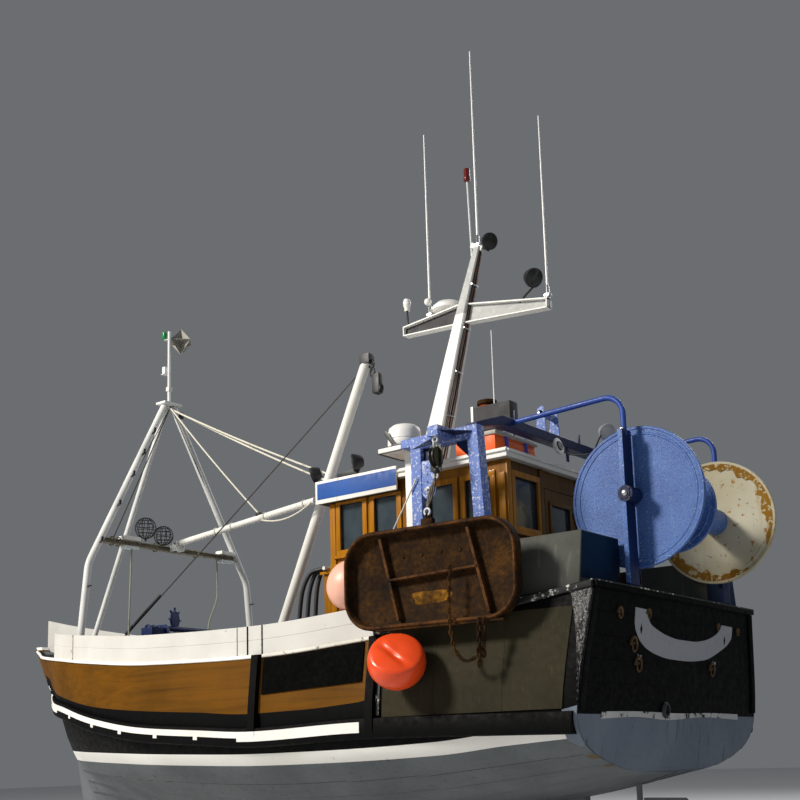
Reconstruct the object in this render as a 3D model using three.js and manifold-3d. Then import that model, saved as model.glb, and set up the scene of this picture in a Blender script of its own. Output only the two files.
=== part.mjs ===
// A ten metre fishing trawler: wooden hull with a keel, deck gear, wheelhouse, masts and stern net drum.
// Millimetres. +X runs to the bow, +Y to port, +Z up. The origin is on the centreline at the transom,
// at the height of the load waterline.
import * as THREE from 'three';
import { mergeVertices } from 'three/addons/utils/BufferGeometryUtils.js';
import Module from 'manifold-3d';

const wasm = await Module();
wasm.setup();

const GAP = 0.4; // clearance between pieces that rest on each other
const FIT = 0.5; // clearance of a shaft in its bearing
const PLANK = 80; // thickness of the bulwark planking

// Hull sections. x: distance from the transom. Each pair is [half breadth, height]:
// keel side, garboard, bilge, waterline, wale, sheer.
const SECTIONS = [
  {
    x: 0, keel: [50, -310], garboard: [700, -290], bilge: [1350, -180],
    water: [1780, 20], wale: [1870, 200], sheer: [1700, 1250],
  },
  {
    x: 1000, keel: [50, -520], garboard: [750, -450], bilge: [1450, -250],
    water: [1880, 0], wale: [1945, 180], sheer: [1800, 1100],
  },
  {
    x: 2200, keel: [50, -680], garboard: [800, -580], bilge: [1500, -340],
    water: [1940, 0], wale: [1985, 180], sheer: [1880, 1000],
  },
  {
    x: 3600, keel: [50, -800], garboard: [800, -660], bilge: [1480, -400],
    water: [1950, 0], wale: [1995, 170], sheer: [1930, 930],
  },
  {
    x: 5200, keel: [50, -880], garboard: [700, -700], bilge: [1350, -420],
    water: [1870, 0], wale: [1960, 240], sheer: [1930, 966],
  },
  {
    x: 6500, keel: [50, -920], garboard: [500, -700], bilge: [1060, -380],
    water: [1560, 40], wale: [1730, 350], sheer: [1750, 1076],
  },
  {
    x: 7400, keel: [50, -930], garboard: [330, -680], bilge: [720, -350],
    water: [1150, 60], wale: [1380, 520], sheer: [1470, 1180],
  },
  {
    x: 8200, keel: [50, -930], garboard: [150, -620], bilge: [350, -300],
    water: [620, 100], wale: [870, 680], sheer: [1050, 1270],
  },
  {
    x: 8660, keel: [45, -600], garboard: [65, -400], bilge: [110, -150],
    water: [230, 150], wale: [520, 720], sheer: [770, 1325],
  },
  {
    x: 8850, keel: [40, 100], garboard: [80, 220], bilge: [140, 400],
    water: [230, 580], wale: [400, 850], sheer: [650, 1350],
  },
  {
    x: 9400, keel: [35, 800], garboard: [60, 880], bilge: [90, 980],
    water: [130, 1080], wale: [180, 1200], sheer: [280, 1440],
  },
  {
    x: 9780, keel: [25, 1420], garboard: [30, 1440], bilge: [35, 1460],
    water: [40, 1480], wale: [45, 1500], sheer: [50, 1520],
  },
];
const SECTION_POINTS = ['keel', 'garboard', 'bilge', 'water', 'wale', 'sheer'];
const TRANSOM_RAKE = 0.11; // the transom's foot stands this far forward for each unit of drop
// Bounds that lie outside the whole boat, for cutting tools.
const FAR = { aft: -500, fore: 10500, side: 2500, down: -2000, up: 3000 };
const DECK = { height: 320, riseStart: 5200, rise: 0.145, aft: 60, fore: 9250, edge: 20 };

const BOARD = { height: 290, thickness: 40, aft: 2150, forePort: 7600, foreStarboard: 9690, bowExtra: 150 };
const RAIL = { width: 130, height: 60, fore: 2145, overhang: 30 };
// Height of the lower edge of the wale along the hull. Columns: x, height of the lower edge.
const WALE_LINE = [
  [120, 40], [2200, 60], [3600, 20], [4400, 60], [5200, 110],
  [6200, 240], [7200, 430], [8200, 560], [9240, 720],
];
const WALE = { height: 190, proud: 45, postWidth: 90, postProud: 60, posts: [3630, 2080] };
const WEAR_PLATE = { aft: 260, fore: 1960, bottom: 250, top: 1010, thickness: 12 };
const CASING = { aft: 90, fore: 800, inner: 930, outerFoot: 1690, outerTop: 1600, top: 1760 };

const KEEL = {
  half: 60, heelAft: 330, heelTop: -1395, bottomAft: -1460, bottomFore: -1275, apertureFore: 1060,
};
const SHAFT = { height: -950, radius: 30, boss: 85 };
const RUDDER = { stockX: 500, stockRadius: 28, stockTop: -300, thickness: 45, top: -545, foot: -1365 };
const PROPELLER = {
  hubAft: 780, hubFore: 950, shaftFore: 1280, hubRadius: 70, tip: 330, blades: 4, bladeWidth: 190,
  bladeThickness: 26, pitch: 0.6, // pitch in radians
};

const HOUSE = { aft: 1200, fore: 3400, half: 1000, wall: 50, top: 2680, caseFore: 3520, caseTop: 1810 };
const ROOF = { aft: 1130, fore: 3480, half: 1080, thickness: 90 };
const VISOR = { aft: 2440, fore: 3505, drop: 125, rise: 30, thickness: 24 };
const WINDOW = { bottom: 2030, top: 2540 };
// Side windows. Columns: aft edge, fore edge.
const SIDE_WINDOWS = [[1360, 1680], [1800, 2120], [2500, 2820], [2950, 3280]];
// Front windows. Columns: starboard edge, port edge.
const FRONT_WINDOWS = [[-830, -330], [-250, 250], [330, 830]];
// Back windows. Columns: starboard edge, port edge.
const BACK_WINDOWS = [[430, 870], [-870, -430]];
const DOOR = {
  half: 300, hingeProud: 8, bottom: 420, top: 2500, clearance: 6, thickness: 40,
  windowHalf: 190, windowBottom: 1850, windowTop: 2350, hinges: [700, 1450, 2200], knuckle: 60,
};

const MAST = {
  footX: 2850, head: [2060, 5390], footWidth: 260, headWidth: 84, kneeAt: 0.72, kneeAlong: 130,
  kneeAcross: 180,
};
// Crosstree. Its top and foot are lines of [x, height], from aft to fore.
const CROSSTREE = {
  half: 55, top: [[1200, 4580], [2300, 4790], [3090, 4715]], foot: [[1200, 4470], [2270, 4560], [3090, 4605]],
};
// Whip aerials, with the height of each tip.
const AERIALS = [
  { name: 'aerial_fore', x: 2740, head: 6975 },
  { name: 'aerial_masthead', x: 2062, head: 7760 },
  { name: 'aerial_aft', x: 1215, head: 6660 },
];
const RADOME = {
  x: 2055, y: 1450, radius: 167, height: 250, postX: 1990, postHalf: 42, foot: 320 + GAP,
  platform: { aft: 1947, fore: 2230, inner: 1270, outer: 1660, bottom: 2773, top: 2833 },
};

const GALLOWS = {
  foreX: 1760, aftFootX: 975, aftHeadX: 1120, y: 1620, size: 120, top: 2860,
  // The outboard arm that carries the door, and the fore arm that steadies the radome's platform.
  arm: { aft: 1310, fore: 1430, outer: 1940, drop: 10, depth: 100 },
  foreArm: { bottom: 2780, top: 2860, half: 40 },
};
// Gantry beam. Its ends slope down from the shoulders to the gallows' heads.
const GANTRY = { x: 1130, size: 125, half: 1660, shoulder: 1200, bottom: 2945, top: 3040, tip: 25 };
const DRUM = {
  x: -85, z: 2125, flange: 645, creamFlange: 620, barrel: 130, half: 850, plate: 20, middleFlange: 420,
  axle: 30, axleHalf: 1060,
};
const STAND = {
  y: 1000, thickness: 170, aft: -88, fore: -42, top: 2720, tube: 26, tubeTop: 3050, bend: 180, bearing: 75,
  bearingHalf: 95,
};

const PORTAL = {
  x: 7000, headX: 7087, footY: 1478, kneeY: 1350, kneeZ: 2310, headY: 70, headZ: 4600, radius: 45, barZ: 2630,
};
const STRUT_FOOT = [8940, 840];
const RAKED_MAST = { foot: [5605, 290], head: [3665, 4470], radius: 60 };
const BOOM = { hinge: [6890, 2700], tip: [4380, 2875], tipY: 145, radius: 40, pin: 14, lug: 55 };
const WINCH = {
  x: 6500, z: 1120, shaft: 35, flange: 330, barrel: 110, half: 560, head: 105, headHalf: 900, headLength: 210,
  plate: 20, cheek: 30, cheekY: 620, cheekHalf: 220, top: 1560, tie: 60,
  baseTop: 660, baseHalf: 300, baseY: 680,
};
const TRAWL_DOOR = {
  x: 1400, y: 1965, z: 1470, length: 1800, height: 900, depth: 110, plate: 14, corner: 300, rim: 40, tiltY: 4,
  eyeHalf: 60, eyeRise: 60,
};
const DOOR_CHAIN = { x: 1370, y: 1900, radius: 20, slack: 4 };
// Fenders. seat: clearance to what they lie against.
const ORANGE_FENDER = { x: 1660, z: 720, radius: 262, seat: 4.2 };
const PINK_FENDER = { x: 2500, y: 1750, radius: 255, seat: 1 };

// Finishes.
const paint = (color, roughness = 0.6, metalness = 0) =>
  new THREE.MeshStandardMaterial({ color, roughness, metalness });
const FINISH = {
  hull: paint(0x8a5a14),
  keel: paint(0x5f656b),
  white: paint(0xf0f0ea),
  black: paint(0x1c1f22, 0.45),
  plate: paint(0x4d5152, 0.6, 0.3),
  blue: paint(0x3c5fc4, 0.5),
  navy: paint(0x1b2f5c, 0.5),
  cream: paint(0xcfc8ac, 0.7),
  wood: paint(0xb8801f, 0.45),
  visor: paint(0x1f55c4, 0.4),
  steel: paint(0xb9bcbd, 0.4, 0.5),
  rust: paint(0x4f2d17, 0.85),
  orange: paint(0xf0502a, 0.45),
  pink: paint(0xefb79f, 0.5),
  bronze: paint(0x9a7433, 0.4, 0.8),
};

const trawler = new THREE.Group();

/** Puts one named sub-part on the boat. */
function add(name, geometry, material) {
  const mesh = new THREE.Mesh(geometry, material);
  mesh.name = name;
  trawler.add(mesh);
}

/** Turns a closed geometry into a solid that can be joined and cut. */
function toSolid(geometry) {
  const bare = geometry.clone();
  bare.deleteAttribute('normal');
  bare.deleteAttribute('uv');
  const merged = mergeVertices(bare, 1e-3);
  const vertProperties = new Float32Array(merged.attributes.position.array);
  const triVerts = new Uint32Array(merged.index.array);
  return new wasm.Manifold(new wasm.Mesh({ numProp: 3, vertProperties, triVerts }));
}

/** Turns a solid back into a geometry. */
function toGeometry(solid) {
  const mesh = solid.getMesh();
  const geometry = new THREE.BufferGeometry();
  geometry.setAttribute('position', new THREE.BufferAttribute(new Float32Array(mesh.vertProperties), 3));
  geometry.setIndex(new THREE.BufferAttribute(new Uint32Array(mesh.triVerts), 1));
  geometry.computeVertexNormals();
  return geometry;
}

/** Joins closed geometries into one. */
function join(...geometries) {
  return toGeometry(geometries.map(toSolid).reduce((whole, next) => whole.add(next)));
}

/** Cuts the tools out of a closed geometry. */
function cut(geometry, ...tools) {
  return toGeometry(tools.map(toSolid).reduce((whole, tool) => whole.subtract(tool), toSolid(geometry)));
}

/** A box between two corners. */
function box(x0, x1, y0, y1, z0, z1) {
  const geometry = new THREE.BoxGeometry(x1 - x0, y1 - y0, z1 - z0);
  return geometry.translate((x0 + x1) / 2, (y0 + y1) / 2, (z0 + z1) / 2);
}

/** A round bar from a to b, tapering where a second radius is given. */
function rod(a, b, radius, sides = 12, endRadius = radius) {
  const from = new THREE.Vector3(...a);
  const along = new THREE.Vector3(...b).sub(from);
  const geometry = new THREE.CylinderGeometry(endRadius, radius, along.length(), sides);
  geometry.translate(0, along.length() / 2, 0);
  const up = new THREE.Vector3(0, 1, 0);
  const turn = new THREE.Quaternion().setFromUnitVectors(up, along.clone().normalize());
  return geometry.applyQuaternion(turn).translate(...a);
}

/** A ball, for the knee between two bars. */
function knee(centre, radius, sides = 12) {
  return new THREE.SphereGeometry(radius, sides, sides / 2).rotateX(Math.PI / 2).translate(...centre);
}

/** A disc or drum about an axis that runs along Y. */
function wheel(x, z, radius, y0, y1, sides = 32) {
  return rod([x, y0, z], [x, y1, z], radius, sides);
}

const outline = (points) => new THREE.Shape(points.map(([u, v]) => new THREE.Vector2(u, v)));
const flat = (depth, curveSegments = 6) => ({ depth, bevelEnabled: false, curveSegments });

/** An outline drawn in X and Z, with its thickness along Y. */
function sideProfile(points, y0, y1) {
  const shape = points instanceof THREE.Shape ? points : outline(points);
  return new THREE.ExtrudeGeometry(shape, flat(y1 - y0)).rotateX(Math.PI / 2).translate(0, y1, 0);
}

/** An outline drawn in Y and Z, with its thickness along X. */
function endProfile(points, x0, x1) {
  const turn = new THREE.Matrix4().makeBasis(
    new THREE.Vector3(0, 1, 0),
    new THREE.Vector3(0, 0, 1),
    new THREE.Vector3(1, 0, 0),
  );
  return new THREE.ExtrudeGeometry(outline(points), flat(x1 - x0)).applyMatrix4(turn).translate(x0, 0, 0);
}

/**
 * A closed body through rings of equal count, each ring counter-clockwise seen from the last ring's end.
 * The second half of each ring is split the other way, which keeps a symmetric body symmetric.
 */
function loft(rings) {
  const count = rings[0].length;
  const positions = rings.flat(2);
  const index = [];
  for (let ring = 0; ring < rings.length - 1; ring += 1) {
    for (let point = 0; point < count; point += 1) {
      const a = ring * count + point;
      const b = ring * count + ((point + 1) % count);
      if (point < count / 2) index.push(a, b, b + count, a, b + count, a + count);
      else index.push(a, b, a + count, b, b + count, a + count);
    }
  }
  const last = (rings.length - 1) * count;
  const cap = (ring) => THREE.ShapeUtils.triangulateShape(capPlane(ring), []);
  cap(rings[0]).forEach(([a, b, c]) => index.push(a, c, b));
  cap(rings[rings.length - 1]).forEach(([a, b, c]) => index.push(last + a, last + b, last + c));
  const geometry = new THREE.BufferGeometry();
  geometry.setAttribute('position', new THREE.Float32BufferAttribute(positions, 3));
  geometry.setIndex(index);
  return geometry;
}

/** A ring's points in its own plane, kept counter-clockwise. */
function capPlane(ring) {
  const points = ring.map((p) => new THREE.Vector3(...p));
  const normal = new THREE.Vector3();
  points.forEach((p, i) => normal.add(p.clone().cross(points[(i + 1) % points.length])));
  normal.normalize();
  const u = points[1].clone().sub(points[0]).normalize();
  const v = normal.clone().cross(u);
  return points.map((p) => new THREE.Vector2(p.dot(u), p.dot(v)));
}

/** The other side's copy of a geometry. */
function mirror(geometry) {
  const copy = geometry.clone().scale(1, -1, 1);
  const index = copy.index ? copy.index.array : null;
  if (index) {
    for (let i = 0; i < index.length; i += 3) [index[i], index[i + 1]] = [index[i + 1], index[i]];
    return copy;
  }
  const position = copy.attributes.position.array;
  for (let i = 0; i < position.length; i += 9) {
    for (let k = i; k < i + 3; k += 1) [position[k], position[k + 3]] = [position[k + 3], position[k]];
  }
  return copy;
}

/** Linear reading of a table of rows, by the first column. */
function read(rows, x) {
  const after = rows.findIndex((row) => row[0] >= x);
  if (after <= 0) return rows[after < 0 ? rows.length - 1 : 0][1];
  const [x0, v0] = rows[after - 1];
  const [x1, v1] = rows[after];
  return v0 + ((v1 - v0) * (x - x0)) / (x1 - x0);
}

const sheerHeight = (x) => read(SECTIONS.map((s) => [s.x, s.sheer[1]]), x);
const sheerBreadth = (x) => read(SECTIONS.map((s) => [s.x, s.sheer[0]]), x);
const deckHeight = (x) => DECK.height + Math.max(0, x - DECK.riseStart) * DECK.rise;

/** Half breadth of the hull at a station and a height. */
function breadth(x, z) {
  const section = SECTION_POINTS.map((point) => [
    read(SECTIONS.map((s) => [s.x, s[point][1]]), x),
    read(SECTIONS.map((s) => [s.x, s[point][0]]), x),
  ]);
  return read(section, z);
}

/** The whole hull as one body, grown outward by a clearance. */
function hullBody(grow = 0) {
  const rings = SECTIONS.map((section, i) => {
    const edge = i === 0 ? -grow : i === SECTIONS.length - 1 ? grow : 0;
    const point = (name, side) => {
      const [y, z] = section[name];
      const rake = i === 0 ? (SECTIONS[0].sheer[1] - z) * TRANSOM_RAKE - 50 : 0;
      const lift = name === 'sheer' ? grow : -grow;
      return [section.x + rake + edge, side * (y + grow), z + lift];
    };
    return [
      ...SECTION_POINTS.map((name) => point(name, 1)),
      ...SECTION_POINTS.toReversed().map((name) => point(name, -1)),
    ];
  });
  return loft(rings);
}

// Stations of the deck's outline, with both ends and the start of its rise.
const DECK_STATIONS = [DECK.aft, 1000, 2200, 3600, DECK.riseStart, 6500, 7400, 8200, 8850, DECK.fore];
/** Half breadth of the deck inside the bulwarks. */
const deckBreadth = (x) => Math.min(breadth(x, deckHeight(x)), sheerBreadth(x)) - PLANK;

/** The open space inside the bulwarks, down past the deck's edge. */
function deckWell(inset = 0) {
  return loft(DECK_STATIONS.map((x) => {
    const deck = deckHeight(x);
    const foot = deckBreadth(x) - inset;
    const top = sheerBreadth(x) - PLANK - inset;
    const above = sheerHeight(x) + 50;
    return [
      [x, foot, deck - DECK.edge - 5], [x, foot, deck], [x, top, above],
      [x, -top, above], [x, -foot, deck], [x, -foot, deck - DECK.edge - 5],
    ];
  }));
}

/** The planked deck, which stands above the bulwarks' feet by its edge. */
function deckPlanking() {
  return loft(DECK_STATIONS.map((x) => {
    const deck = deckHeight(x);
    const half = deckBreadth(x) - GAP;
    return [
      [x, half, deck - DECK.edge - 5], [x, half, deck], [x, -half, deck], [x, -half, deck - DECK.edge - 5],
    ];
  }));
}

/** A strip that follows the hull side, from rows of [x, inner y, outer y, bottom, top]. */
function strip(rows) {
  return loft(rows.map(([x, inner, outer, bottom, top]) => [
    [x, inner, bottom], [x, outer, bottom], [x, outer, top], [x, inner, top],
  ]));
}

/** Stations from the hull table between two places, with both ends. */
function stations(aft, fore) {
  return [aft, ...SECTIONS.map((s) => s.x).filter((x) => x > aft + 60 && x < fore - 60), fore];
}

const hullClear = hullBody(GAP);
/** A line along the deck, lifted off it. */
const deckLine = (aft, fore, lift) => [
  [aft, DECK.height + lift], [DECK.riseStart, DECK.height + lift], [fore, deckHeight(fore) + lift],
];
/** All the space of the boat's size below such a line. */
const below = (lift) => sideProfile(
  [[FAR.aft, FAR.down], [FAR.fore, FAR.down], ...deckLine(FAR.aft, FAR.fore, lift).toReversed()],
  -FAR.side, FAR.side,
);
const underDeck = below(GAP);
const overDeck = sideProfile(
  [...deckLine(DECK.aft, DECK.fore, -DECK.edge), [DECK.fore, FAR.up], [DECK.aft, FAR.up]],
  -FAR.side, FAR.side,
);

// Hull, keel, stem
const rudderTrunk = rod(
  [RUDDER.stockX, 0, -600], [RUDDER.stockX, 0, RUDDER.stockTop + GAP], RUDDER.stockRadius + FIT, 32,
);
add('hull', cut(join(cut(hullBody(), overDeck), deckPlanking()), rudderTrunk), FINISH.hull);

const bulwarkPort = cut(
  hullBody(), deckWell(), below(GAP - DECK.edge),
  box(FAR.aft, DECK.aft + GAP, -FAR.side, FAR.side, 0, FAR.up),
  box(DECK.fore - GAP, FAR.fore, -FAR.side, FAR.side, 0, FAR.up),
  box(FAR.aft, FAR.fore, -FAR.side, 0, 0, FAR.up),
);
add('bulwark_port', bulwarkPort, FINISH.hull);
add('bulwark_starboard', mirror(bulwarkPort), FINISH.hull);

const keelLine = [
  [KEEL.heelAft, KEEL.bottomAft], [8200, KEEL.bottomFore], [8440, -1180], [8560, -1000], [8625, -700 - GAP],
  [8300, -700 - GAP], [KEEL.apertureFore, -400],
  [KEEL.apertureFore, KEEL.heelTop], [KEEL.heelAft, KEEL.heelTop],
];
const shaftBoss = rod([KEEL.apertureFore - 30, 0, SHAFT.height], [1400, 0, SHAFT.height], SHAFT.boss, 16);
const sternTube = rod(
  [KEEL.apertureFore - 60, 0, SHAFT.height], [PROPELLER.shaftFore + GAP, 0, SHAFT.height],
  SHAFT.radius + FIT, 32,
);
const keel = join(sideProfile(keelLine, -KEEL.half, KEEL.half), shaftBoss);
add('keel', cut(keel, hullClear, sternTube), FINISH.keel);

const stemLine = [
  [8350, -700], [8628, -700], [8690, -580], [8750, -300], [8850, 110], [9120, 480], [9460, 870], [9700, 1330],
  [9850, 1530], [9850, 1560], [9700, 1560], [9300, 1100], [8750, 300], [8450, -400],
];
const stem = cut(sideProfile(stemLine, -55, 55), hullClear);
add('stem', stem, FINISH.hull);

/** The wale with its two upright fenders on the port side. */
function wale() {
  const rows = stations(WALE_LINE[0][0], WALE_LINE.at(-1)[0]).map((x) => {
    const bottom = read(WALE_LINE, x);
    const outer = Math.max(breadth(x, bottom), breadth(x, bottom + WALE.height)) + WALE.proud;
    return [x, Math.max(outer - 260, 10), outer, bottom, bottom + WALE.height];
  });
  const posts = WALE.posts.map((x) => {
    const bottom = read(WALE_LINE, x) + 20;
    const top = sheerHeight(x) - 5;
    const outerFoot = breadth(x, bottom + 100) + WALE.postProud;
    const outerTop = breadth(x, top) + WALE.postProud;
    return endProfile(
      [[outerFoot - 200, bottom], [outerFoot, bottom], [outerTop, top], [outerTop - 200, top]],
      x - WALE.postWidth / 2,
      x + WALE.postWidth / 2,
    );
  });
  return cut(join(strip(rows), ...posts), hullClear);
}
const walePort = wale();
add('wale_port', walePort, FINISH.black);
add('wale_starboard', mirror(walePort), FINISH.black);

/** Upper bulwark boards on the port side, up to a given station. */
function boards(fore) {
  const rows = stations(BOARD.aft, fore).map((x) => {
    const outer = sheerBreadth(x) - 5;
    const bottom = sheerHeight(x) + GAP;
    const extra = Math.max(0, (x - 7400) / 2300) * BOARD.bowExtra;
    return [x, outer - BOARD.thickness, outer, bottom, bottom + BOARD.height + extra];
  });
  return strip(rows);
}
add('bulwark_boards_port', boards(BOARD.forePort), FINISH.white);
add('bulwark_boards_starboard', mirror(boards(BOARD.foreStarboard)), FINISH.white);

// Tarred rail round the stern
const railSide = strip(stations(-20, RAIL.fore).map((x) => {
  const outer = sheerBreadth(Math.max(0, x)) + RAIL.overhang;
  const bottom = sheerHeight(Math.max(0, x)) + GAP * 2;
  return [x, outer - RAIL.width, outer, bottom, bottom + RAIL.height];
}));
const railEnd = box(-85, 50, -1700, 1700, 1250 + GAP * 2, 1250 + RAIL.height);
add('aft_rail', cut(join(railSide, mirror(railSide), railEnd), hullClear), FINISH.black);

// Steel wear plates where the trawl doors swing
/** The port plate, which leans with the hull's side. */
function wearPlateSide() {
  const rings = stations(WEAR_PLATE.aft, WEAR_PLATE.fore).map((x) => {
    const foot = breadth(x, WEAR_PLATE.bottom) + WEAR_PLATE.thickness;
    const top = breadth(x, WEAR_PLATE.top) + WEAR_PLATE.thickness;
    return [
      [x, foot - 100, WEAR_PLATE.bottom], [x, foot, WEAR_PLATE.bottom],
      [x, top, WEAR_PLATE.top], [x, top - 100, WEAR_PLATE.top],
    ];
  });
  return cut(loft(rings), hullClear);
}
const platePort = wearPlateSide();
add('wear_plate_port', platePort, FINISH.plate);
add('wear_plate_starboard', mirror(platePort), FINISH.plate);

// Lockers on the quarters
const casingOutline = [
  [CASING.inner, DECK.height + GAP], [1600, DECK.height + GAP], [1600, 1200], [CASING.outerFoot, 1250],
  [CASING.outerTop, CASING.top], [CASING.inner, CASING.top],
];
const railClear = strip(stations(-20, RAIL.fore).map((x) => {
  const outer = sheerBreadth(Math.max(0, x)) + RAIL.overhang + GAP;
  const bottom = sheerHeight(Math.max(0, x)) + GAP;
  return [x, outer - RAIL.width - GAP * 2, outer, bottom - 60, bottom + RAIL.height + GAP * 2];
}));
const bulwarkClear = cut(hullClear, deckWell(GAP));
const casing = cut(endProfile(casingOutline, CASING.aft, CASING.fore), bulwarkClear, railClear);
add('quarter_casing_port', casing, FINISH.plate);
add('quarter_casing_starboard', mirror(casing), FINISH.plate);

// Rudder and propeller
const bladeOutline = [
  [450, RUDDER.foot], [-40, RUDDER.foot + 35], [-40, RUDDER.top - 60], [30, RUDDER.top], [450, RUDDER.top],
];
add('rudder', join(
  sideProfile(bladeOutline, -RUDDER.thickness / 2, RUDDER.thickness / 2),
  rod([RUDDER.stockX, 0, KEEL.heelTop + GAP], [RUDDER.stockX, 0, RUDDER.stockTop], RUDDER.stockRadius, 32),
  box(430, RUDDER.stockX, -RUDDER.thickness / 2, RUDDER.thickness / 2, RUDDER.foot + 20, RUDDER.top - 10),
), FINISH.keel);

/** One propeller blade, standing up from the hub and turned to its pitch. */
function blade(turn) {
  const shape = new THREE.Shape();
  shape.moveTo(-40, 0);
  shape.quadraticCurveTo(-PROPELLER.bladeWidth * 0.7, PROPELLER.tip * 0.7, 0, PROPELLER.tip);
  shape.quadraticCurveTo(PROPELLER.bladeWidth * 0.7, PROPELLER.tip * 0.7, 40, 0);
  const geometry = new THREE.ExtrudeGeometry(shape, flat(PROPELLER.bladeThickness, 4));
  geometry.translate(0, 0, -PROPELLER.bladeThickness / 2).rotateY(PROPELLER.pitch);
  const stand = new THREE.Matrix4().makeBasis(
    new THREE.Vector3(0, 1, 0), new THREE.Vector3(0, 0, 1), new THREE.Vector3(1, 0, 0),
  );
  return geometry.applyMatrix4(stand).rotateX(turn);
}
const bladeStep = (2 * Math.PI) / PROPELLER.blades;
const bladeRing = Array.from({ length: PROPELLER.blades }, (_, i) => blade(i * bladeStep));
const hubMiddle = (PROPELLER.hubAft + PROPELLER.hubFore) / 2;
const hubHalf = (PROPELLER.hubFore - PROPELLER.hubAft) / 2;
const hub = rod([-hubHalf, 0, 0], [hubHalf, 0, 0], PROPELLER.hubRadius, 16);
const tailShaft = rod([0, 0, 0], [PROPELLER.shaftFore - hubMiddle, 0, 0], SHAFT.radius, 32);
add('propeller', join(hub, tailShaft, ...bladeRing).translate(hubMiddle, 0, SHAFT.height), FINISH.bronze);

// Wheelhouse walls, roof and door
const deckTop = DECK.height + GAP;
const openingThrough = (x0, x1, y0, y1) => box(x0, x1, y0, y1, WINDOW.bottom, WINDOW.top);
const frontWall = join(
  box(HOUSE.fore - HOUSE.wall, HOUSE.fore, -HOUSE.half, HOUSE.half, deckTop, HOUSE.top),
  box(HOUSE.fore - 10, HOUSE.caseFore, -HOUSE.half, HOUSE.half, deckTop, HOUSE.caseTop),
);
const frontOpenings = FRONT_WINDOWS.map(
  ([y0, y1]) => openingThrough(HOUSE.fore - 100, HOUSE.fore + 100, y0, y1),
);
add('wheelhouse_front', cut(frontWall, ...frontOpenings), FINISH.wood);

const sideWall = box(
  HOUSE.aft, HOUSE.fore - HOUSE.wall - GAP, HOUSE.half - HOUSE.wall, HOUSE.half, deckTop, HOUSE.top,
);
const sideOpenings = SIDE_WINDOWS.map(
  ([x0, x1]) => openingThrough(x0, x1, HOUSE.half - 100, HOUSE.half + 100),
);
const housePort = cut(sideWall, ...sideOpenings);
add('wheelhouse_side_port', housePort, FINISH.wood);
add('wheelhouse_side_starboard', mirror(housePort), FINISH.wood);

const backHalf = HOUSE.half - HOUSE.wall - GAP;
const backWall = box(HOUSE.aft, HOUSE.aft + HOUSE.wall, -backHalf, backHalf, deckTop, HOUSE.top);
const doorway = box(HOUSE.aft - 50, HOUSE.aft + 100, -DOOR.half, DOOR.half, DOOR.bottom, DOOR.top);
const backOpenings = BACK_WINDOWS.map(
  ([y0, y1]) => openingThrough(HOUSE.aft - 50, HOUSE.aft + 100, y0, y1),
);
const hingeX = HOUSE.aft - DOOR.hingeProud;
/** Half of a door hinge: a knuckle on the hinge line, with its leaf towards the door or the jamb. */
function knuckle(z, side) {
  const leaf = side > 0
    ? box(hingeX - 4, HOUSE.aft + 5, -DOOR.half, -DOOR.half + 36, z, z + DOOR.knuckle)
    : box(hingeX - 4, HOUSE.aft + 5, -DOOR.half - 36, -DOOR.half, z, z + DOOR.knuckle);
  return join(leaf, rod([hingeX, -DOOR.half, z], [hingeX, -DOOR.half, z + DOOR.knuckle], 8, 16));
}
const backPlain = cut(backWall, doorway, ...backOpenings);
add('wheelhouse_back', join(backPlain, ...DOOR.hinges.map((z) => knuckle(z, -1))), FINISH.wood);

const door = cut(
  box(
    HOUSE.aft, HOUSE.aft + DOOR.thickness, -DOOR.half + DOOR.clearance, DOOR.half - DOOR.clearance,
    DOOR.bottom + DOOR.clearance, DOOR.top - DOOR.clearance,
  ),
  box(HOUSE.aft - 50, HOUSE.aft + 100, -DOOR.windowHalf, DOOR.windowHalf, DOOR.windowBottom, DOOR.windowTop),
);
const doorKnob = rod([HOUSE.aft - 40, 220, 1500], [HOUSE.aft + 5, 220, 1500], 22, 10);
const doorKnuckles = DOOR.hinges.map((z) => knuckle(z + DOOR.knuckle + GAP, 1));
add('wheelhouse_door', join(door, doorKnob, ...doorKnuckles), FINISH.wood);

const roofBottom = HOUSE.top + GAP;
const roofTop = roofBottom + ROOF.thickness;
add('wheelhouse_roof', box(ROOF.aft, ROOF.fore, -ROOF.half, ROOF.half, roofBottom, roofTop), FINISH.white);

const visorBottom = HOUSE.top - VISOR.drop;
const visorTop = roofTop + VISOR.rise;
const visorOuter = box(
  VISOR.aft, VISOR.fore + VISOR.thickness, -ROOF.half - VISOR.thickness, ROOF.half + VISOR.thickness,
  visorBottom, visorTop,
);
const visorInner = box(
  VISOR.aft - 50, VISOR.fore - VISOR.thickness, -ROOF.half - GAP, ROOF.half + GAP,
  visorBottom - 50, visorTop + 50,
);
add('roof_visor', cut(visorOuter, visorInner), FINISH.visor);

// Signal mast with its fore-and-aft crosstree
const mastFootX = MAST.footX;
const mastFootZ = roofTop + GAP;
const [mastHeadX, mastHeadZ] = MAST.head;
const mastCentre = (z) => mastFootX + ((mastHeadX - mastFootX) * (z - mastFootZ)) / (mastHeadZ - mastFootZ);
const mastRing = (z, along, across) => {
  const x = mastCentre(z);
  return [
    [x + along / 2, -across / 2, z], [x + along / 2, across / 2, z],
    [x - along / 2, across / 2, z], [x - along / 2, -across / 2, z],
  ];
};
const mastKneeZ = mastFootZ + (mastHeadZ - mastFootZ) * MAST.kneeAt;
const mastBody = loft([
  mastRing(mastFootZ, MAST.footWidth, MAST.footWidth),
  mastRing(mastKneeZ, MAST.kneeAlong, MAST.kneeAcross),
  mastRing(mastHeadZ, MAST.headWidth, MAST.headWidth),
]);
const crosstreeLine = [...CROSSTREE.foot, ...CROSSTREE.top.toReversed()];
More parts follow.
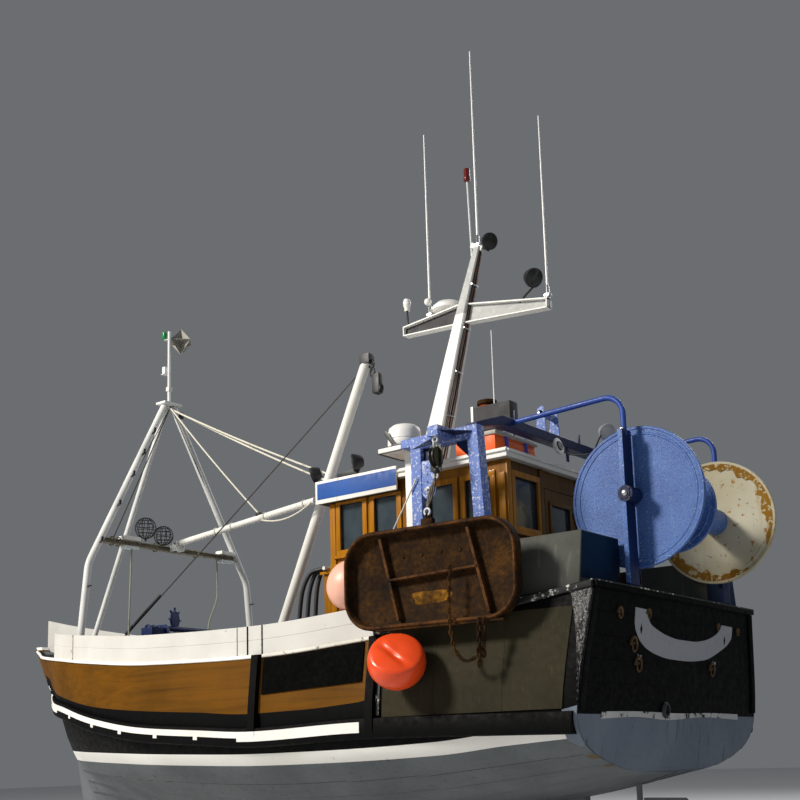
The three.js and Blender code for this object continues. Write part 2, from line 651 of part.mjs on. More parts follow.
const mast = join(mastBody, sideProfile(crosstreeLine, -CROSSTREE.half, CROSSTREE.half));
const mastClear = mast.clone().translate(0, 0, GAP);
add('mast', mast, FINISH.white);

/** Top of the crosstree at a station. */
const crosstreeTop = (x) => read(CROSSTREE.top, x);
AERIALS.forEach(({ name, x, head }) => {
  const foot = name === 'aerial_masthead' ? mastHeadZ - 20 : crosstreeTop(x) - 20;
  const whip = rod([x, 0, foot], [x + 5, 0, head], 15, 8, 6);
  const holder = rod([x, 0, foot], [x, 0, foot + 150], 28, 8);
  add(name, cut(join(holder, whip), mastClear), FINISH.white);
});

// Radome on its post
const { platform } = RADOME;
const radomePost = join(
  box(
    RADOME.postX - RADOME.postHalf, RADOME.postX + RADOME.postHalf,
    RADOME.y - RADOME.postHalf, RADOME.y + RADOME.postHalf, RADOME.foot, platform.bottom,
  ),
  box(platform.aft, platform.fore, platform.inner, platform.outer, platform.bottom, platform.top),
);
add('radome_post', radomePost, FINISH.white);
const radomeFoot = platform.top + GAP;
const radomeProfile = [
  [0, 0], [RADOME.radius - 20, 0], [RADOME.radius, 30], [RADOME.radius - 6, RADOME.height * 0.75],
  [RADOME.radius * 0.75, RADOME.height * 0.95], [0, RADOME.height],
].map(([r, h]) => new THREE.Vector2(r, h));
add(
  'radome',
  new THREE.LatheGeometry(radomeProfile, 20).rotateX(Math.PI / 2).translate(RADOME.x, RADOME.y, radomeFoot),
  FINISH.white,
);

// Gallows on both sides, and the beam that joins them
const armTop = GALLOWS.top - GALLOWS.arm.drop;
const armBottom = armTop - GALLOWS.arm.depth;
function gallows() {
  const half = GALLOWS.size / 2;
  const foreLeg = box(
    GALLOWS.foreX - half, GALLOWS.foreX + half, GALLOWS.y - half, GALLOWS.y + half, deckTop, GALLOWS.top,
  );
  const aftLegOutline = [
    [GALLOWS.aftFootX - half, deckTop], [GALLOWS.aftFootX + half, deckTop],
    [GALLOWS.aftHeadX + half, GALLOWS.top], [GALLOWS.aftHeadX - half, GALLOWS.top],
  ];
  const aftLeg = sideProfile(aftLegOutline, GALLOWS.y - half, GALLOWS.y + half);
  const head = box(
    GALLOWS.aftHeadX - half, GALLOWS.foreX + half, GALLOWS.y - half, GALLOWS.y + half,
    GALLOWS.top - GALLOWS.size, GALLOWS.top,
  );
  const arm = box(GALLOWS.arm.aft, GALLOWS.arm.fore, GALLOWS.y, GALLOWS.arm.outer, armBottom, armTop);
  const foreArm = box(
    GALLOWS.foreX, platform.aft - GAP, GALLOWS.y - GALLOWS.foreArm.half, GALLOWS.y + GALLOWS.foreArm.half,
    GALLOWS.foreArm.bottom, GALLOWS.foreArm.top,
  );
  return join(foreLeg, aftLeg, head, arm, foreArm);
}
const gallowsPort = gallows();
add('gallows_port', gallowsPort, FINISH.blue);
add('gallows_starboard', mirror(gallowsPort), FINISH.blue);
const gantryFoot = GALLOWS.top + GAP;
const gantryHeel = GALLOWS.y - GALLOWS.size / 2;
add('gantry_beam', endProfile(
  [
    [-GANTRY.half, gantryFoot], [-gantryHeel, gantryFoot], [-GANTRY.shoulder, GANTRY.bottom],
    [GANTRY.shoulder, GANTRY.bottom], [gantryHeel, gantryFoot], [GANTRY.half, gantryFoot],
    [GANTRY.half, gantryFoot + GANTRY.tip], [GANTRY.shoulder, GANTRY.top],
    [-GANTRY.shoulder, GANTRY.top], [-GANTRY.half, gantryFoot + GANTRY.tip],
  ],
  GANTRY.x - GANTRY.size / 2,
  GANTRY.x + GANTRY.size / 2,
), FINISH.navy);

// Net drum and its stands
function drumStand() {
  const postFoot = 1250 + RAIL.height + GAP;
  const post = box(
    STAND.aft, STAND.fore, STAND.y - STAND.thickness / 2, STAND.y + STAND.thickness / 2, postFoot, STAND.top,
  );
  const middle = (STAND.aft + STAND.fore) / 2;
  const bendStart = [middle, STAND.y, STAND.tubeTop - STAND.bend];
  const bendMiddle = [middle + STAND.bend * 0.29, STAND.y, STAND.tubeTop - STAND.bend * 0.29];
  const bendEnd = [middle + STAND.bend, STAND.y, STAND.tubeTop];
  const tubeEnd = [GANTRY.x - GANTRY.size / 2 - 2.5, STAND.y, GANTRY.top - STAND.tube - 4];
  const tube = join(
    rod([middle, STAND.y, STAND.top - 60], bendStart, STAND.tube, 10),
    knee(bendStart, STAND.tube, 10),
    rod(bendStart, bendMiddle, STAND.tube, 10),
    knee(bendMiddle, STAND.tube, 10),
    rod(bendMiddle, bendEnd, STAND.tube, 10),
    knee(bendEnd, STAND.tube, 10),
    rod(bendEnd, tubeEnd, STAND.tube, 10),
  );
  const bearing = wheel(
    DRUM.x, DRUM.z, STAND.bearing, STAND.y - STAND.bearingHalf, STAND.y + STAND.bearingHalf, 16,
  );
  const bore = wheel(DRUM.x, DRUM.z, DRUM.axle + FIT, STAND.y - 100, STAND.y + 100);
  return cut(join(post, tube, bearing), bore);
}
const standPort = drumStand();
add('drum_stand_port', standPort, FINISH.navy);
add('drum_stand_starboard', mirror(standPort), FINISH.navy);

add('net_drum', join(
  wheel(DRUM.x, DRUM.z, DRUM.axle, -DRUM.axleHalf, DRUM.axleHalf),
  wheel(DRUM.x, DRUM.z, DRUM.barrel, -DRUM.half + GAP, DRUM.half, 20),
  wheel(DRUM.x, DRUM.z, DRUM.flange, DRUM.half, DRUM.half + DRUM.plate, 40),
  wheel(DRUM.x, DRUM.z, DRUM.middleFlange, 90, 90 + DRUM.plate, 32),
), FINISH.blue);
add('net_drum_flange', cut(
  wheel(DRUM.x, DRUM.z, DRUM.creamFlange, -DRUM.half - DRUM.plate, -DRUM.half, 40),
  wheel(DRUM.x, DRUM.z, DRUM.axle + FIT, -DRUM.half - 100, -DRUM.half + 100),
), FINISH.cream);

// Bow portal, its strut and pole
function portalSide() {
  const rail = sheerHeight(PORTAL.x + 60) + GAP;
  const foot = [PORTAL.x, PORTAL.footY, rail + 8];
  const bend = [PORTAL.x, PORTAL.kneeY, PORTAL.kneeZ];
  const head = [PORTAL.headX, PORTAL.headY, PORTAL.headZ];
  const plate = box(PORTAL.x - 60, PORTAL.x + 60, PORTAL.footY - 60, PORTAL.footY + 44, rail, rail + 25);
  const lower = rod(foot, bend, PORTAL.radius);
  const upper = rod(bend, head, PORTAL.radius);
  return join(lower, knee(bend, PORTAL.radius), upper, plate);
}
const portalLeg = portalSide();
const legSlope = (PORTAL.kneeY - PORTAL.headY) / (PORTAL.headZ - PORTAL.kneeZ);
const barHalf = PORTAL.kneeY - (PORTAL.barZ - PORTAL.kneeZ) * legSlope + 20;
const boomPin = (radius, half) => wheel(BOOM.hinge[0], BOOM.hinge[1], radius, -half, half);
const lug = (y) => cut(
  box(BOOM.hinge[0] - 40, PORTAL.x, y - 8, y + 8, PORTAL.barZ - 30, BOOM.hinge[1] + 35),
  boomPin(BOOM.pin + FIT, 200),
);
add('portal_frame', join(
  portalLeg,
  mirror(portalLeg),
  box(PORTAL.x - 20, PORTAL.x + 50, -barHalf, barHalf, PORTAL.barZ - 35, PORTAL.barZ + 35),
  lug(-BOOM.lug),
  lug(BOOM.lug),
  box(PORTAL.headX - 90, PORTAL.headX + 90, -150, 150, PORTAL.headZ, PORTAL.headZ + 30),
), FINISH.steel);
add('portal_strut', cut(
  rod([STRUT_FOOT[0], 0, STRUT_FOOT[1]], [PORTAL.headX + 60, 0, PORTAL.headZ - 16.5], PORTAL.radius * 0.8),
  underDeck,
), FINISH.steel);
add('portal_pole', join(
  rod([PORTAL.headX, 0, PORTAL.headZ + 30 + GAP], [PORTAL.headX, 0, 5640], 22, 12),
  box(PORTAL.headX - 20, PORTAL.headX + 60, -25, 25, 5330, 5400),
), FINISH.steel);
const polePlane = box(PORTAL.headX - 200, PORTAL.headX + 200, -22 - GAP, 200, 5300, 5800);
add('radar_reflector', cut(
  new THREE.OctahedronGeometry(170).translate(PORTAL.headX, -150, 5550), polePlane,
), FINISH.steel);

// Raked mast, cargo boom and winch forward of the wheelhouse
const [rakedFootX, rakedFootZ] = RAKED_MAST.foot;
const [rakedHeadX, rakedHeadZ] = RAKED_MAST.head;
add('raked_mast', cut(join(
  rod([rakedFootX, 0, rakedFootZ], [rakedHeadX, 0, rakedHeadZ], RAKED_MAST.radius, 16),
  box(rakedHeadX - 70, rakedHeadX + 70, -60, 60, rakedHeadZ - 60, rakedHeadZ + 60),
), underDeck), FINISH.white);
add('cargo_boom', join(
  rod([BOOM.hinge[0], 0, BOOM.hinge[1]], [BOOM.tip[0], BOOM.tipY, BOOM.tip[1]], BOOM.radius, 12),
  boomPin(BOOM.pin, BOOM.lug + 8),
), FINISH.white);

const winchAft = WINCH.x - WINCH.baseHalf;
const winchFore = WINCH.x + WINCH.baseHalf;
const winchDeck = deckHeight(winchAft - 50) - 20;
const winchBase = cut(
  box(winchAft, winchFore, -WINCH.baseY, WINCH.baseY, winchDeck, WINCH.baseTop), underDeck,
);
const cheek = (y) => box(
  WINCH.x - WINCH.cheekHalf, WINCH.x + WINCH.cheekHalf, y - WINCH.cheek / 2, y + WINCH.cheek / 2,
  WINCH.baseTop - 20, WINCH.top,
);
const tie = box(
  WINCH.x - WINCH.tie, WINCH.x + WINCH.tie, -WINCH.cheekY, WINCH.cheekY, WINCH.top - WINCH.tie, WINCH.top,
);
const winchBore = wheel(WINCH.x, WINCH.z, WINCH.shaft + FIT, -800, 800);
const winchFrame = join(winchBase, cheek(-WINCH.cheekY), cheek(WINCH.cheekY), tie);
add('winch_frame', cut(winchFrame, winchBore), FINISH.navy);
const winchPlate = WINCH.plate / 2;
const winchFlange = (y) => wheel(WINCH.x, WINCH.z, WINCH.flange, y - winchPlate, y + winchPlate, 28);
const winchHead = wheel(WINCH.x, WINCH.z, WINCH.head, WINCH.headHalf - WINCH.headLength, WINCH.headHalf, 20);
add('winch_drums', join(
  wheel(WINCH.x, WINCH.z, WINCH.shaft, -WINCH.headHalf, WINCH.headHalf),
  wheel(WINCH.x, WINCH.z, WINCH.barrel, -WINCH.half, WINCH.half, 20),
  winchFlange(-WINCH.half + winchPlate),
  winchFlange(0),
  winchFlange(WINCH.half - winchPlate),
  winchHead,
  mirror(winchHead),
), FINISH.navy);

// Trawl doors hung outboard from the gallows
function trawlDoor() {
  const halfLength = TRAWL_DOOR.length / 2;
  const halfHeight = TRAWL_DOOR.height / 2;
  const rounded = (inset) => {
    const [l, h, r] = [halfLength - inset, halfHeight - inset, TRAWL_DOOR.corner - inset];
    const shape = new THREE.Shape();
    shape.moveTo(-l + r, -h);
    shape.lineTo(l - r, -h);
    shape.absarc(l - r, -h + r, r, -Math.PI / 2, 0);
    shape.lineTo(l, h - r);
    shape.absarc(l - r, h - r, r, 0, Math.PI / 2);
    shape.lineTo(-l + r, h);
    shape.absarc(-l + r, h - r, r, Math.PI / 2, Math.PI);
    shape.lineTo(-l, -h + r);
    shape.absarc(-l + r, -h + r, r, Math.PI, Math.PI * 1.5);
    return shape;
  };
  const dish = cut(
    sideProfile(rounded(0), 0, TRAWL_DOOR.depth),
    sideProfile(rounded(TRAWL_DOOR.rim), TRAWL_DOOR.plate, TRAWL_DOOR.depth + 20),
  );
  const ribs = join(
    box(-480, -450, 5, 80, -halfHeight + 20, halfHeight - 20),
    box(420, 450, 5, 80, -halfHeight + 20, halfHeight - 20),
    box(-470, 440, 5, 90, -20, 10),
  );
  const eye = box(
    -TRAWL_DOOR.eyeHalf, TRAWL_DOOR.eyeHalf, 20, 80, halfHeight - 20, halfHeight + TRAWL_DOOR.eyeRise,
  );
  return join(dish, ribs, eye)
    .rotateZ((TRAWL_DOOR.tiltY * Math.PI) / 180)
    .translate(TRAWL_DOOR.x, TRAWL_DOOR.y, TRAWL_DOOR.z);
}
const doorPort = trawlDoor();
add('trawl_door_port', doorPort, FINISH.rust);
add('trawl_door_starboard', mirror(doorPort), FINISH.rust);
const eyeTop = TRAWL_DOOR.z + TRAWL_DOOR.height / 2 + TRAWL_DOOR.eyeRise;
const chain = rod(
  [DOOR_CHAIN.x, DOOR_CHAIN.y, armBottom - DOOR_CHAIN.slack],
  [TRAWL_DOOR.x, TRAWL_DOOR.y + 50, eyeTop + DOOR_CHAIN.slack],
  DOOR_CHAIN.radius, 8,
);
add('door_chain_port', chain, FINISH.rust);
add('door_chain_starboard', mirror(chain), FINISH.rust);

// Fenders
const sideY = breadth(ORANGE_FENDER.x, ORANGE_FENDER.z) + WEAR_PLATE.thickness;
const orangeY = sideY + ORANGE_FENDER.radius + ORANGE_FENDER.seat;
add('fender_orange', knee(
  [ORANGE_FENDER.x, orangeY, ORANGE_FENDER.z], ORANGE_FENDER.radius, 24,
), FINISH.orange);
const boardInner = sheerBreadth(PINK_FENDER.x) - 5 - BOARD.thickness;
const boardTop = sheerHeight(PINK_FENDER.x) + BOARD.height;
const pinkRise = Math.sqrt(PINK_FENDER.radius ** 2 - (boardInner - PINK_FENDER.y) ** 2) + PINK_FENDER.seat;
add('fender_pink', knee(
  [PINK_FENDER.x, PINK_FENDER.y, boardTop + pinkRise], PINK_FENDER.radius, 24,
), FINISH.pink);

export default trawler;
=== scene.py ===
"""Looks of a ten metre wooden fishing trawler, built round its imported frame.

Lengths are metres. +X runs to the bow, +Y to port and +Z up; the origin is on the centreline at the
transom, at the height of the load waterline.
"""

import logging
import math
import random
from collections.abc import Callable, Iterable, Sequence
from dataclasses import dataclass
from enum import Enum
from typing import Any

import bmesh
import bpy
import numpy as np
from mathutils import Matrix, Vector


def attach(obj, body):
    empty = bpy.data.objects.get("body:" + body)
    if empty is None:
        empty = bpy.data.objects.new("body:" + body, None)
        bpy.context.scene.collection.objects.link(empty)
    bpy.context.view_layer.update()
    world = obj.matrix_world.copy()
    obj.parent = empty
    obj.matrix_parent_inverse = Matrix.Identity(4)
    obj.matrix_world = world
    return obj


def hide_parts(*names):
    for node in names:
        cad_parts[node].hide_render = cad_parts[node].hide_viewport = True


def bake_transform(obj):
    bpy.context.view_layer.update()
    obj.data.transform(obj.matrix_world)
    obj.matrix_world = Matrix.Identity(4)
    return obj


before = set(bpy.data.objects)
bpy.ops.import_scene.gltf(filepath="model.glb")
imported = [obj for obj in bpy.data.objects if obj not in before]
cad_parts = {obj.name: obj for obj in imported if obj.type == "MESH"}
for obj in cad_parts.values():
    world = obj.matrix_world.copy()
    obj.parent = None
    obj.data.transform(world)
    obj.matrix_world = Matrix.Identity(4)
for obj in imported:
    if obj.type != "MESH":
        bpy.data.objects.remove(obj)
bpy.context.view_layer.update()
LOG = logging.getLogger("trawler")

Point = Sequence[float]
Pair = tuple[float, float]
Profile = Sequence[Pair]
Rows = tuple[tuple[float, ...], ...]
Tree = bpy.types.NodeTree
Node = bpy.types.Node
Form = bmesh.types.BMesh
Vert = bmesh.types.BMVert

AHEAD, ASTERN, PORT, UP = (1, 0, 0), (-1, 0, 0), (0, 1, 0), (0, 0, 1)

# Patterns per metre that are the same on every coat
BRUSH_MARKS = 90.0  # marks of 11 mm, coarser than a brush leaves them, so that they show from a distance
MOULD_GRAIN = 120.0  # a grain of 8 mm, drawn coarser than real
GRIME_PATCHES = 6.0  # patches of 170 mm
RUST_PATCHES = 3.0  # patches of 330 mm
SOAKED_PATCHES = 1.4  # patches of 700 mm
SALT_HAZE = 5.0  # patches of 200 mm


# Shader helpers

def linear(hex_value: str) -> tuple[float, float, float, float]:
    """Turns an sRGB hex colour into linear RGBA.

    Args:
        hex_value: Colour such as "#1f55c4".

    Returns:
        Linear red, green, blue and an alpha of one.
    """
    channels = [int(hex_value[i : i + 2], 16) / 255 for i in (1, 3, 5)]
    red, green, blue = (c / 12.92 if c <= 0.04045 else ((c + 0.055) / 1.055) ** 2.4 for c in channels)
    return red, green, blue, 1.0


def feed(tree: Tree, node: Node, inputs: dict[Any, Any]) -> None:
    """Sets or links the inputs of a node.

    Args:
        tree: Node tree that the node is in.
        node: The node.
        inputs: Socket name or number to a value, an sRGB hex colour, or the node or output it is linked from.
    """
    for key, value in inputs.items():
        if isinstance(value, Node):
            value = value.outputs[2 if value.bl_idname == "ShaderNodeMix" else 0]
        if isinstance(value, bpy.types.NodeSocket):
            tree.links.new(value, node.inputs[key])
        else:
            node.inputs[key].default_value = linear(value) if isinstance(value, str) else value


def add_node(tree: Tree, kind: str, inputs: dict[Any, Any] | None = None, **settings: Any) -> Node:
    """Adds one shader node with its settings and links.

    Args:
        tree: Node tree of a material or the world.
        kind: Blender's name of the node type, without its "ShaderNode".
        inputs: What its inputs are set to or linked from.
        **settings: Properties of the node; stops is a list of (position, colour) for a colour ramp.

    Returns:
        The new node.
    """
    node = tree.nodes.new("ShaderNode" + kind)
    stops = settings.pop("stops", ())
    for name, value in settings.items():
        setattr(node, name, value)
    for number, (position, colour) in enumerate(stops):
        elements = node.color_ramp.elements
        if number == len(elements):
            elements.new(position)
        elements[number].position, elements[number].color = position, linear(colour)
    feed(tree, node, inputs or {})
    return node


@dataclass(frozen=True)
class Finish:
    """A surface finish; subclasses fill in the shader.

    Attributes:
        name: Name of the material.
        colour: Main colour, sRGB hex.
        roughness: Base roughness of the shader.
    """

    name: str
    colour: str
    roughness: float = 0.5

    def material(self) -> bpy.types.Material:
        """Gives the material of this finish, making it on first use.

        Returns:
            The material.
        """
        found = bpy.data.materials.get(self.name)
        if found:
            return found
        made = bpy.data.materials.new(self.name)
        made.use_nodes = True
        tree = made.node_tree
        tree.nodes.clear()
        shader = add_node(tree, "BsdfPrincipled")
        add_node(tree, "OutputMaterial", {"Surface": shader})
        self.paint(tree, shader)
        made.diffuse_color = linear(self.colour)
        return made

    def paint(self, tree: Tree, shader: Node) -> None:
        """Fills in the shader; the plain finish only has its colour."""
        feed(tree, shader, {"Base Color": self.colour, "Roughness": self.roughness})


@dataclass(frozen=True)
class WornPaint(Finish):
    """Brushed or rolled marine enamel that weather, ropes and rust have marked.

    Attributes:
        shade: Second tone of the coat, in broad patches.
        stain: Colour of the runs of dirt or rust.
        under: Colour that shows in the chips.
        chips: Share of the surface in chips, from 0 to 1.
        stains: Share of the surface in runs, from 0 to 1.
        chip_mm: Size of the chips.
        patch_mm: Size of the broad patches.
        run_mm: Width of the runs, which are drawn out down the surface.
        bump: Strength of the relief of brush marks and chips.
        gloss: Specular level of the shader, low for chalked or tarred coats.
    """

    shade: str = "#808080"
    stain: str = "#5a4a38"
    under: str = "#5b3a22"
    chips: float = 0.1
    stains: float = 0.25
    chip_mm: float = 60.0
    patch_mm: float = 700.0
    run_mm: float = 60.0
    bump: float = 0.25
    gloss: float = 0.5

    def paint(self, tree: Tree, shader: Node) -> None:
        """Layers patches, runs and chips over the coat.

        Args:
            tree: Node tree of the material.
            shader: Its Principled shader.
        """
        place = add_node(tree, "TexCoord").outputs["Object"]
        broad = add_node(tree, "TexNoise", {"Vector": place, "Scale": 1000 / self.patch_mm, "Detail": 5.0})
        broad_mask = add_node(tree, "MapRange", {"Value": broad, "From Min": 0.35, "From Max": 0.68})
        coat = add_node(tree, "Mix", {0: broad_mask, 6: self.colour, 7: self.shade}, data_type="RGBA")
        across = 1000 / self.run_mm
        drawn = add_node(tree, "Mapping", {"Vector": place, "Scale": (across, across, across * 0.09)})
        runs = add_node(tree, "TexNoise", {"Vector": drawn, "Scale": 1.0, "Detail": 6.0})
        edge = 0.72 - 0.3 * self.stains
        run_mask = add_node(tree, "MapRange", {"Value": runs, "From Min": edge, "From Max": edge + 0.16,
            "To Max": 0.75})
        stained = add_node(tree, "Mix", {0: run_mask, 6: coat, 7: self.stain}, data_type="RGBA")
        fine = add_node(tree, "TexNoise", {"Vector": place, "Scale": 1000 / self.chip_mm, "Detail": 9.0,
            "Roughness": 0.68})
        edge = 0.74 - 0.34 * self.chips
        chip_mask = add_node(tree, "MapRange", {"Value": fine, "From Min": edge, "From Max": edge + 0.03})
        worn = add_node(tree, "Mix", {0: chip_mask, 6: stained, 7: self.under}, data_type="RGBA")
        rough = add_node(tree, "MapRange", {"Value": fine, "From Min": 0.3, "From Max": 0.75,
            "To Min": self.roughness - 0.08, "To Max": min(1.0, self.roughness + 0.3)})
        brush = add_node(tree, "TexNoise", {"Vector": place, "Scale": BRUSH_MARKS, "Detail": 3.0})
        relief = add_node(tree, "Math", {0: brush, 1: chip_mask}, operation="SUBTRACT")
        bump = add_node(tree, "Bump", {"Height": relief, "Strength": self.bump, "Distance": 0.004})
        feed(tree, shader, {"Base Color": worn, "Roughness": rough, "Normal": bump,
            "Specular IOR Level": self.gloss})


class Grain(Enum):
    """The way that a timber's grain runs."""

    ALONG = (0.5, 14.0, 14.0)
    UPRIGHT = (14.0, 14.0, 0.5)


@dataclass(frozen=True)
class VarnishedTimber(Finish):
    """Softwood with brushed graining and glossy marine varnish.

    Attributes:
        dark: Colour of the grain and of the soaked patches.
        gloss: Weight of the varnish as a clear coat.
        grain: The way that the grain runs.
        grain_mm: Width of the grain, drawn coarser than real so that it shows.
    """

    dark: str = "#3d2308"
    gloss: float = 0.35
    grain: Grain = Grain.UPRIGHT
    grain_mm: float = 55.0

    def paint(self, tree: Tree, shader: Node) -> None:
        """Draws grain and darker patches under a clear coat.

        Args:
            tree: Node tree of the material.
            shader: Its Principled shader.
        """
        place = add_node(tree, "TexCoord").outputs["Object"]
        stretch = tuple(s / 14 * 1000 / self.grain_mm for s in self.grain.value)
        drawn = add_node(tree, "Mapping", {"Vector": place, "Scale": stretch})
        grain = add_node(tree, "TexNoise", {"Vector": drawn, "Scale": 1.0, "Detail": 8.0, "Distortion": 0.8})
        broad = add_node(tree, "TexNoise", {"Vector": place, "Scale": SOAKED_PATCHES, "Detail": 4.0})
        both = add_node(tree, "Math", {0: grain, 1: broad}, operation="ADD")
        mask = add_node(tree, "MapRange", {"Value": both, "From Min": 0.78, "From Max": 1.34})
        tone = add_node(tree, "Mix", {0: mask, 6: self.colour, 7: self.dark}, data_type="RGBA")
        bump = add_node(tree, "Bump", {"Height": grain, "Strength": 0.22, "Distance": 0.004})
        rough = add_node(tree, "MapRange", {"Value": broad, "From Min": 0.3, "From Max": 0.7,
            "To Min": self.roughness - 0.1, "To Max": self.roughness + 0.15})
        feed(tree, shader, {"Base Color": tone, "Normal": bump, "Roughness": rough, "Coat Weight": self.gloss,
            "Specular IOR Level": 0.12, "Coat Roughness": 0.12})


@dataclass(frozen=True)
class RustedSteel(Finish):
    """Hot-rolled plate and chain left to rust in salt water.

    Attributes:
        bright: Fresh orange rust, in patches.
        scale_mm: Size of the flaking.
    """

    bright: str = "#7a3c16"
    scale_mm: float = 45.0

    def paint(self, tree: Tree, shader: Node) -> None:
        """Mixes dark scale with fresh rust, rough and pitted.

        Args:
            tree: Node tree of the material.
            shader: Its Principled shader.
        """
        place = add_node(tree, "TexCoord").outputs["Object"]
        flakes = add_node(tree, "TexNoise", {"Vector": place, "Scale": 1000 / self.scale_mm, "Detail": 10.0,
            "Roughness": 0.7})
        patches = add_node(tree, "TexNoise", {"Vector": place, "Scale": RUST_PATCHES, "Detail": 6.0})
        both = add_node(tree, "Math", {0: flakes, 1: patches}, operation="MULTIPLY")
        tone = add_node(tree, "ValToRGB", {"Fac": both}, stops=[(0.14, "#120b08"), (0.25, self.colour),
            (0.38, self.bright)])
        bump = add_node(tree, "Bump", {"Height": flakes, "Strength": 0.55, "Distance": 0.006})
        feed(tree, shader, {"Base Color": tone, "Normal": bump, "Roughness": self.roughness,
            "Specular IOR Level": 0.15})


@dataclass(frozen=True)
class Moulded(Finish):
    """Moulded plastic, rubber, vinyl or metal with a faint uneven gloss.

    Attributes:
        dirt: Colour of the grime in patches.
        grime: Share of the surface in grime, from 0 to 1.
        metallic: Metallic value.
        bump: Strength of the relief.
    """

    dirt: str = "#55504a"
    grime: float = 0.2
    metallic: float = 0.0
    bump: float = 0.08

    def paint(self, tree: Tree, shader: Node) -> None:
        """Adds soft grime and an uneven sheen to the colour.

        Args:
            tree: Node tree of the material.
            shader: Its Principled shader.
        """
        place = add_node(tree, "TexCoord").outputs["Object"]
        noise = add_node(tree, "TexNoise", {"Vector": place, "Scale": GRIME_PATCHES, "Detail": 7.0,
            "Roughness": 0.6})
        edge = 0.72 - 0.3 * self.grime
        mask = add_node(tree, "MapRange", {"Value": noise, "From Min": edge, "From Max": edge + 0.2,
            "To Max": 0.8})
        tone = add_node(tree, "Mix", {0: mask, 6: self.colour, 7: self.dirt}, data_type="RGBA")
        rough = add_node(tree, "MapRange", {"Value": noise, "From Min": 0.3, "From Max": 0.7,
            "To Min": max(0.05, self.roughness - 0.08), "To Max": self.roughness + 0.12})
        fine = add_node(tree, "TexNoise", {"Vector": place, "Scale": MOULD_GRAIN, "Detail": 2.0})
        bump = add_node(tree, "Bump", {"Height": fine, "Strength": self.bump, "Distance": 0.002})
        feed(tree, shader, {"Base Color": tone, "Roughness": rough, "Normal": bump,
            "Metallic": self.metallic})


@dataclass(frozen=True)
class WindowGlass(Finish):
    """Tinted float glass, dark because the cabin behind it is unlit."""

    def paint(self, tree: Tree, shader: Node) -> None:
        """Makes a dark mirror-like pane with faint salt haze.

        Args:
            tree: Node tree of the material.
            shader: Its Principled shader.
        """
        place = add_node(tree, "TexCoord").outputs["Object"]
        haze = add_node(tree, "TexNoise", {"Vector": place, "Scale": SALT_HAZE, "Detail": 5.0})
        rough = add_node(tree, "MapRange", {"Value": haze, "To Min": 0.02, "To Max": 0.16})
        tone = add_node(tree, "Mix", {0: haze, 6: self.colour, 7: "#46525a"}, data_type="RGBA")
        feed(tree, shader, {"Base Color": tone, "Roughness": rough, "Specular IOR Level": 0.8})


# Finishes, named for the real surface, except those named for the painted shade and glints that they stand in
# for; each group's comment says what it gives the eye

# Softwood planks, brush-grained and varnished: warm streaks with a soft gloss where the light grazes them
HULL_VARNISH = VarnishedTimber("hull_varnish", "#6c4400", 0.6, "#4c3000", 0.0, Grain.ALONG)
HOUSE_GRAINING = VarnishedTimber("house_graining", "#9a6608", 0.35, "#5a3604")
# A darker copy of the house varnish for the aft wall, the door and the aft trim: painted shade
HOUSE_PAINTED_SHADE = VarnishedTimber("house_painted_shade", "#5e3e08", 0.4, "#382404", 0.2, grain_mm=45)
HOUSE_TRIM = VarnishedTimber("house_trim", "#b87a0c", 0.3, "#7a4a08", 0.4, grain_mm=40)

# Tarred and black-painted timber: near black and dull; the tar lumps and the stern rail carry pale flecks
# painted for glints
BLACK_TAR = WornPaint("black_tar", "#040405", 0.55, "#060708", "#0c0d0e", "#141616", 0.12, gloss=0.08)
PANEL_BLACK = WornPaint("panel_black", "#030303", 0.7, "#040505", "#0a0b0c", "#101112", 0.02, bump=0.08,
    gloss=0.04)
TRANSOM_BLACK = WornPaint("transom_black", "#020304", 0.5, "#030405", "#06080a", "#0c0e10", 0.04, gloss=0.06)
# Greyish tar with pale flecks that stand in for glints on its lumps: painted highlight
TAR_WITH_PAINTED_GLINTS = WornPaint("tar_with_painted_glints", "#1c1d1e", 0.3, "#2c2d2e", "#4a4c4e", "#7a7c7e", 0.55, chip_mm=22,
    bump=1.0)
# Black with pale flecks that stand in for glints along the rail: painted highlight
BLACK_WITH_PAINTED_GLINTS = WornPaint("black_with_painted_glints", "#0d0e10", 0.45, "#17191b", "#6a6a66", "#d2d2cc", 0.5, chip_mm=70)

# White marine enamel, brushed on: clean broad planes with faint rust runs, dirtier where ropes rub
STRIP_WHITE = WornPaint("strip_white", "#f2f2ee", 0.5, "#e4e4de", "#b0aca0", "#8a8c8e", 0.1, 0.15)
BOOT_ENAMEL = WornPaint("boot_enamel", "#fbfbf7", 0.5, "#f0f0ea", "#c4c0b4", "#9a9c9e", 0.12)
WHITE_ENAMEL = WornPaint("white_enamel", "#eeeeea", 0.38, "#e0e0da", "#a8906a", "#8a5a36", 0.12, 0.2)
BOARD_WHITE = WornPaint("board_white", "#d8d8d4", 0.5, "#c9c8c3", "#a8a498", "#a09c92", 0.18, 0.12, 90,
    gloss=0.3)
# Grey-white for the upper mast and the crosstree's web, standing in for the shade on white paint: painted
# shade
WHITE_PAINTED_SHADE = WornPaint("white_painted_shade", "#b9bcba", 0.5, "#a2a5a4", "#80786a", "#7a5a3a", stains=0.3)
WORN_CAP = WornPaint("worn_cap", "#e2e0d8", 0.5, "#c8c6bc", "#7a4e14", "#55585a", 0.55, chip_mm=120)
WORN_FOOT = WornPaint("worn_foot", "#c6c8c6", 0.5, "#b0b2b2", "#2a2c30", "#14161a", 0.55, chip_mm=160)
CREAM_ENAMEL = WornPaint("cream_enamel", "#c2beaa", 0.65, "#a8a080", "#a07a34", "#96692a", 0.42, 0.5, 70,
    run_mm=140, gloss=0.25)
CROSSBAR_DIRTY = WornPaint("crossbar_dirty", "#a8a494", 0.6, "#7c7660", "#54462a", "#3c3020", 0.4, 0.5)

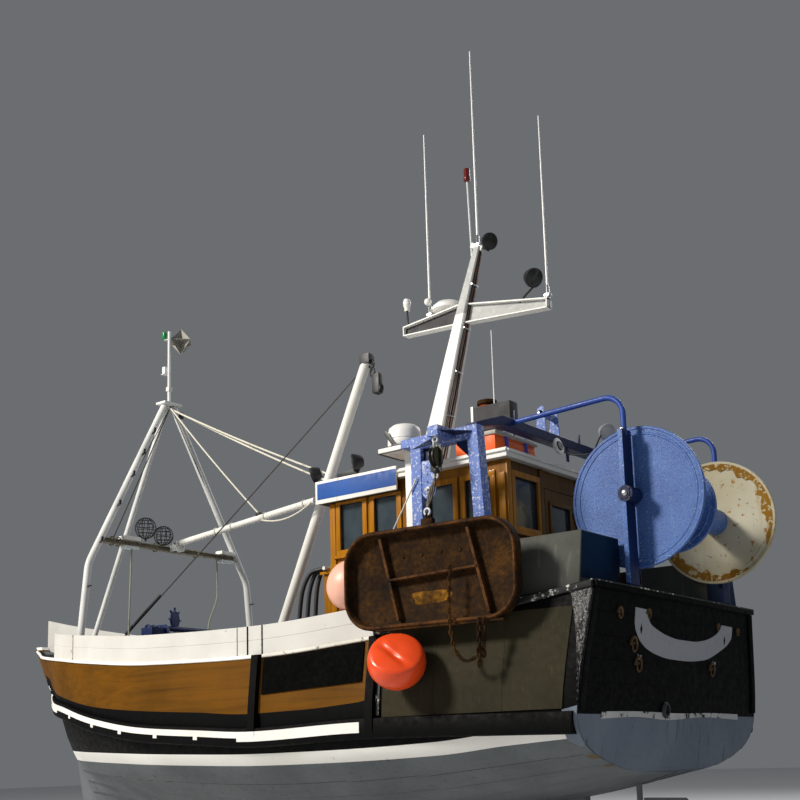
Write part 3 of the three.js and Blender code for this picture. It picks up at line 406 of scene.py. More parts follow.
# Antifouling and primer, rolled on: chalky greys that take the light evenly
ANTIFOULING = WornPaint("antifouling", "#6c7276", 0.7, "#5c6266", "#474c50", "#3a3e40", 0.15, 0.35, gloss=0.3)
LAP_SHADOW = WornPaint("lap_shadow", "#26292b", 0.7, "#1d2022", "#33373a", "#42474a")
TRANSOM_FOOT = WornPaint("transom_foot", "#747e8c", 0.6, "#667080", "#4a5058", "#3a4048", 0.25, 0.45,
    gloss=0.3)
DECK_PAINT = WornPaint("deck_paint", "#5a6064", 0.7, "#4a5054", "#3a3a38", "#6a5a48", 0.25)
CASING_GREY = WornPaint("casing_grey", "#5c5e58", 0.7, "#484a46", "#787a74", "#2c2e2e", 0.2, 0.4, run_mm=90,
    gloss=0.25)
BANNER_GREY = WornPaint("banner_grey", "#9a9ea6", 0.5, "#9a9da2", "#6a6c70", "#50545a")
BROWN_PRIMER = WornPaint("brown_primer", "#6a5a36", 0.6, "#4e4228", "#7e6e44", "#2c2618", 0.3)
# Dark brown under the visor's overhang stands in for the shade there: painted shade
VISOR_UNDERSIDE_SHADE = WornPaint("visor_underside_painted_shade", "#241a0e", 0.6, "#2a2016", "#4a3a28", "#20180f")

# Blue and navy enamel on steel: saturated, with pale scuffs along edges that ropes and shackles strike
BLUE_GALLOWS = WornPaint("blue_gallows", "#5878c4", 0.42, "#4a6ab8", "#8f9cc4", "#b9c4e2", 0.62, 0.2, 30,
    run_mm=30, bump=0.6)
NAVY_ENAMEL = WornPaint("navy_enamel", "#0c2456", 0.4, "#081a40", "#1a2030", "#4a3424", 0.12, gloss=0.3)
DRUM_BLUE = WornPaint("drum_blue", "#416bb2", 0.42, "#345ca4", "#6f8fcc", "#a9c0ee", 0.5, 0.3, 15, 260,
    bump=1.0)
VISOR_BLUE = WornPaint("visor_blue", "#2458a8", 0.4, "#1e4c96", "#305080", "#c0c8d8", 0.04, gloss=0.3)
# Dark navy sheets on the grey lockers' aft faces stand in for their shade: painted shade
CASING_AFT_SHADE = WornPaint("casing_aft_painted_shade", "#12304e", 0.6, "#0c2440", "#182c44", "#2c3e54", 0.08, gloss=0.1)
STAY_BLUE = WornPaint("stay_blue", "#2a4fa8", 0.35, "#20408e", "#4a68b0", "#7d93cc", gloss=0.4)

# Steel, hot-dip galvanised, scuffed or rusting: pale where zinc holds, brown and pitted where it's gone
GALVANISED = WornPaint("galvanised", "#dfe1e0", 0.42, "#c3c6c6", "#9a7a58", "#7a4a2a", 0.1, 0.2, 35,
    bump=0.08)
SCUFFED_PLATE = WornPaint("scuffed_plate", "#343020", 0.8, "#2a271b", "#48432e", "#56503a", 0.12, 0.35,
    run_mm=25, bump=0.1, gloss=0.2)
RUST_OCHRE = WornPaint("rust_ochre", "#8f6824", 0.85, "#6e4a16", "#a88440", "#b4ac8a", 0.62, gloss=0.1)
RUST = RustedSteel("rust", "#2e1c08", 0.85, "#4c300e")
RUST_YELLOW = RustedSteel("rust_yellow", "#5a3c0c", 0.85, "#9a6a18", 60.0)
RUST_RIM = RustedSteel("rust_rim", "#4a2e14", 0.8, "#6a4520")
RUST_ORANGE = RustedSteel("rust_orange", "#7a3214", 0.8, "#c0562a")

# Cast, drawn and pressed metal: bronze and stainless glint, castings stay black
BRONZE = Moulded("bronze", "#8d6a33", 0.35, "#3f5a48", 0.4, 0.9)
STAINLESS = Moulded("stainless", "#c9ccce", 0.25, "#8a8a86", metallic=0.9)
DARK_CASTING = Moulded("dark_casting", "#1b1d20", 0.45, "#4a4440", 0.35)
LAMP_SILVER = Moulded("lamp_silver", "#b4b8bc", 0.35, "#6a6c6e", 0.3, 0.5)
REFLECTOR_SHEET = Moulded("reflector_sheet", "#8f8d86", 0.6, "#6a675e", 0.3)
# Dark grey of the box on the roof; also painted shade on the crosstree's forward web
DARK_GREY_AND_WEB_SHADE = Moulded("dark_grey_and_web_shade", "#37373a", 0.7, "#26262a", 0.4)
BLOCK_OLIVE = Moulded("block_olive", "#4a4628", 0.6, "#26241a", 0.5)
GILT = Moulded("gilt", "#4a3410", 0.6, "#241a0a", 0.5)

# Injection mouldings, inflated vinyl and rubber: even colour with a soft sheen, grimy in the hollows
WHITE_MOULDING = Moulded("white_moulding", "#f1f1ee", 0.3, "#b9b4a6", 0.15)
ORANGE_VINYL = Moulded("orange_vinyl", "#f2501e", 0.3, "#a83a1a", 0.3)
PINK_VINYL = Moulded("pink_vinyl", "#f3b8a2", 0.35, "#d69a86", 0.3)
VALISE_ORANGE = Moulded("valise_orange", "#f06408", 0.55, "#c84a06", 0.25)
VALISE_LID = Moulded("valise_lid", "#a9a59a", 0.5, "#7a756a", 0.4)
BLACK_RUBBER = Moulded("black_rubber", "#17181a", 0.5, "#3a3a38", 0.3)
CABLE_TAN = Moulded("cable_tan", "#8a5a44", 0.5, "#4a3428")

# Glass and lamp lenses: dark mirrors by day, coloured only in the navigation lamps
GLASS = WindowGlass("window_glass", "#1c262c", 0.05)
LENS = Moulded("lamp_lens", "#d9e2e6", 0.12, "#9aa4a8")
DARK_LENS = Moulded("dark_lens", "#1c211d", 0.2, "#2c2f28")
RED_LAMP = Moulded("red_lamp", "#5a1410", 0.2, "#2a0c0a")
GREEN_LAMP = Moulded("green_lamp", "#1f7a4a", 0.2, "#16402a")

# Laid rope, webbing and wire: matt and rough, pale where it's new and brown where it's old
ROPE_FIBRE = Moulded("rope_fibre", "#d9d6c8", 0.8, "#8d8672", 0.4, bump=0.5)
ROPE_GREY = Moulded("rope_grey", "#8c9284", 0.85, "#5c6056", 0.4, bump=0.5)
ROPE_OLD = Moulded("rope_old", "#6a6252", 0.85, "#3a352c", 0.5, bump=0.5)
NAVY_STRAP = Moulded("navy_strap", "#2f49b8", 0.7, "#1c2c6c", 0.3, bump=0.4)
WIRE = Moulded("wire_rope", "#4a4640", 0.5, "#6a4a30", 0.4, 0.5)


# Mesh helpers

def fair(xs: Iterable[float], ys: Iterable[float]) -> Callable[[Any], Any]:
    """Fits a smooth line that never overshoots its points.

    Args:
        xs: Rising positions.
        ys: Values at those positions.

    Returns:
        A function that reads the line at one place or an array of places.
    """
    x, y = np.array(list(xs), float), np.array(list(ys), float)
    step, slope = np.diff(x), np.diff(y) / np.diff(x)
    tangent = np.zeros_like(y)
    before, after = 2 * step[1:] + step[:-1], step[1:] + 2 * step[:-1]
    for i in range(1, len(y) - 1):
        if slope[i - 1] * slope[i] > 0:
            weight = before[i - 1] / slope[i - 1] + after[i - 1] / slope[i]
            tangent[i] = (before[i - 1] + after[i - 1]) / weight
    tangent[0], tangent[-1] = slope[0], slope[-1]

    def read(q: Any) -> Any:
        """Reads the line.

        Args:
            q: Place, or an array of places.

        Returns:
            The line's value at each place.
        """
        q = np.clip(q, x[0], x[-1])
        i = np.clip(np.searchsorted(x, q) - 1, 0, len(step) - 1)
        t = (q - x[i]) / step[i]
        start = (2 * t**3 - 3 * t**2 + 1) * y[i] + (t**3 - 2 * t**2 + t) * step[i] * tangent[i]
        end = (3 * t**2 - 2 * t**3) * y[i + 1] + (t**3 - t**2) * step[i] * tangent[i + 1]
        return start + end

    return read


def circle(count: int) -> list[Pair]:
    """Gives the cosines and sines of evenly spaced angles round a circle."""
    return [(math.cos(a), math.sin(a)) for a in (2 * math.pi * k / count for k in range(count))]


def turned(axis: Point) -> Matrix:
    """Gives the turn from upright to an axis."""
    return Vector(UP).rotation_difference(Vector(axis)).to_matrix()


def skin(part: Form, rings: Sequence[Sequence[Vert]]) -> None:
    """Joins rings of vertices, each to the next.

    Args:
        part: Form that the faces are added to.
        rings: Rings of equal count.
    """
    for near, far in zip(rings, rings[1:]):
        for i in range(len(near)):
            j = (i + 1) % len(near)
            part.faces.new((near[i], near[j], far[j], far[i]))


class Shape:
    """Gathers closed forms, each with its finish, and turns them into one piece."""

    def __init__(self) -> None:
        """Starts with nothing in it."""
        self.mesh = bmesh.new()
        self.finishes: list[Finish] = []

    def index(self, finish: Finish) -> int:
        """Gives the material number of a finish.

        Args:
            finish: The finish.

        Returns:
            Its place in the list of finishes, where it's added if it's new.
        """
        if finish not in self.finishes:
            self.finishes.append(finish)
        return self.finishes.index(finish)

    def take(self, part: Form, finish: Finish | None) -> None:
        """Adds a form to the shape, with its faces turned outward.

        Args:
            part: The form, which is used up.
            finish: Finish of all its faces, or None where they have their own.
        """
        bmesh.ops.recalc_face_normals(part, faces=part.faces)
        if finish:
            number = self.index(finish)
            for face in part.faces:
                face.material_index = number
        mesh = bpy.data.meshes.new("part")
        part.to_mesh(mesh)
        part.free()
        self.mesh.from_mesh(mesh)
        bpy.data.meshes.remove(mesh)

    def box(self, low: Point, high: Point, finish: Finish, edge: float = 0.004,
            turn: Matrix | None = None) -> None:
        """Adds a box with rounded edges.

        Args:
            low: Lowest corner.
            high: Highest corner.
            finish: Its finish.
            edge: Radius of the edges.
            turn: A turn about the box's own centre.
        """
        part = bmesh.new()
        size = Vector(high) - Vector(low)
        bmesh.ops.create_cube(part, size=1.0, matrix=Matrix.Diagonal((*size, 1.0)))
        edge = min(edge, min(size) * 0.3)
        bmesh.ops.bevel(part, geom=part.edges[:], offset=edge, segments=2, profile=0.7, affect="EDGES")
        place = Matrix.Translation((Vector(low) + Vector(high)) / 2)
        part.transform(place @ turn if turn else place)
        self.take(part, finish)

    def bar(self, start: Point, end: Point, width: float, height: float, finish: Finish,
            edge: float = 0.004) -> None:
        """Adds a rectangular bar between two points, with its height as upright as it can be.

        Args:
            start: Middle of its first end.
            end: Middle of its other end.
            width: Its level size.
            height: Its upright size.
            finish: Its finish.
            edge: Radius of the edges.
        """
        along = Vector(end) - Vector(start)
        forward = along.normalized()
        guide = Vector(UP if abs(forward.z) < 0.95 else AHEAD)
        side = guide.cross(forward).normalized()
        basis = Matrix((forward, side, forward.cross(side))).transposed().to_4x4()
        half = Vector((along.length / 2, width / 2, height / 2))
        middle = (Vector(start) + Vector(end)) / 2
        self.box(middle - half, middle + half, finish, edge, basis)

    def loft(self, rings: Sequence[Sequence[Point]], finish: Finish) -> None:
        """Adds a form through rings of equal count, closed round each ring and at both ends.

        Args:
            rings: Points of each ring, in order along the form.
            finish: Its finish.
        """
        part = bmesh.new()
        verts = [[part.verts.new(p) for p in ring] for ring in rings]
        skin(part, verts)
        part.faces.new(list(reversed(verts[0])))
        part.faces.new(verts[-1])
        self.take(part, finish)

    def torus(self, grid: Sequence[Sequence[Point]], finish: Finish) -> None:
        """Adds a form through rows of points that close both ways round.

        Args:
            grid: Points of each row, in order round the form.
            finish: Its finish.
        """
        part = bmesh.new()
        rows = [[part.verts.new(p) for p in row] for row in grid]
        for near, far in zip(rows, rows[1:] + rows[:1]):
            for i in range(len(near)):
                j = (i + 1) % len(near)
                part.faces.new((near[i], far[i], far[j], near[j]))
        self.take(part, finish)

    def tube(self, path: Sequence[Point], radius: float | Sequence[float], finish: Finish,
            sides: int = 14) -> None:
        """Adds a round bar or pipe along a path.

        Args:
            path: Points of its centreline.
            radius: Its radius, or one for each point.
            finish: Its finish.
            sides: Faces round it.
        """
        points = [Vector(p) for p in path]
        radii = [radius] * len(points) if isinstance(radius, (int, float)) else list(radius)
        normal = (points[1] - points[0]).normalized().orthogonal().normalized()
        rings = []
        for i, point in enumerate(points):
            tangent = (points[min(i + 1, len(points) - 1)] - points[max(i - 1, 0)]).normalized()
            normal = (normal - tangent * normal.dot(tangent)).normalized()
            other = tangent.cross(normal)
            rings.append([point + (normal * c + other * s) * radii[i] for c, s in circle(sides)])
        self.loft(rings, finish)

    def lathe(self, profile: Profile, centre: Point, axis: Point, finish: Finish, sides: int = 32) -> None:
        """Adds a turned form.

        Args:
            profile: Pairs of (radius, distance along the axis); it starts and ends on the axis.
            centre: Where the axis starts.
            axis: The way that the axis points.
            finish: Its finish.
            sides: Faces round it.
        """
        turn, start = turned(axis), Vector(centre)
        part = bmesh.new()
        rings = [[part.verts.new(start + turn @ Vector((radius * c, radius * s, along))) for c,
            s in circle(sides)] for radius, along in profile[1:-1]]
        skin(part, rings)
        for (_, along), ring in ((profile[0], rings[0]), (profile[-1], rings[-1])):
            tip = part.verts.new(start + turn @ Vector((0, 0, along)))
            for i in range(sides):
                part.faces.new((ring[i], ring[(i + 1) % sides], tip))
        self.take(part, finish)

    def rod(self, radius: float, length: float, base: Point, axis: Point, finish: Finish, sides: int) -> None:
        """Adds a plain round bar, or a flat disc where it is short."""
        self.lathe([(0, 0), (radius, 0), (radius, length), (0, length)], base, axis, finish, sides)

    def ball(self, centre: Point, radius: float, finish: Finish, sides: int = 24) -> None:
        """Adds a ball.

        Args:
            centre: Its centre.
            radius: Its radius.
            finish: Its finish.
            sides: Faces round it.
        """
        part = bmesh.new()
        bmesh.ops.create_uvsphere(part, u_segments=sides, v_segments=sides // 2, radius=radius)
        part.transform(Matrix.Translation(centre))
        self.take(part, finish)

    def ring(self, centre: Point, axis: Point, major: float, minor: float, finish: Finish,
            sides: int = 28) -> None:
        """Adds a round ring of round bar.

        Args:
            centre: Its centre.
            axis: The way that its axis points.
            major: Radius to the middle of the bar.
            minor: Radius of the bar.
            finish: Its finish.
            sides: Faces round it.
        """
        turn, grid = turned(axis), []
        for u, v in circle(sides):
            out = Vector((u, v, 0))
            bars = [out * (major + minor * c) + Vector((0, 0, minor * s)) for c, s in circle(10)]
            grid.append([Vector(centre) + turn @ local for local in bars])
        self.torus(grid, finish)

    def plate(self, outline: Profile, origin: Point, right: Point, up: Point, thickness: float,
            finish: Finish, edge: float = 0.003) -> None:
        """Adds a flat plate with rounded edges.

        Args:
            outline: Pairs of (along right, along up), round the plate.
            origin: Where the outline's zero lies.
            right: First direction of the outline.
            up: Second direction of the outline.
            thickness: Thickness, added on the side that right crossed with up points to.
            finish: Its finish.
            edge: Radius of the edges.
        """
        u, v = Vector(right).normalized(), Vector(up).normalized()
        part = bmesh.new()
        face = part.faces.new([part.verts.new(Vector(origin) + u * a + v * b) for a, b in outline])
        made = bmesh.ops.extrude_face_region(part, geom=[face])
        moved = [g for g in made["geom"] if isinstance(g, Vert)]
        bmesh.ops.translate(part, verts=moved, vec=u.cross(v).normalized() * thickness)
        bmesh.ops.recalc_face_normals(part, faces=part.faces)
        sharp = [e for e in part.edges if len(e.link_faces) == 2 and e.calc_face_angle() > 0.6]
        edge = min(edge, thickness * 0.3)
        bmesh.ops.bevel(part, geom=sharp, offset=edge, segments=2, profile=0.7, affect="EDGES",
            clamp_overlap=True)
        self.take(part, finish)

    def mirrored(self) -> "Shape":
        """Gives a copy for the other side of the boat.

        Returns:
            The mirror image.
        """
        copy = Shape()
        copy.finishes = list(self.finishes)
        copy.mesh = self.mesh.copy()
        copy.mesh.transform(Matrix.Diagonal((1, -1, 1, 1)))
        bmesh.ops.reverse_faces(copy.mesh, faces=copy.mesh.faces)
        return copy

    def piece(self, name: str, body: str = "boat", slot: str | None = None, replaces: Sequence[str] = (),
            sharp: float = 38.0, across: tuple[str, Point, Point] | None = None) -> None:
        """Turns the shape into a piece that rides on a body.

        Args:
            name: Name of the piece.
            body: Body that it rides on.
            slot: Not used.
            replaces: CAD nodes that it stands for.
            sharp: Angle in degrees from which an edge stays sharp.
            across: A second body and two points; where it is given, the piece goes on no body and its place
                is baked into its mesh.
        """
        limit = math.radians(sharp)
        for edge in self.mesh.edges:
            edge.smooth = len(edge.link_faces) == 2 and edge.calc_face_angle() < limit
        for face in self.mesh.faces:
            face.smooth = True
        mesh = bpy.data.meshes.new(name)
        self.mesh.to_mesh(mesh)
        self.mesh.free()
        for finish in self.finishes:
            mesh.materials.append(finish.material())
        made = bpy.data.objects.new(name, mesh)
        bpy.context.scene.collection.objects.link(made)
        if across:
            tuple(across[1])
            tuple(across[2])
            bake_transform(made)
        else:
            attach(made, body)
        if replaces:
            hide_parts(*replaces)
        LOG.info("%s: %d faces", name, len(mesh.polygons))

    def side_piece(self, name: str, port: bool, slot: str, node: str | None = None) -> None:
        """Turns a form drawn for the port side, or its mirror image, into a piece named for its side.

        Args:
            name: Name of the piece, without its side.
            port: Whether it is the port one.
            slot: Passed on to piece, which does not use it.
            node: CAD node that it stands for, without its side.
        """
        side = "port" if port else "starboard"
        shape = self if port else self.mirrored()
        shape.piece(f"{name}_{side}", slot=slot, replaces=[f"{node}_{side}"] if node else [])

    def both_sides(self, name: str, slot: str = "varnished_wood", node: str | None = None) -> None:
        """Turns a form drawn for the port side, and its mirror image, into two pieces."""
        for port in (False, True):
            self.side_piece(name, port, slot, node)


def dress(node: str, finish: Finish, edge: float = 0.006) -> None:
    """Gives a CAD node its finish and rounds its edges with modifiers.

    Args:
        node: Name of the node, whose shape stays.
        finish: Its finish.
        edge: Radius of the edges.
    """
    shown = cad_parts[node]
    shown.data.materials.clear()
    shown.data.materials.append(finish.material())
    weld = shown.modifiers.new("weld", "WELD")
    weld.merge_threshold = 0.0002
    flatten = shown.modifiers.new("flatten", "DECIMATE")
    flatten.decimate_type = "DISSOLVE"
    flatten.angle_limit = math.radians(1.5)
    bevel = shown.modifiers.new("edges", "BEVEL")
    bevel.width = edge
    bevel.segments = 2
    bevel.limit_method = "ANGLE"
    bevel.angle_limit = math.radians(40)


def arc(centre: Point, radius: float, start: float, end: float, steps: int) -> list[Vector]:
    """Gives points on an upright fore-and-aft arc, with angles in degrees.

    Args:
        centre: Its centre.
        radius: Its radius.
        start: Angle of the first point.
        end: Angle of the last point.
        steps: Number of stretches in the result.

    Returns:
        The points.
    """
    angles = [math.radians(start + (end - start) * i / steps) for i in range(steps + 1)]
    x, y, z = Vector(centre)
    return [Vector((x + radius * math.cos(a), y, z + radius * math.sin(a))) for a in angles]


def sagging(start: Point, end: Point, sag: float, steps: int = 16) -> list[Vector]:
    """Gives points of a line that hangs between two points.

    Args:
        start: Its first end.
        end: Its other end.
        sag: How far its middle hangs below the straight line.
        steps: Number of stretches in the result.

    Returns:
        The points.
    """
    a, b = Vector(start), Vector(end)
    shares = [i / steps for i in range(steps + 1)]
    return [a.lerp(b, t) - Vector((0, 0, 4 * sag * t * (1 - t))) for t in shares]


def smooth_path(points: Sequence[Point], steps: int) -> list[Vector]:
    """Gives points of one smooth curve through the given points.

    Args:
        points: Points that the curve passes.
        steps: Number of stretches in the result.

    Returns:
        The points of the curve.
    """
    knots = [Vector(p) for p in points]
    chord = [0.0]
    for near, far in zip(knots, knots[1:]):
        chord.append(chord[-1] + (far - near).length)
    lines = [fair(chord, [k[axis] for k in knots]) for axis in range(3)]
    return [Vector([float(line(chord[-1] * i / steps)) for line in lines]) for i in range(steps + 1)]


def floodlight(shape: Shape, centre: Point, facing: Point, radius: float, foot: Point,
        housing: Finish = DARK_CASTING, lens: Finish = DARK_LENS) -> None:
    """Adds a floodlight on a bracket.

    Args:
        shape: Shape that it is added to.
        centre: Middle of its housing.
        facing: The way that its lens points.
        radius: Radius of the lens.
        foot: Where its bracket is fixed.
        housing: Finish of the housing.
        lens: Finish of the lens.
    """
    axis, r = Vector(facing).normalized(), radius
    back = Vector(centre) - axis * radius * 0.7
    can = [(0, 0), (r * 0.55, 0), (r * 0.75, r * 0.25), (r, r * 0.9), (r * 1.04, r), (r * 1.04, r * 1.3),
        (r * 0.95, r * 1.34), (0, r * 1.34)]
    shape.lathe(can, back, axis, housing, 28)
    pane = [(0, 0), (r * 0.88, 0), (r * 0.8, r * 0.03), (0, r * 0.05)]
    shape.lathe(pane, back + axis * r * 1.335, axis, lens, 28)
    elbow = Vector(centre) - Vector((0, 0, radius * 1.2))
    bend = elbow.lerp(Vector(foot), 0.5) + Vector((0, 0, 0.01))
    shape.tube([Vector(foot), bend, elbow, back + axis * r * 0.2], 0.016, DARK_CASTING, 10)


def netted_float(shape: Shape, centre: Point, radius: float) -> None:
    """Adds a dark ball of netting wire on its short stalk.

    Args:
        shape: Shape that it is added to.
        centre: Its centre.
        radius: Its radius.
    """
    middle = Vector(centre)
    for k in range(6):
        a = math.pi * k / 6
        shape.ring(centre, (math.cos(a), math.sin(a), 0.05), radius, 0.005, DARK_CASTING, 32)
    for z in (-0.6, -0.25, 0.25, 0.6):
        place = middle + Vector((0, 0, z * radius))
        shape.ring(place, UP, radius * math.sqrt(1 - z * z), 0.005, DARK_CASTING, 32)
    ends = [middle - Vector((0, 0, radius * reach)) for reach in (1.25, 0.9)]
    shape.tube(ends, 0.014, DARK_CASTING, 10)


def closed_tube(shape: Shape, loop: Sequence[Vector], radius: float, finish: Finish) -> None:
    """Adds round bar along a closed flat loop.

    Args:
        shape: Shape that it is added to.
        loop: Points of its centreline.
        radius: Radius of the bar.
        finish: Its finish.
    """
    count = len(loop)
    middle = sum(loop, Vector()) / count
    normal = (loop[0] - middle).cross(loop[count // 4] - middle).normalized()
    grid = []
    for i, point in enumerate(loop):
        out = (loop[(i + 1) % count] - loop[i - 1]).normalized().cross(normal)
        grid.append([point + (out * c + normal * s) * radius for c, s in circle(6)])
    shape.torus(grid, finish)


def chain(shape: Shape, path: Sequence[Point], bar: float, finish: Finish) -> None:
    """Adds welded oval links along a path.

    Args:
        shape: Shape that it is added to.
        path: Points of its centreline.
        bar: Radius of the round bar of a link.
        finish: Its finish.
    """
    points = [Vector(p) for p in path]
    lengths = [0.0]
    for near, far in zip(points, points[1:]):
        lengths.append(lengths[-1] + (far - near).length)
    pitch, length, half = bar * 5.2, bar * 2.3, bar * 1.25
    count = max(1, int(lengths[-1] / pitch))
    for link in range(count):
        at = (link + 0.5) * lengths[-1] / count
        i = max(0, min(int(np.searchsorted(lengths, at)) - 1, len(points) - 2))
        t = (at - lengths[i]) / (lengths[i + 1] - lengths[i])
        middle = points[i].lerp(points[i + 1], t)
        ahead = (points[i + 1] - points[i]).normalized()
        side = ahead.orthogonal().normalized()
        if link % 2:
            side = ahead.cross(side).normalized()
        loop = [middle + ahead * (math.copysign(length, u) * 0.45 + half * u) + side * half * v for u,
            v in circle(16)]
        closed_tube(shape, loop, bar, finish)


# Hull

@dataclass
class HullForm:
    """The faired hull shape that everything fixed to the hull is fitted to.

    Attributes:
        places: Distances of the sections from the transom.
        breadths: Half breadths of each section, from keel to sheer.
        heights: Heights of each section, from keel to sheer.
        rake: How far the transom leans, as a slope.
        samples: Number of points that a section is read at.
    """

    places: tuple[float, ...] = (0, 1.0, 2.2, 3.6, 5.2, 6.5, 7.4, 8.2, 8.66, 8.85, 9.4, 9.78)
    breadths: Rows = ((0.05, 0.05, 0.05, 0.05, 0.05, 0.05, 0.05, 0.05, 0.045, 0.04, 0.035, 0.025),
        (0.70, 0.75, 0.80, 0.80, 0.70, 0.50, 0.33, 0.15, 0.065, 0.08, 0.06, 0.03),
        (1.35, 1.45, 1.50, 1.48, 1.35, 1.06, 0.72, 0.35, 0.11, 0.14, 0.09, 0.035),
        (1.78, 1.88, 1.94, 1.95, 1.87, 1.56, 1.15, 0.62, 0.23, 0.23, 0.13, 0.04),
        (1.87, 1.945, 1.985, 1.995, 1.96, 1.73, 1.38, 0.87, 0.52, 0.40, 0.18, 0.045),
        (1.70, 1.80, 1.88, 1.93, 1.93, 1.75, 1.47, 1.05, 0.77, 0.65, 0.28, 0.05))
    heights: Rows = ((-0.31, -0.52, -0.68, -0.80, -0.88, -0.92, -0.93, -0.93, -0.60, 0.10, 0.80, 1.42),
        (-0.29, -0.45, -0.58, -0.66, -0.70, -0.70, -0.68, -0.62, -0.40, 0.22, 0.88, 1.44),
        (-0.18, -0.25, -0.34, -0.40, -0.42, -0.38, -0.35, -0.30, -0.15, 0.40, 0.98, 1.46),
        (0.02, 0.0, 0.0, 0.0, 0.0, 0.04, 0.06, 0.10, 0.15, 0.58, 1.08, 1.48),
        (0.20, 0.18, 0.18, 0.17, 0.24, 0.35, 0.52, 0.68, 0.72, 0.85, 1.20, 1.50),
        (1.25, 1.10, 1.00, 0.93, 0.966, 1.076, 1.18, 1.27, 1.325, 1.35, 1.44, 1.52))
    rake: float = 0.11
    samples: int = 90

    def __post_init__(self) -> None:
        """Fairs every line along the hull."""
        self.breadth_lines = [fair(self.places, row) for row in self.breadths]
        self.height_lines = [fair(self.places, row) for row in self.heights]
        self.cache: dict[float, tuple[np.ndarray, np.ndarray]] = {}

    def section(self, x: float) -> tuple[np.ndarray, np.ndarray]:
        """Gives half breadths and heights down one faired section, from the keel up.

        Args:
            x: Distance from the transom.

        Returns:
            The half breadths and the heights.
        """
        key = round(float(x), 5)
        if key not in self.cache:
            ys = np.array([line(x) for line in self.breadth_lines])
            zs = np.array([line(x) for line in self.height_lines])
            chord = np.concatenate([[0], np.cumsum(np.hypot(np.diff(ys), np.diff(zs)))])
            t = np.linspace(0, chord[-1], self.samples)
            self.cache[key] = (fair(chord, ys)(t), fair(chord, zs)(t))
        return self.cache[key]

    def sheer(self, x: float) -> float:
        """Gives the sheer's height."""
        return float(self.height_lines[-1](x))

    def sheer_breadth(self, x: float) -> float:
        """Gives the half breadth at the sheer."""
        return float(self.breadth_lines[-1](x))

    def breadth(self, x: float, z: float) -> float:
        """Gives the half breadth at a place and a height."""
        ys, zs = self.section(x)
        return float(np.interp(z, zs, ys))

    def transom_shift(self, x: float, z: float) -> float:
        """Gives how far forward the transom's rake moves a point."""
        return (self.rake * (1.31 - z) - 0.05) * max(0.0, 1 - x / 0.6)


FORM = HullForm()


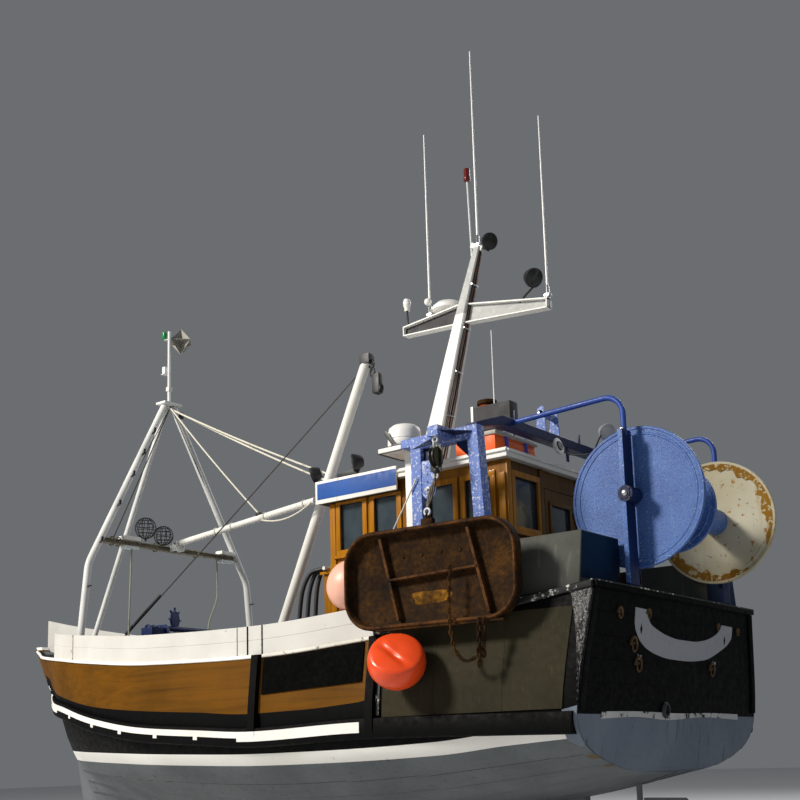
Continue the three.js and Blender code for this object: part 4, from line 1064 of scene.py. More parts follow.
@dataclass
class Hull:
    """The planked hull with its paint lines, transom, deck and inner bulwark."""

    bulwark: float = 0.08
    deck_height: float = 0.32
    deck_rise_from: float = 5.2
    deck_rise: float = 0.145
    well_aft: float = 0.06
    well_fore: float = 9.25
    laps: int = 6
    lap_proud: float = 0.018
    boot_depth: float = 0.115
    varnish_aft: float = 2.08
    boot: Rows = ((0, 0.77, 1.47, 2.8, 3.7, 4.8, 6.1, 7.4, 8.9), (0.13, 0.08, 0.015, -0.03, -0.04, -0.02,
        0.02, 0.06, 0.106))
    brown: Rows = ((2.2, 2.9, 3.7, 4.4, 5.2, 6.2, 7.28, 8.2, 9.78), (0.404, 0.362, 0.35, 0.394, 0.442, 0.527,
        0.70, 0.86, 1.20))

    def stations(self) -> list[float]:
        """Gives the places of the sections, closer together at the bow.

        Returns:
            Distances from the transom.
        """
        edge = 0.0005
        coarse = [0.12 * i for i in range(1, 66)]
        fine = [7.9 + 0.045 * i for i in range(1, 30)] + [9.3 + 0.06 * i for i in range(9)]
        return sorted({0.0, self.well_aft - edge, self.well_aft, *coarse, *fine, self.well_fore,
            self.well_fore + edge})

    def deck(self, x: float) -> float:
        """Gives the deck's height, or the sheer's where there is no well.

        Args:
            x: Distance from the transom.

        Returns:
            The height.
        """
        if x < self.well_aft or x > self.well_fore:
            return FORM.sheer(x) - 0.002
        return self.deck_height + max(0.0, x - self.deck_rise_from) * self.deck_rise

    def outer_rows(self, x: float) -> list[tuple[float, float, Finish]]:
        """Gives (half breadth, height, finish above it) up one side, from the keel to the sheer.

        Args:
            x: Distance from the transom.

        Returns:
            One row for each change of paint or slope.
        """
        ys, zs = FORM.section(x)
        boot_top = float(fair(*self.boot)(x))
        boot_foot = boot_top - self.boot_depth
        keel, sheer = zs[0], zs[-1]
        count = int(np.searchsorted(zs, boot_foot)) if keel < boot_foot else 0
        rows = []
        for lap in range(self.laps):
            for part in (0.0, 0.06, 0.5):
                share = (lap + part) / self.laps
                at = share * count
                low = min(int(at), len(ys) - 2)
                rest = at - low
                y = ys[low] + (ys[low + 1] - ys[low]) * rest
                z = min(zs[low] + (zs[low + 1] - zs[low]) * rest, max(boot_foot, keel))
                proud = self.lap_proud * (0.0 if part == 0.0 else 1.0 - part)
                rows.append((y + (proud if count > 8 else 0.0), z - proud * 0.3, LAP_SHADOW if part == 0.0
                    else ANTIFOULING))
        side = HULL_VARNISH if x > self.varnish_aft else BLACK_TAR
        brown_foot = float(fair(*self.brown)(x)) if x > 2.2 else 0.42
        upper = [(boot_foot, BOOT_ENAMEL), ((boot_foot + boot_top) / 2, BOOT_ENAMEL), (boot_top, BLACK_TAR),
            (boot_top + (brown_foot - boot_top) * 0.25, BLACK_TAR), (brown_foot, side)]
        span = sheer - brown_foot
        upper += [(brown_foot + span * share, side) for share in (0.25, 0.5, 0.75, 0.97)]
        for z, finish in upper:
            z = max(z, keel)
            rows.append((float(np.interp(z, zs, ys)), z, finish))
        rows.append((ys[-1], sheer, BLACK_TAR))
        return rows

    def shell(self) -> None:
        """Builds the skin, the transom, the inner bulwark and the deck as one closed form."""
        shape = Shape()
        part = bmesh.new()
        rings: list[list[Vert]] = []
        for x in self.stations():
            outer = self.outer_rows(x)
            sheer = FORM.sheer(x)
            deck = self.deck(x)
            inner_top = max(FORM.sheer_breadth(x) - self.bulwark, 0.01)
            inner_foot = max(FORM.breadth(x, deck) - self.bulwark, 0.008)
            if deck > sheer - 0.01:
                inner_foot = inner_top
            inner = [(inner_top, sheer), (inner_top * 0.5 + inner_foot * 0.5, (sheer + deck) / 2),
                (inner_foot, deck), (inner_foot * 0.5, deck + 0.012)]
            side = [(y, z) for y, z, _ in outer] + inner
            rings.append([part.verts.new((x + FORM.transom_shift(x, z), sign * y, z)) for sign,
                points in ((1, side), (-1, side[::-1])) for y, z in points])
            bands = [f for _, _, f in outer[:-1]] + [BLACK_TAR, WHITE_ENAMEL, WHITE_ENAMEL, DECK_PAINT]
            if len(rings) > 1:
                self.join(part, shape, rings[-2], rings[-1], bands)
        self.transom(part, shape, rings[0])
        part.faces.new(rings[-1]).material_index = shape.index(BLACK_TAR)
        bmesh.ops.remove_doubles(part, verts=part.verts, dist=0.0002)
        shape.take(part, None)
        shape.piece("hull_planking", slot="varnished_wood", replaces=["hull", "bulwark_port",
            "bulwark_starboard"], sharp=30)

    def join(self, part: Form, shape: Shape, near: list[Vert], far: list[Vert], bands: list[Finish]) -> None:
        """Joins two rings of the shell, with the finish of each band on both sides.

        Args:
            part: Form that the faces are added to.
            shape: Shape that holds the finishes.
            near: Vertices of the first ring.
            far: Vertices of the second ring.
            bands: Finishes up the port side.
        """
        count, half = len(near), len(near) // 2
        for i in range(count):
            j = (i + 1) % count
            band = i if i < half else count - 2 - i
            finish = bands[band] if 0 <= band < len(bands) else (DECK_PAINT if i == half - 1 else ANTIFOULING)
            part.faces.new((near[i], near[j], far[j], far[i])).material_index = shape.index(finish)

    def transom(self, part: Form, shape: Shape, ring: list[Vert]) -> None:
        """Closes the stern with the flat transom, grey at its foot.

        Args:
            part: Form that the faces are added to.
            shape: Shape that holds the finishes.
            ring: Vertices of the first ring.
        """
        count = len(ring)
        rows = count // 2 - 4
        for i in range(rows - 1):
            port, above = ring[i], ring[i + 1]
            across, across_above = ring[count - 1 - i], ring[count - 2 - i]
            finish = TRANSOM_FOOT if above.co.z < 0.21 else TRANSOM_BLACK
            part.faces.new((port, across, across_above, above)).material_index = shape.index(finish)
        part.faces.new([ring[i] for i in range(rows - 1, count - rows + 1)]).material_index = shape.index(
            TRANSOM_BLACK)

    def build(self) -> None:
        """Builds every piece of the hull."""
        self.shell()


@dataclass
class HullTrim:
    """What is fastened to the hull: wale, posts, boards, rails, plates, stem and transom marks."""

    wale_foot: Rows = ((0.12, 2.2, 3.6, 4.4, 5.2, 6.2, 7.2, 8.2, 9.24), (0.04, 0.06, 0.02, 0.06, 0.11, 0.24,
        0.43, 0.56, 0.72))
    wale_height: float = 0.19
    wale_proud: float = 0.045
    wale_fore: float = 9.2
    strip_from: float = 2.2
    strip_drop: float = 0.035
    strip_depth: float = 0.062
    slots: Pair = (3.72, 7.45)
    slot_pitch: float = 0.63
    posts: Pair = (3.585, 2.12)
    post_width: float = 0.09
    post_proud: float = 0.055
    board_aft: float = 2.15
    board_fores: Pair = (7.6, 9.69)
    board_height: float = 0.29
    board_thick: float = 0.04
    bow_extra: float = 0.15
    panel: Pair = (2.25, 3.50)
    plate: tuple[float, float, float, float] = (0.15, 2.0, 0.25, 1.1)
    rail_fore: float = 2.14
    rail_height: float = 0.06
    stem_half: float = 0.055
    stem_line: tuple[Pair, ...] = ((8.44, -1.18), (8.58, -0.95), (8.69, -0.58), (8.745, -0.25), (8.84, 0.0),
        (8.86, 0.106), (9.10, 0.45), (9.45, 0.86), (9.60, 1.10), (9.70, 1.30), (9.80, 1.50), (9.845, 1.56))

    def follow(self, shape: Shape, places: Iterable[float], profile: Callable[[float], Profile],
            finish: Finish) -> None:
        """Adds a form along the port side, whose profile gives the outline of (half breadth, height)."""
        shape.loft([[(x + FORM.transom_shift(x, z), y, z) for y, z in profile(x)] for x in places], finish)

    def sheet(self, low: Callable[[float], float], high: Callable[[float], float],
            proud: float) -> Callable[[float], Profile]:
        """Gives the profile of a sheet that lies on the hull between two heights.

        Args:
            low: Gives the lower height at a place.
            high: Gives the upper height at a place.
            proud: How far it stands off the hull.

        Returns:
            A function that gives the outline at a place.
        """
        def outline(x: float) -> Profile:
            """Gives the outline at a place.

            Args:
                x: Distance from the transom.

            Returns:
                Points of (half breadth, height).
            """
            heights = [low(x) + (high(x) - low(x)) * i / 10 for i in range(11)]
            outer = [(FORM.breadth(x, z) + proud, z) for z in heights]
            return outer + [(FORM.breadth(x, z) - 0.012, z) for z in reversed(heights)]

        return outline

    def wale(self) -> None:
        """Builds the rounded black wale, its white strip over the freeing slots, and the posts."""
        shape = Shape()
        foot = fair(*self.wale_foot)
        height = self.wale_height
        places = list(np.arange(0.03, self.wale_fore, 0.11)) + [self.wale_fore]

        def outer(x: float) -> float:
            """Gives the half breadth of the wale's outer face."""
            z = float(foot(x))
            return max(FORM.breadth(x, z), FORM.breadth(x, z + height)) + self.wale_proud

        def body(x: float) -> Profile:
            """Gives the wale's outline at a place.

            Args:
                x: Distance from the transom.

            Returns:
                Points of (half breadth, height).
            """
            z, y = float(foot(x)), outer(x)
            return [(FORM.breadth(x, z) - 0.01, z), (y - 0.024, z + 0.002), (y - 0.006, z + 0.014),
                (y, z + 0.04), (y, z + height - 0.02), (y - 0.01, z + height - 0.004),
                (FORM.breadth(x, z + height) - 0.01, z + height)]

        def strip(drop: float, depth: float) -> Callable[[float], Profile]:
            """Gives the profile of a strip on the wale's outer face.

            Args:
                drop: How far its top lies below the wale's.
                depth: Its height.

            Returns:
                A function that gives the strip's outline at a place.
            """
            def outline(x: float) -> Profile:
                """Gives the strip's outline at a place.

                Args:
                    x: Distance from the transom.

                Returns:
                    Points of (half breadth, height).
                """
                top, y = float(foot(x)) + height - drop, outer(x)
                return [(y - 0.006, top - depth), (y + 0.006, top - depth), (y + 0.006, top),
                    (y - 0.006, top)]

            return outline

        self.follow(shape, places, body, BLACK_TAR)
        drop, depth = self.strip_drop, self.strip_depth
        self.follow(shape, [x for x in places if x > self.strip_from], strip(drop, depth), STRIP_WHITE)
        ends = [(self.strip_from + 0.03, self.slots[0])]
        ends += [(x, x + 0.06) for x in np.arange(self.slots[0], self.slots[1], self.slot_pitch)]
        ends += [(self.slots[1], self.wale_fore)]
        for low, high in ends:
            count = max(2, int((high - low) / 0.1) + 1)
            self.follow(shape, np.linspace(low, high, count), strip(drop + depth - 0.002, 0.036), STRIP_WHITE)
        for x in self.posts:
            half = self.post_width / 2
            post = self.sheet(lambda at: float(foot(at)) + 0.02, lambda at: FORM.sheer(at) - 0.006,
                self.post_proud)
            self.follow(shape, (x - half, x + half), post, BLACK_TAR)
        patch = self.sheet(lambda at: float(foot(at)) + 0.06, lambda at: float(foot(at)) + height - drop,
            self.post_proud + 0.003)
        x = self.posts[0]
        self.follow(shape, (x - 0.046, x + 0.046), patch, BOOT_ENAMEL)
        shape.both_sides("wale_timber", "black_paint", "wale")

    def panel_marks(self) -> None:
        """Builds the blank black panel, the small black patch aft of it and the white cap strip."""
        shape = Shape()
        aft, fore = self.panel
        board = self.sheet(lambda x: 0.585 - 0.055 * (x - aft) / (fore - aft),
            lambda x: FORM.sheer(x) - 0.045, 0.014)
        self.follow(shape, np.linspace(aft, fore, 12), board, PANEL_BLACK)
        patch = self.sheet(lambda x: 0.27, lambda x: 0.56, 0.012)
        self.follow(shape, np.linspace(2.03, 2.07, 2), patch, BLACK_WITH_PAINTED_GLINTS)

        def cap(x: float) -> Profile:
            """Gives the cap strip's outline at a place.

            Args:
                x: Distance from the transom.

            Returns:
                Points of (half breadth, height).
            """
            y, z = FORM.sheer_breadth(x), FORM.sheer(x)
            return [(y - 0.01, z - 0.035), (y + 0.014, z - 0.035), (y + 0.02, z - 0.028),
                (y + 0.02, z - 0.008), (y + 0.014, z), (y - 0.01, z)]

        self.follow(shape, list(np.arange(3.66, 9.7, 0.12)) + [9.74], cap, BOOT_ENAMEL)
        self.follow(shape, np.linspace(2.2, 3.52, 12), cap, WORN_CAP)
        shape.both_sides("panel_and_cap")

    def boards(self) -> None:
        """Builds the white upper bulwark boards with their seams and cover strips."""
        for port, fore in zip((True, False), self.board_fores):
            shape = Shape()

            def outline(x: float) -> Profile:
                """Gives the boards' outline at a place, with the seam between them.

                Args:
                    x: Distance from the transom.

                Returns:
                    Points of (half breadth, height).
                """
                y, z = FORM.sheer_breadth(x) - 0.005, FORM.sheer(x) + 0.0006
                top = z + self.board_height + max(0.0, (x - 7.4) / 2.3) * self.bow_extra
                middle, inner = (z + top) / 2, y - self.board_thick
                return [(inner, z), (y, z), (y, middle - 0.005), (y - 0.005, middle), (y, middle + 0.005),
                    (y, top - 0.006), (y - 0.006, top), (inner + 0.006, top), (inner, top - 0.006),
                    (inner, middle)]

            def cover(x: float) -> Profile:
                """Gives a cover strip's outline at a place.

                Args:
                    x: Distance from the transom.

                Returns:
                    Points of (half breadth, height).
                """
                y, z = FORM.sheer_breadth(x) - 0.006, FORM.sheer(x) + 0.0006
                top = z + self.board_height - 0.001
                return [(y, z), (y + 0.012, z), (y + 0.012, top), (y, top)]

            self.follow(shape, list(np.arange(self.board_aft, fore - 0.05, 0.12)) + [fore], outline,
                BOARD_WHITE)
            for x, wide, finish in ((6.87, 0.05, WORN_CAP), (3.53, 0.006, BLACK_TAR),
                    (3.73, 0.008, BLACK_TAR), (3.88, 0.006, WORN_CAP)):
                self.follow(shape, (x, x + wide), cover, finish)
            shape.side_piece("bulwark_boards_painted", port, "white_paint", "bulwark_boards")

    def aft_rail(self) -> None:
        """Builds the tarred rail round the stern, with white flecks painted on it for glints along its edge.
        """
        shape = Shape()

        def outline(x: float) -> Profile:
            """Gives the rail's outline at a place.

            Args:
                x: Distance from the transom.

            Returns:
                Points of (half breadth, height).
            """
            y, z, h = FORM.sheer_breadth(x) + 0.03, FORM.sheer(x) + 0.0008, self.rail_height
            return [(y - 0.13, z), (y - 0.006, z), (y, z + 0.008), (y, z + h - 0.014), (y - 0.014, z + h),
                (y - 0.12, z + h), (y - 0.13, z + h - 0.008)]

        port = Shape()
        self.follow(port, np.linspace(0.0, self.rail_fore, 22), outline, BLACK_WITH_PAINTED_GLINTS)
        starboard = port.mirrored()
        shape.take(port.mesh, BLACK_WITH_PAINTED_GLINTS)
        shape.take(starboard.mesh, BLACK_WITH_PAINTED_GLINTS)
        low, high = 1.2508, 1.31
        shape.box((-0.085, -1.70, low), (0.05, 1.70, high), BLACK_TAR, 0.012)
        # The strip along the rail's top edge carries the painted glints
        shape.box((-0.086, -1.69, high - 0.014), (-0.06, 1.69, high + 0.0005), BLACK_WITH_PAINTED_GLINTS, 0.004)
        shape.piece("stern_rail", slot="black_paint", replaces=["aft_rail"])

    def plates(self) -> None:
        """Builds the steel wear plates and the lumps of tar at the quarters."""
        aft, fore, low, high = self.plate
        shape = Shape()
        self.follow(shape, np.linspace(aft, fore, 20), self.sheet(lambda x: low, lambda x: high, 0.009),
            SCUFFED_PLATE)
        for x in (0.75, 1.45):
            seam = self.sheet(lambda at: low, lambda at: high, 0.0115)
            self.follow(shape, (x, x + 0.006), seam, SCUFFED_PLATE)
        shape.both_sides("wear_plate_steel", "worn_steel", "wear_plate")
        tar = Shape()
        rng = random.Random(7)
        rings = []
        for step in range(64):
            z = 0.30 + 0.945 * step / 63
            reach = 0.012 + 0.18 * ((z - 0.30) / 0.945) ** 1.5
            ring = []
            for i in range(15):
                x = reach * i / 14
                lump = 0.004 + (0.010 * rng.random() if 0 < i < 14 else 0.0)
                ring.append((x + FORM.transom_shift(x, z), FORM.breadth(x, z) + lump, z))
            rings.append(ring + [(x, y - 0.03, z) for x, y, z in reversed(ring)])
        # The tar's pale grey flecks are painted glints on the lumps
        tar.loft(rings, TAR_WITH_PAINTED_GLINTS)
        tar.both_sides("quarter_tar", "black_paint")

    def casings(self) -> None:
        """Rounds the lockers on the quarters once more and lays a dark navy sheet on each aft face as painted
        shade.
        """
        for side in ("port", "starboard"):
            dress(f"quarter_casing_{side}", CASING_GREY, 0.008)
        shape = Shape()
        # The dark navy on the aft faces is painted shade
        aft_face = [(0.942, 0.60), (1.50, 0.60), (1.50, 1.345), (1.655, 1.345), (1.592, 1.75), (0.942, 1.75)]
        shape.plate(aft_face, (0.0885, 0, 0), PORT, UP, 0.003, CASING_AFT_SHADE, 0.001)
        shape.both_sides("casing_aft_shade_sheets")

    def stem(self) -> None:
        """Builds the stem post, painted in the hull's bands."""
        bands = ((-1.19, -0.003, ANTIFOULING), (-0.003, 0.106, BOOT_ENAMEL), (0.106, 0.93, BLACK_TAR),
            (0.93, 1.0, BOOT_ENAMEL), (1.0, 1.08, BLACK_TAR), (1.08, 1.52, HULL_VARNISH),
            (1.52, 1.56, BOOT_ENAMEL))
        line = fair([z for _, z in self.stem_line], [x for x, _ in self.stem_line])
        shape = Shape()
        for low, high, finish in bands:
            count = max(2, int((high - low) / 0.06) + 1)
            rings = []
            for z in np.linspace(low, high, count):
                x, half = float(line(z)), self.stem_half
                side = [(x - 0.16, half, z), (x - 0.05, half, z), (x - 0.006, half * 0.5, z)]
                rings.append([*((a, -b, c) for a, b, c in side), (x, 0, z), *reversed(side)])
            shape.loft(rings, finish)
        shape.piece("stem_post", slot="varnished_wood", replaces=["stem"])

    def on_transom(self, y: float, z: float, out: float) -> Vector:
        """Gives a point off the transom's face."""
        return Vector((FORM.transom_shift(0, z) - out, y, z))

    def ribbon(self, shape: Shape, upper: Sequence[Point], lower: Sequence[Point], out: float,
            finish: Finish) -> None:
        """Adds a thin painted ribbon on the transom between two lines of (Y, Z).

        Args:
            shape: Shape that it is added to.
            upper: Points of its upper line.
            lower: Points of its lower line.
            out: How far it stands off the transom.
            finish: Its finish.
        """
        edges = [smooth_path([(0, y, z) for y, z in line], 40) for line in (upper, lower)]
        rings = []
        for a, b in zip(*edges):
            corners = ((a, out), (b, out), (b, -0.004), (a, -0.004))
            rings.append([self.on_transom(p.y, p.z, proud) for p, proud in corners])
        shape.loft(rings, finish)

    def transom(self) -> None:
        """Builds the transom's border, its blank banner with scrolls, the drain and the worn foot."""
        shape = Shape()
        border = ((0.10, -0.01), (0.10, 0.014), (0.09, 0.02), (0.012, 0.02), (0.002, 0.012), (0.002, -0.01))
        for side in (1, -1):
            rings = []
            for z in np.linspace(0.24, 1.245, 14):
                edge = FORM.breadth(0.0, z)
                rings.append([self.on_transom(side * (edge - inset), z, out) for inset, out in border])
            shape.loft(rings, TRANSOM_BLACK)
        for z in (0.46, 0.66, 0.86, 1.06):
            edge = FORM.breadth(0.0, z) - 0.11
            shape.bar(self.on_transom(-edge, z, 0.0), self.on_transom(edge, z, 0.0), 0.004, 0.006,
                TRANSOM_BLACK, 0.001)
        upper = ((0.68, 1.13), (0.645, 1.03), (0.48, 0.965), (0.28, 0.925), (0.0, 0.90), (-0.28, 0.90),
            (-0.55, 0.925), (-0.77, 0.98), (-0.90, 1.04), (-0.955, 1.10))
        lower = ((0.92, 1.135), (0.925, 1.0), (0.84, 0.87), (0.69, 0.79), (0.50, 0.745), (0.18, 0.712),
            (-0.15, 0.709), (-0.55, 0.735), (-0.93, 0.84), (-1.12, 0.92), (-1.21, 1.0), (-1.215, 1.095))
        self.ribbon(shape, upper, lower, 0.005, BANNER_GREY)
        for y, z in ((0.80, 0.95), (-1.03, 0.95)):
            points = [self.on_transom(y + dy, z + dz, 0.0058) for dy, dz in ((0.0, 0.05), (-0.022, 0.0),
                (0.0, -0.05), (0.022, 0.0))]
            shape.loft([points, [p + Vector((0.003, 0, 0)) for p in points]], TRANSOM_BLACK)
        for y, z, size in ((1.2, 1.06, 0.05), (0.66, 1.09, 0.045), (0.92, 0.80, 0.07), (0.82, 0.63, 0.07),
                (-0.76, 0.64, 0.07), (-1.36, 1.05, 0.035), (-0.87, 1.07, 0.035)):
            curl = []
            for step in range(22):
                turn = step * 0.42
                r = size * (1 - step / 26)
                curl.append(self.on_transom(y + r * math.cos(turn), z + 1.25 * r * math.sin(turn), 0.004))
            shape.tube(curl, [0.016 * (1 - step / 30) for step in range(22)], GILT, 8)
        for y, z in ((0.81, 0.705), (-0.80, 0.712)):
            self.ribbon(shape, ((y - 0.035, z + 0.02), (y, z + 0.012), (y + 0.035, z + 0.025)),
                ((y - 0.035, z - 0.005), (y, z - 0.025), (y + 0.03, z + 0.0)), 0.004, BANNER_GREY)
        drain = self.on_transom(0.26, 0.25, 0.0)
        shape.lathe([(0, 0), (0.07, 0), (0.075, 0.012), (0.06, 0.03), (0.045, 0.03), (0.04, 0.006),
            (0, 0.006)], drain, (-1, 0, -0.11), DARK_CASTING)
        self.ribbon(shape, ((1.47, 0.225), (0.8, 0.232), (0.0, 0.222), (-0.8, 0.232), (-1.42, 0.225)),
            ((1.47, 0.165), (0.8, 0.185), (0.2, 0.16), (-0.6, 0.19), (-1.42, 0.17)), 0.006, WORN_FOOT)
        shape.piece("transom_marks", slot="black_paint")
        wrap = Shape()
        places = np.linspace(0.0, 0.15, 6)
        self.follow(wrap, places, self.sheet(lambda x: -0.10 + x * 0.6, lambda x: 0.27 - x * 0.2, 0.010),
            TRANSOM_FOOT)
        self.follow(wrap, np.linspace(0.0, 0.11, 5), self.sheet(lambda x: -0.27, lambda x: -0.10 + x * 0.6,
            0.008), BROWN_PRIMER)
        wrap.both_sides("quarter_foot", "grey_antifouling")

    def deck_planks(self) -> None:
        """Lays the deck's planks, with open seams between them."""
        shape = Shape()
        wide = 0.115
        places = np.linspace(0.07, 9.2, 60)
        for number in range(-15, 16):
            y = number * (wide + 0.006)
            inside = [x for x in places if abs(y) + wide / 2 < min(FORM.breadth(x, 0.34),
                FORM.sheer_breadth(x)) - 0.095]
            if len(inside) < 4:
                continue
            ends = [x for x in (inside[0], 5.2, inside[-1]) if inside[0] <= x <= inside[-1]]
            rings = []
            for x in sorted(set(ends)):
                z = 0.3202 + max(0.0, x - 5.2) * 0.145
                low, high = y - wide / 2, y + wide / 2
                rings.append([(x, low, z - 0.003), (x, low, z + 0.004), (x, high, z + 0.004),
                    (x, high, z - 0.003)])
            shape.loft(rings, DECK_PAINT)
        shape.piece("deck_planking", slot="varnished_wood")

    def build(self) -> None:
        """Builds every piece that is fastened to the hull."""
        for part in (self.wale, self.panel_marks, self.boards, self.aft_rail, self.plates, self.casings,
                self.stem, self.transom, self.deck_planks):
            part()


# Deckhouse

class Wall(Enum):
    """The outer walls of the wheelhouse."""

    PORT = "port"
    STARBOARD = "starboard"
    FORE = "fore"
    AFT = "aft"


@dataclass
class Wheelhouse:
    """The grained wooden wheelhouse, its windows, visor, roof and what stands on the roof."""

    aft: float = 1.20
    fore: float = 3.40
    half: float = 1.00
    wall: float = 0.05
    foot: float = 0.3204
    top: float = 2.68
    case_fore: float = 3.52
    case_top: float = 1.81
    sill: float = 2.03
    head: float = 2.54
    side_windows: tuple[Pair, ...] = ((1.36, 1.68), (1.80, 2.12), (2.50, 2.82), (2.95, 3.28))
    front_windows: tuple[Pair, ...] = ((-0.83, -0.33), (-0.25, 0.25), (0.33, 0.83))
    back_windows: tuple[Pair, ...] = ((0.43, 0.87), (-0.87, -0.43))
    roof_top: float = 2.7704
    roof_half: float = 1.08
    visor_aft: float = 2.44
    visor_fore: float = 3.529
    visor_half: float = 1.104
    visor_foot: float = 2.555
    visor_top: float = 2.80
    visor_thick: float = 0.024

    def place(self, wall: Wall, along: float, out: float, z: float) -> Vector:
        """Gives a boat point from a place on one wall.

        Args:
            wall: The wall.
            along: Place along it, in the boat's X for a side and Y for an end.
            out: Distance proud of its outer face.
            z: Height.

        Returns:
            The point in the boat's frame.
        """
        places = {Wall.PORT: (along, self.half + out, z), Wall.STARBOARD: (along, -self.half - out, z),
            Wall.FORE: (self.fore + out, along, z), Wall.AFT: (self.aft - out, along, z)}
        return Vector(places[wall])

    def board(self, shape: Shape, wall: Wall, along: Pair, heights: Pair, depths: Pair, finish: Finish,
            edge: float = 0.004) -> None:
        """Adds one board on a wall, between two places, heights and depths."""
        corners = [self.place(wall, along[i], depths[i], heights[i]) for i in (0, 1)]
        shape.box([min(p) for p in zip(*corners)], [max(p) for p in zip(*corners)], finish, edge)

    def window(self, shape: Shape, wall: Wall, along: Pair, heights: Pair) -> None:
        """Adds a raised frame with its bead and pane round one opening.

        Args:
            shape: Shape that it is added to.
            wall: The wall.
            along: Its two ends along the wall.
            heights: Its sill and its head.
        """
        (a0, a1), (z0, z1) = along, heights
        wide, proud = 0.045, 0.018
        for z in ((z0 - wide, z0 + 0.012), (z1 - 0.012, z1 + wide)):
            self.board(shape, wall, (a0 - wide, a1 + wide), z, (-0.004, proud), HOUSE_TRIM)
        for a in ((a0 - wide, a0 + 0.012), (a1 - 0.012, a1 + wide)):
            self.board(shape, wall, a, (z0 + 0.012, z1 - 0.012), (-0.004, proud), HOUSE_TRIM)
        self.board(shape, wall, (a0 - wide - 0.02, a1 + wide + 0.02), (z0 - wide - 0.03, z0 - wide),
            (-0.004, 0.04), HOUSE_TRIM)
        self.board(shape, wall, (a0 - 0.004, a1 + 0.004), (z0 - 0.004, z1 + 0.004), (-0.036, -0.022), GLASS,
            0.001)

    def walls(self) -> None:
        """Dresses the four walls with corner posts, boards, mouldings and windows."""
        shape = Shape()
        for wall in (Wall.PORT, Wall.STARBOARD):
            for along in self.side_windows:
                self.window(shape, wall, along, (self.sill, self.head))
            for low, high in ((self.aft, self.aft + 0.07), (self.fore - 0.07, self.fore), (2.24, 2.38)):
                self.board(shape, wall, (low, high), (self.foot, self.visor_foot - 0.01), (-0.004, 0.022),
                    HOUSE_TRIM)
            self.board(shape, wall, (self.aft, self.fore), (1.83, 1.90), (-0.004, 0.03), HOUSE_TRIM)
            self.board(shape, wall, (self.aft, self.fore), (self.foot, self.foot + 0.12), (-0.004, 0.03),
                HOUSE_TRIM)
            place = self.aft + 0.12
            while place < self.fore - 0.1:
                self.board(shape, wall, (place, place + 0.012), (self.foot + 0.12, 1.83), (-0.004, 0.007),
                    HOUSE_TRIM, 0.003)
                place += 0.105
        for wall, openings in ((Wall.FORE, self.front_windows), (Wall.AFT, self.back_windows)):
            for along in openings:
                self.window(shape, wall, along, (self.sill, self.head))
        # The starboard aft corner post, the aft boards and the aft moulding take the darker varnish as
        # painted shade
        for side in (1, -1):
            for low, high, finish in ((0.93, 1.0, HOUSE_TRIM if side == 1 else HOUSE_PAINTED_SHADE),
                    (0.335, 0.40, HOUSE_PAINTED_SHADE)):
                ends = sorted((side * low, side * high))
                self.board(shape, Wall.AFT, (ends[0], ends[1]), (self.foot, self.top), (-0.004, 0.02), finish)
            ends = sorted((side * 0.93, side * 1.0))
            self.board(shape, Wall.FORE, (ends[0], ends[1]), (self.case_top, self.visor_foot), (-0.004, 0.02),
                HOUSE_TRIM)
            self.board(shape, Wall.AFT, tuple(sorted((side * 0.40, side * 0.93))), (1.83, 1.90),
                (-0.004, 0.024), HOUSE_PAINTED_SHADE)
        ledge = self.case_fore - self.fore
        self.board(shape, Wall.FORE, (-1.03, 1.03), (self.case_top + 0.0005, self.case_top + 0.03),
            (0.0, ledge + 0.03), HOUSE_TRIM)
        for step in range(18):
            y = -0.94 + step * 0.1106
            self.board(shape, Wall.FORE, (y, y + 0.012), (0.45, 1.78), (ledge - 0.002, ledge + 0.006),
                HOUSE_TRIM, 0.003)
        shape.piece("wheelhouse_trim", slot="grained_wood")

    def door(self) -> None:
        """Adds the panels, handle and pane of the door, which swing with it."""
        shape = Shape()
        # The door's panels and frame take the darker varnish as painted shade
        for low, high in ((0.55, 1.05), (1.15, 1.72)):
            for half, depth in ((0.21, 0.008), (0.17, 0.014)):
                self.board(shape, Wall.AFT, (-half, half), (low + 0.21 - half, high - 0.21 + half),
                    (-0.002, depth), HOUSE_PAINTED_SHADE)
        for z in ((1.82, 1.86), (2.34, 2.38)):
            self.board(shape, Wall.AFT, (-0.22, 0.22), z, (-0.002, 0.012), HOUSE_PAINTED_SHADE)
        for y in ((-0.22, -0.18), (0.18, 0.22)):
            self.board(shape, Wall.AFT, y, (1.86, 2.34), (-0.002, 0.012), HOUSE_PAINTED_SHADE)
        self.board(shape, Wall.AFT, (-0.2, 0.2), (1.84, 2.36), (-0.026, -0.014), GLASS, 0.001)
        shape.tube([(1.15, 0.22, 1.42), (1.15, 0.22, 1.58)], 0.009, STAINLESS)
        shape.piece("door_panels", "door", "grained_wood")

    def visor(self) -> None:
        """Builds the white visor with its blue stripe on three sides."""
        shape = Shape()
        foot, top, thick, half = self.visor_foot, self.visor_top, self.visor_thick, self.visor_half
        stripe = (foot + 0.045, top - 0.03)
        for side in (1, -1):
            y0, y1 = sorted((side * (half - thick), side * half))
            shape.box((self.visor_aft, y0, foot), (self.visor_fore, y1, top), WHITE_ENAMEL)
            y0, y1 = sorted((side * half, side * (half + 0.004)))
            shape.box((self.visor_aft + 0.004, y0, stripe[0]), (self.visor_fore - 0.03, y1, stripe[1]),
                VISOR_BLUE, 0.002)
        shape.box((self.visor_fore - thick, -half + thick, foot), (self.visor_fore, half - thick, top),
            WHITE_ENAMEL)
        shape.box((self.visor_fore, -half + 0.02, stripe[0]), (self.visor_fore + 0.004, half - 0.02,
            stripe[1]), VISOR_BLUE, 0.002)
